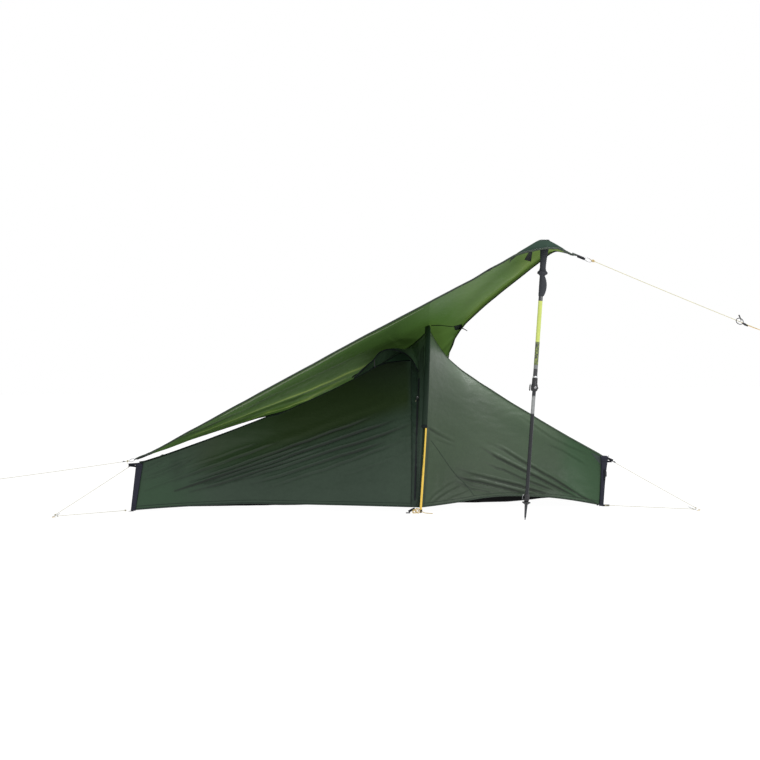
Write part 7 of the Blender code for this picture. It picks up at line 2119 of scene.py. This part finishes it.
bars = [tube_piece(f"buckle_bar_{q}", [bc + np.array((dx_, y_, 0.0003)) for y_ in np.linspace(-0.0066, 0.0066, 8)], 0.0014, M_BLACK, 8) for q, dx_ in enumerate((-0.0028, 0.0034))]
put(merged("base_ladder_buckle", [frame_] + bars), "tent", ("base_buckle_near",))
# the tail of the buckle's cord lies on the ground beside the foot
tl = smooth_curve([base + np.array(q) for q in ((0.004, -0.010, 0), (0.018, -0.020, 0), (0.034, -0.030, 0), (0.046, -0.040, 0), (0.058, -0.048, 0))], 40)
tl[:, 2] = 0.0019 + 0.0050 * np.exp(-((np.arange(40) - 2) / 7.0) ** 2)
put(tube_piece("base_cord_tail", tl, 0.0019, M_CREAM, 8), "tent")
for nm, thd_ in (("near", 1.0), ("far", 179.0)):
    e_ = hoop_point(math.radians(thd_))
    pf = [(0.0006, -0.0012), (0.0056, -0.0010), (0.0068, -0.0026), (0.0071, -0.0050), (0.0064, -0.0058), (0.0064, -0.0066), (0.0071, -0.0076), (0.0070, -0.0115),
          (0.0060, -0.0140), (0.0045, -0.0163), (0.0006, -0.0165)]
    put(lathe_piece(f"hoop_base_cap_{nm}", pf, e_, e_ + np.array((0, 0, 1.0)), M_BLACK, 36), "tent", (f"hoop_foot_{nm}",))
# webbing that ties the hoop's foot to the fly
for nm, thd_, sy_ in (("near", 1.0, 1), ("far", 179.0, -1)):
    e_ = hoop_point(math.radians(thd_))
    i_ = hoop_point(math.radians(1.2 if sy_ > 0 else 178.8), EDGE)
    a_, b_ = np.array((i_[0], i_[1], 0.016)), np.array((e_[0], e_[1], 0.0050))
    put(ribbon(f"hoop_base_strap_{nm}", [a_ * (1 - t) + b_ * t + np.array((0, -0.0085 * sy_ * t, 0.002 * math.sin(math.pi * t))) for t in np.linspace(-0.3, 1, 18)], FX, 0.015, 0.0020, M_WEB), "tent")


def peg_piece(name, at_, shaft_, node):
    d = unit(shaft_)
    s = unit(np.cross(d, (0, 0, 1)))
    pts = [at_ + s * 0.015, at_ + s * 0.0140 - d * 0.008, at_ + s * 0.006 - d * 0.014, at_ - s * 0.004 - d * 0.012,
           at_ - s * 0.008, at_ - s * 0.008 + d * 0.02, at_ - s * 0.008 + d * (PEG_LEN - 0.015)]
    pts = smooth_curve(pts, 90)
    pts[:, 2] = 0.0021
    rad = np.full(90, 0.0020)
    rad[-7:] = np.linspace(0.0019, 0.0005, 7)
    ob = tube_piece(name + "_bar", pts, rad, M_ALU, 14)
    # pull loop of cord through the hook
    lc = at_ + s * 0.003 - d * 0.016
    lp_ = [np.array((lc[0], lc[1], 0.0026)) + (-d * 0.010 * (1 - math.cos(w)) + s * 0.0075 * math.sin(w)) + np.array((0, 0, 0.0010 * math.sin(w))) for w in np.linspace(0, 2 * math.pi, 30, endpoint=False)]
    put(ob, "tent", (node,))
    put(tube_piece(name + "_loop", lp_, 0.0010, M_CREAM, 8, closed=True), "tent")


for nm, at_, d_ in (("peg_foot", FOOT_PEG, (0.0, 1.0, 0)), ("peg_head", HEAD_PEG, (0.0, 1.0, 0)), ("peg_foot_far", FOOT_PEG_FAR, (-0.2, 1.0, 0)),
                    ("peg_head_far", HEAD_PEG_FAR, (0.2, 1.0, 0)), ("peg_back", BACK_PEG, (0.0, 1.0, 0))):
    peg_piece(nm + "_hook", at_, d_, nm)

# ==================================================================================
# Inner tent
# ==================================================================================
XF, XH = -1.235, 1.085


def section(x):
    pts = []
    halves = (g_front_foot, g_back_foot) if x - ORIGIN[0] < g_front_foot[-1, 0, 0] else (g_front_head, g_back_head)
    for g in halves:
        for j in range(g.shape[1]):
            o = np.argsort(g[:, j, 0])
            pts.append([x - ORIGIN[0]] + [float(np.interp(x - ORIGIN[0], g[o, j, 0], g[o, j, q])) for q in (1, 2)])
    return np.array(pts)


def inner_edges(t):
    x = XF + (XH - XF) * t
    sec = section(x)
    near = max(-0.385 + 0.025 * math.sin(math.pi * t), sec[0, 1] + ORIGIN[1] + 0.055)
    far = sec[-1, 1] + ORIGIN[1] - 0.060
    for y, z in sec[-7:, 1:]:
        if z < 0.11:
            far = min(far, y + ORIGIN[1] - 0.045)
    return x, near, far


nx, ny = 13, 8
tub = np.zeros((nx, ny, 3))
for i in range(nx):
    ti = min(max((i - 1) / (nx - 3), 0.0), 1.0)
    for j in range(ny):
        x, near, far = inner_edges(ti)
        s = min(max((j - 1) / (ny - 3), 0.0), 1.0)
        y = near * (1 - s) + far * s
        z = 0.0009 + max(0.0, 1 - s / 0.35) ** 2 * (0.010 + 0.030 * max(0.0, (x - 0.45) / 0.6) ** 1.2)
        if i in (0, nx - 1) or j in (0, ny - 1):
            z = 0.080
            x += -0.010 if i == 0 else 0.010 if i == nx - 1 else 0.0
            y += -0.010 if j == 0 else 0.006 if j == ny - 1 else 0.0
        tub[i, j] = arr((x, y, z))
# finer, keeping the tub's upright sides crisp
core = refine(tub[1:-1, 1:-1], 120, 60)
core = np.where(core[..., 2:3] < 0.0009, np.concatenate([core[..., :2], np.full(core.shape[:2] + (1,), 0.0009)], axis=2), core)
core[..., 2] += np.clip(0.0010 * ripples(core, 0.07, 3.3), 0, 1)
TUB_PX = [(440, 504), (450, 503.2), (460, 502.5), (484, 502.6), (492, 502.4), (500, 502.0), (508, 501.7), (516, 501.0), (524, 500.3), (532, 499.4), (540, 498.3), (550, 497.6), (556, 496.8),
          (564, 497.4), (572, 498.6), (580, 500.0), (588, 501.8), (600, 504.5)]
core = above_line(core, TUB_PX, 456, 592)
walls = []


def tub_wall(name, base_row, top_row, n_, seed):
    m = 10
    base_row, top_row = np.array(base_row), np.array(top_row)
    top_row = resample(smooth_curve(top_row, 200), n_)
    g = np.array([[base_row[i] * (1 - t) + top_row[i] * t + np.array((0, 0, 0.0)) for t in np.linspace(0, 1, m)] for i in range(n_)])
    nn = normals_of(g)
    g = g + nn * (0.0018 * ripples(g, 0.06, seed) * np.sin(np.linspace(0, math.pi, m))[None, :])[..., None]
    return above_line(g, TUB_PX, 456, 592)


tub_pieces = [grid_piece("tub_bottom", core, M_TUB, attrs={"tint": np.zeros(core.shape[:2])})]
for nm, b_, t_, sd_ in (("a", core[:, 0], tub[1:-1, 0], 1.0), ("b", core[:, -1], tub[1:-1, -1], 2.0), ("c", core[0, :], tub[0, 1:-1], 3.0), ("d", core[-1, :], tub[-1, 1:-1], 4.0)):
    g = tub_wall(nm, b_, t_, len(b_), sd_)
    tub_pieces.append(grid_piece("tub_wall_" + nm, g, M_TUB, attrs={"tint": np.zeros(g.shape[:2])}))
floor_tub = put(merged("inner_tub", tub_pieces), "tent", ("inner_floor",))

cnx, cny = 13, 11
canopy = np.zeros((cnx, cny, 3))
for i in range(cnx):
    ti = min(max((i - 1) / (cnx - 3), 0.0), 1.0)
    x, near, far = inner_edges(ti)
    sec = section(x)
    arc = resample(sec, cny - 2)
    for j in range(cny):
        if i in (0, cnx - 1) or j in (0, cny - 1):
            s = min(max((j - 1) / (cny - 3), 0.0), 1.0)
            y, z = near * (1 - s) + far * s, 0.0825
            xx = x + (-0.008 if i == 0 else 0.008 if i == cnx - 1 else 0.0)
            y += -0.004 if j == 0 else 0.004 if j == cny - 1 else 0.0
        else:
            xx = x
            y = arc[j - 1, 1] + ORIGIN[1]
            mid = 0.5 * (near + far)
            y = mid + (y - mid) * 0.86
            y = min(max(y, near), far)
            z = max(0.0900, arc[j - 1, 2] * 0.90 - 0.012)
        canopy[i, j] = arr((xx, y, z))
GC = np.array(canopy)
# finer, and kept no lower than the rim's height
GC = refine(GC, 145, 121)
lowc = np.array([np.interp(np.linspace(0, 12, 145), np.arange(13), canopy[:, j, 2]) for j in range(11)]).T
GC[..., 2] = np.maximum(GC[..., 2], 0.0822)
NC = normals_of(GC, (0, 0, 1))
GC = GC - NC * (0.0012 + 0.0010 * ripples(GC, 0.08, 2.9))[..., None] * edge_mask(145, 121, 0.05, 0.05, 0.05, 0.05)[..., None]
canopy_ob = put(grid_piece("inner_canopy_cloth", GC, M_INNER, attrs={"tint": np.zeros(GC.shape[:2])}), "tent", ("inner_canopy",))


# ==================================================================================
# Sheets: what each panel was cut to
# ==================================================================================
def area_of(G_):
    a_ = G_[1:, :-1] - G_[:-1, :-1]
    b_ = G_[:-1, 1:] - G_[:-1, :-1]
    c_ = G_[1:, 1:] - G_[:-1, :-1]
    return float(0.5 * (np.linalg.norm(np.cross(a_, c_), axis=2) + np.linalg.norm(np.cross(c_, b_), axis=2)).sum())


SHEETS = {}
for ob_, G_, flat_, on_ in (
        (door, G_DOOR, (1.02, 1.52), ["hoop_section_near", "foot_strut_near"]),
        (right, G_HEAD, (1.02, 1.02), ["hoop_section_near", "head_strut_near"]),
        (back_f, G_BF, (1.30, 1.55), ["hoop_section_far", "foot_strut_far"]),
        (back_h, G_BH, (1.32, 1.05), ["hoop_section_far", "head_strut_far"]),
        (end_f_ob, G_EF, (0.26, 0.63), ["foot_strut_near", "foot_strut_far"]),
        (end_h_ob, G_EH, (0.26, 0.63), ["head_strut_near", "head_strut_far"]),
        (tarp_f, G_TF, (1.60, 2.00), ["hoop_sleeve"]),
        (tarp_h, G_TH, (1.50, 1.05), ["hoop_sleeve", "grip_upper"])):
    A_ = area_of(G_)
    SHEETS[ob_.name] = A_
    print("SHEET", ob_.name, round(A_, 3), flat_, round(flat_[0] * flat_[1], 3))


# ==================================================================================
# Floor and finish
# ==================================================================================
bm = bmesh.new()
bmesh.ops.create_grid(bm, x_segments=1, y_segments=1, size=60.0)
me = bpy.data.meshes.new("studio_floor")
bm.to_mesh(me)
bm.free()
floor = bpy.data.objects.new("studio_floor", me)
floor.location = (0.0, 0.0, -0.0012)
scene.collection.objects.link(floor)
k = Nodes("pale_floor")
grain = k.noise(k.coords("Object"), 3.0, 3.0)
fcol = k.mix(grain, (0.93, 0.93, 0.93), (0.96, 0.96, 0.96))
fp = k.n("ShaderNodeBsdfPrincipled", Base__Color=fcol)
fp.inputs["Roughness"].default_value = 0.9
fp.inputs["Specular IOR Level"].default_value = 0.1
fe = k.n("ShaderNodeEmission", Color=(1.0, 1.0, 1.0, 1.0), Strength=1.06)
fm = k.n("ShaderNodeMixShader", i0=0.93, i1=fp.outputs[0], i2=fe.outputs[0])
k.t.links.new(fm.outputs[0], k.out.inputs["Surface"])
me.materials.append(k.mat)
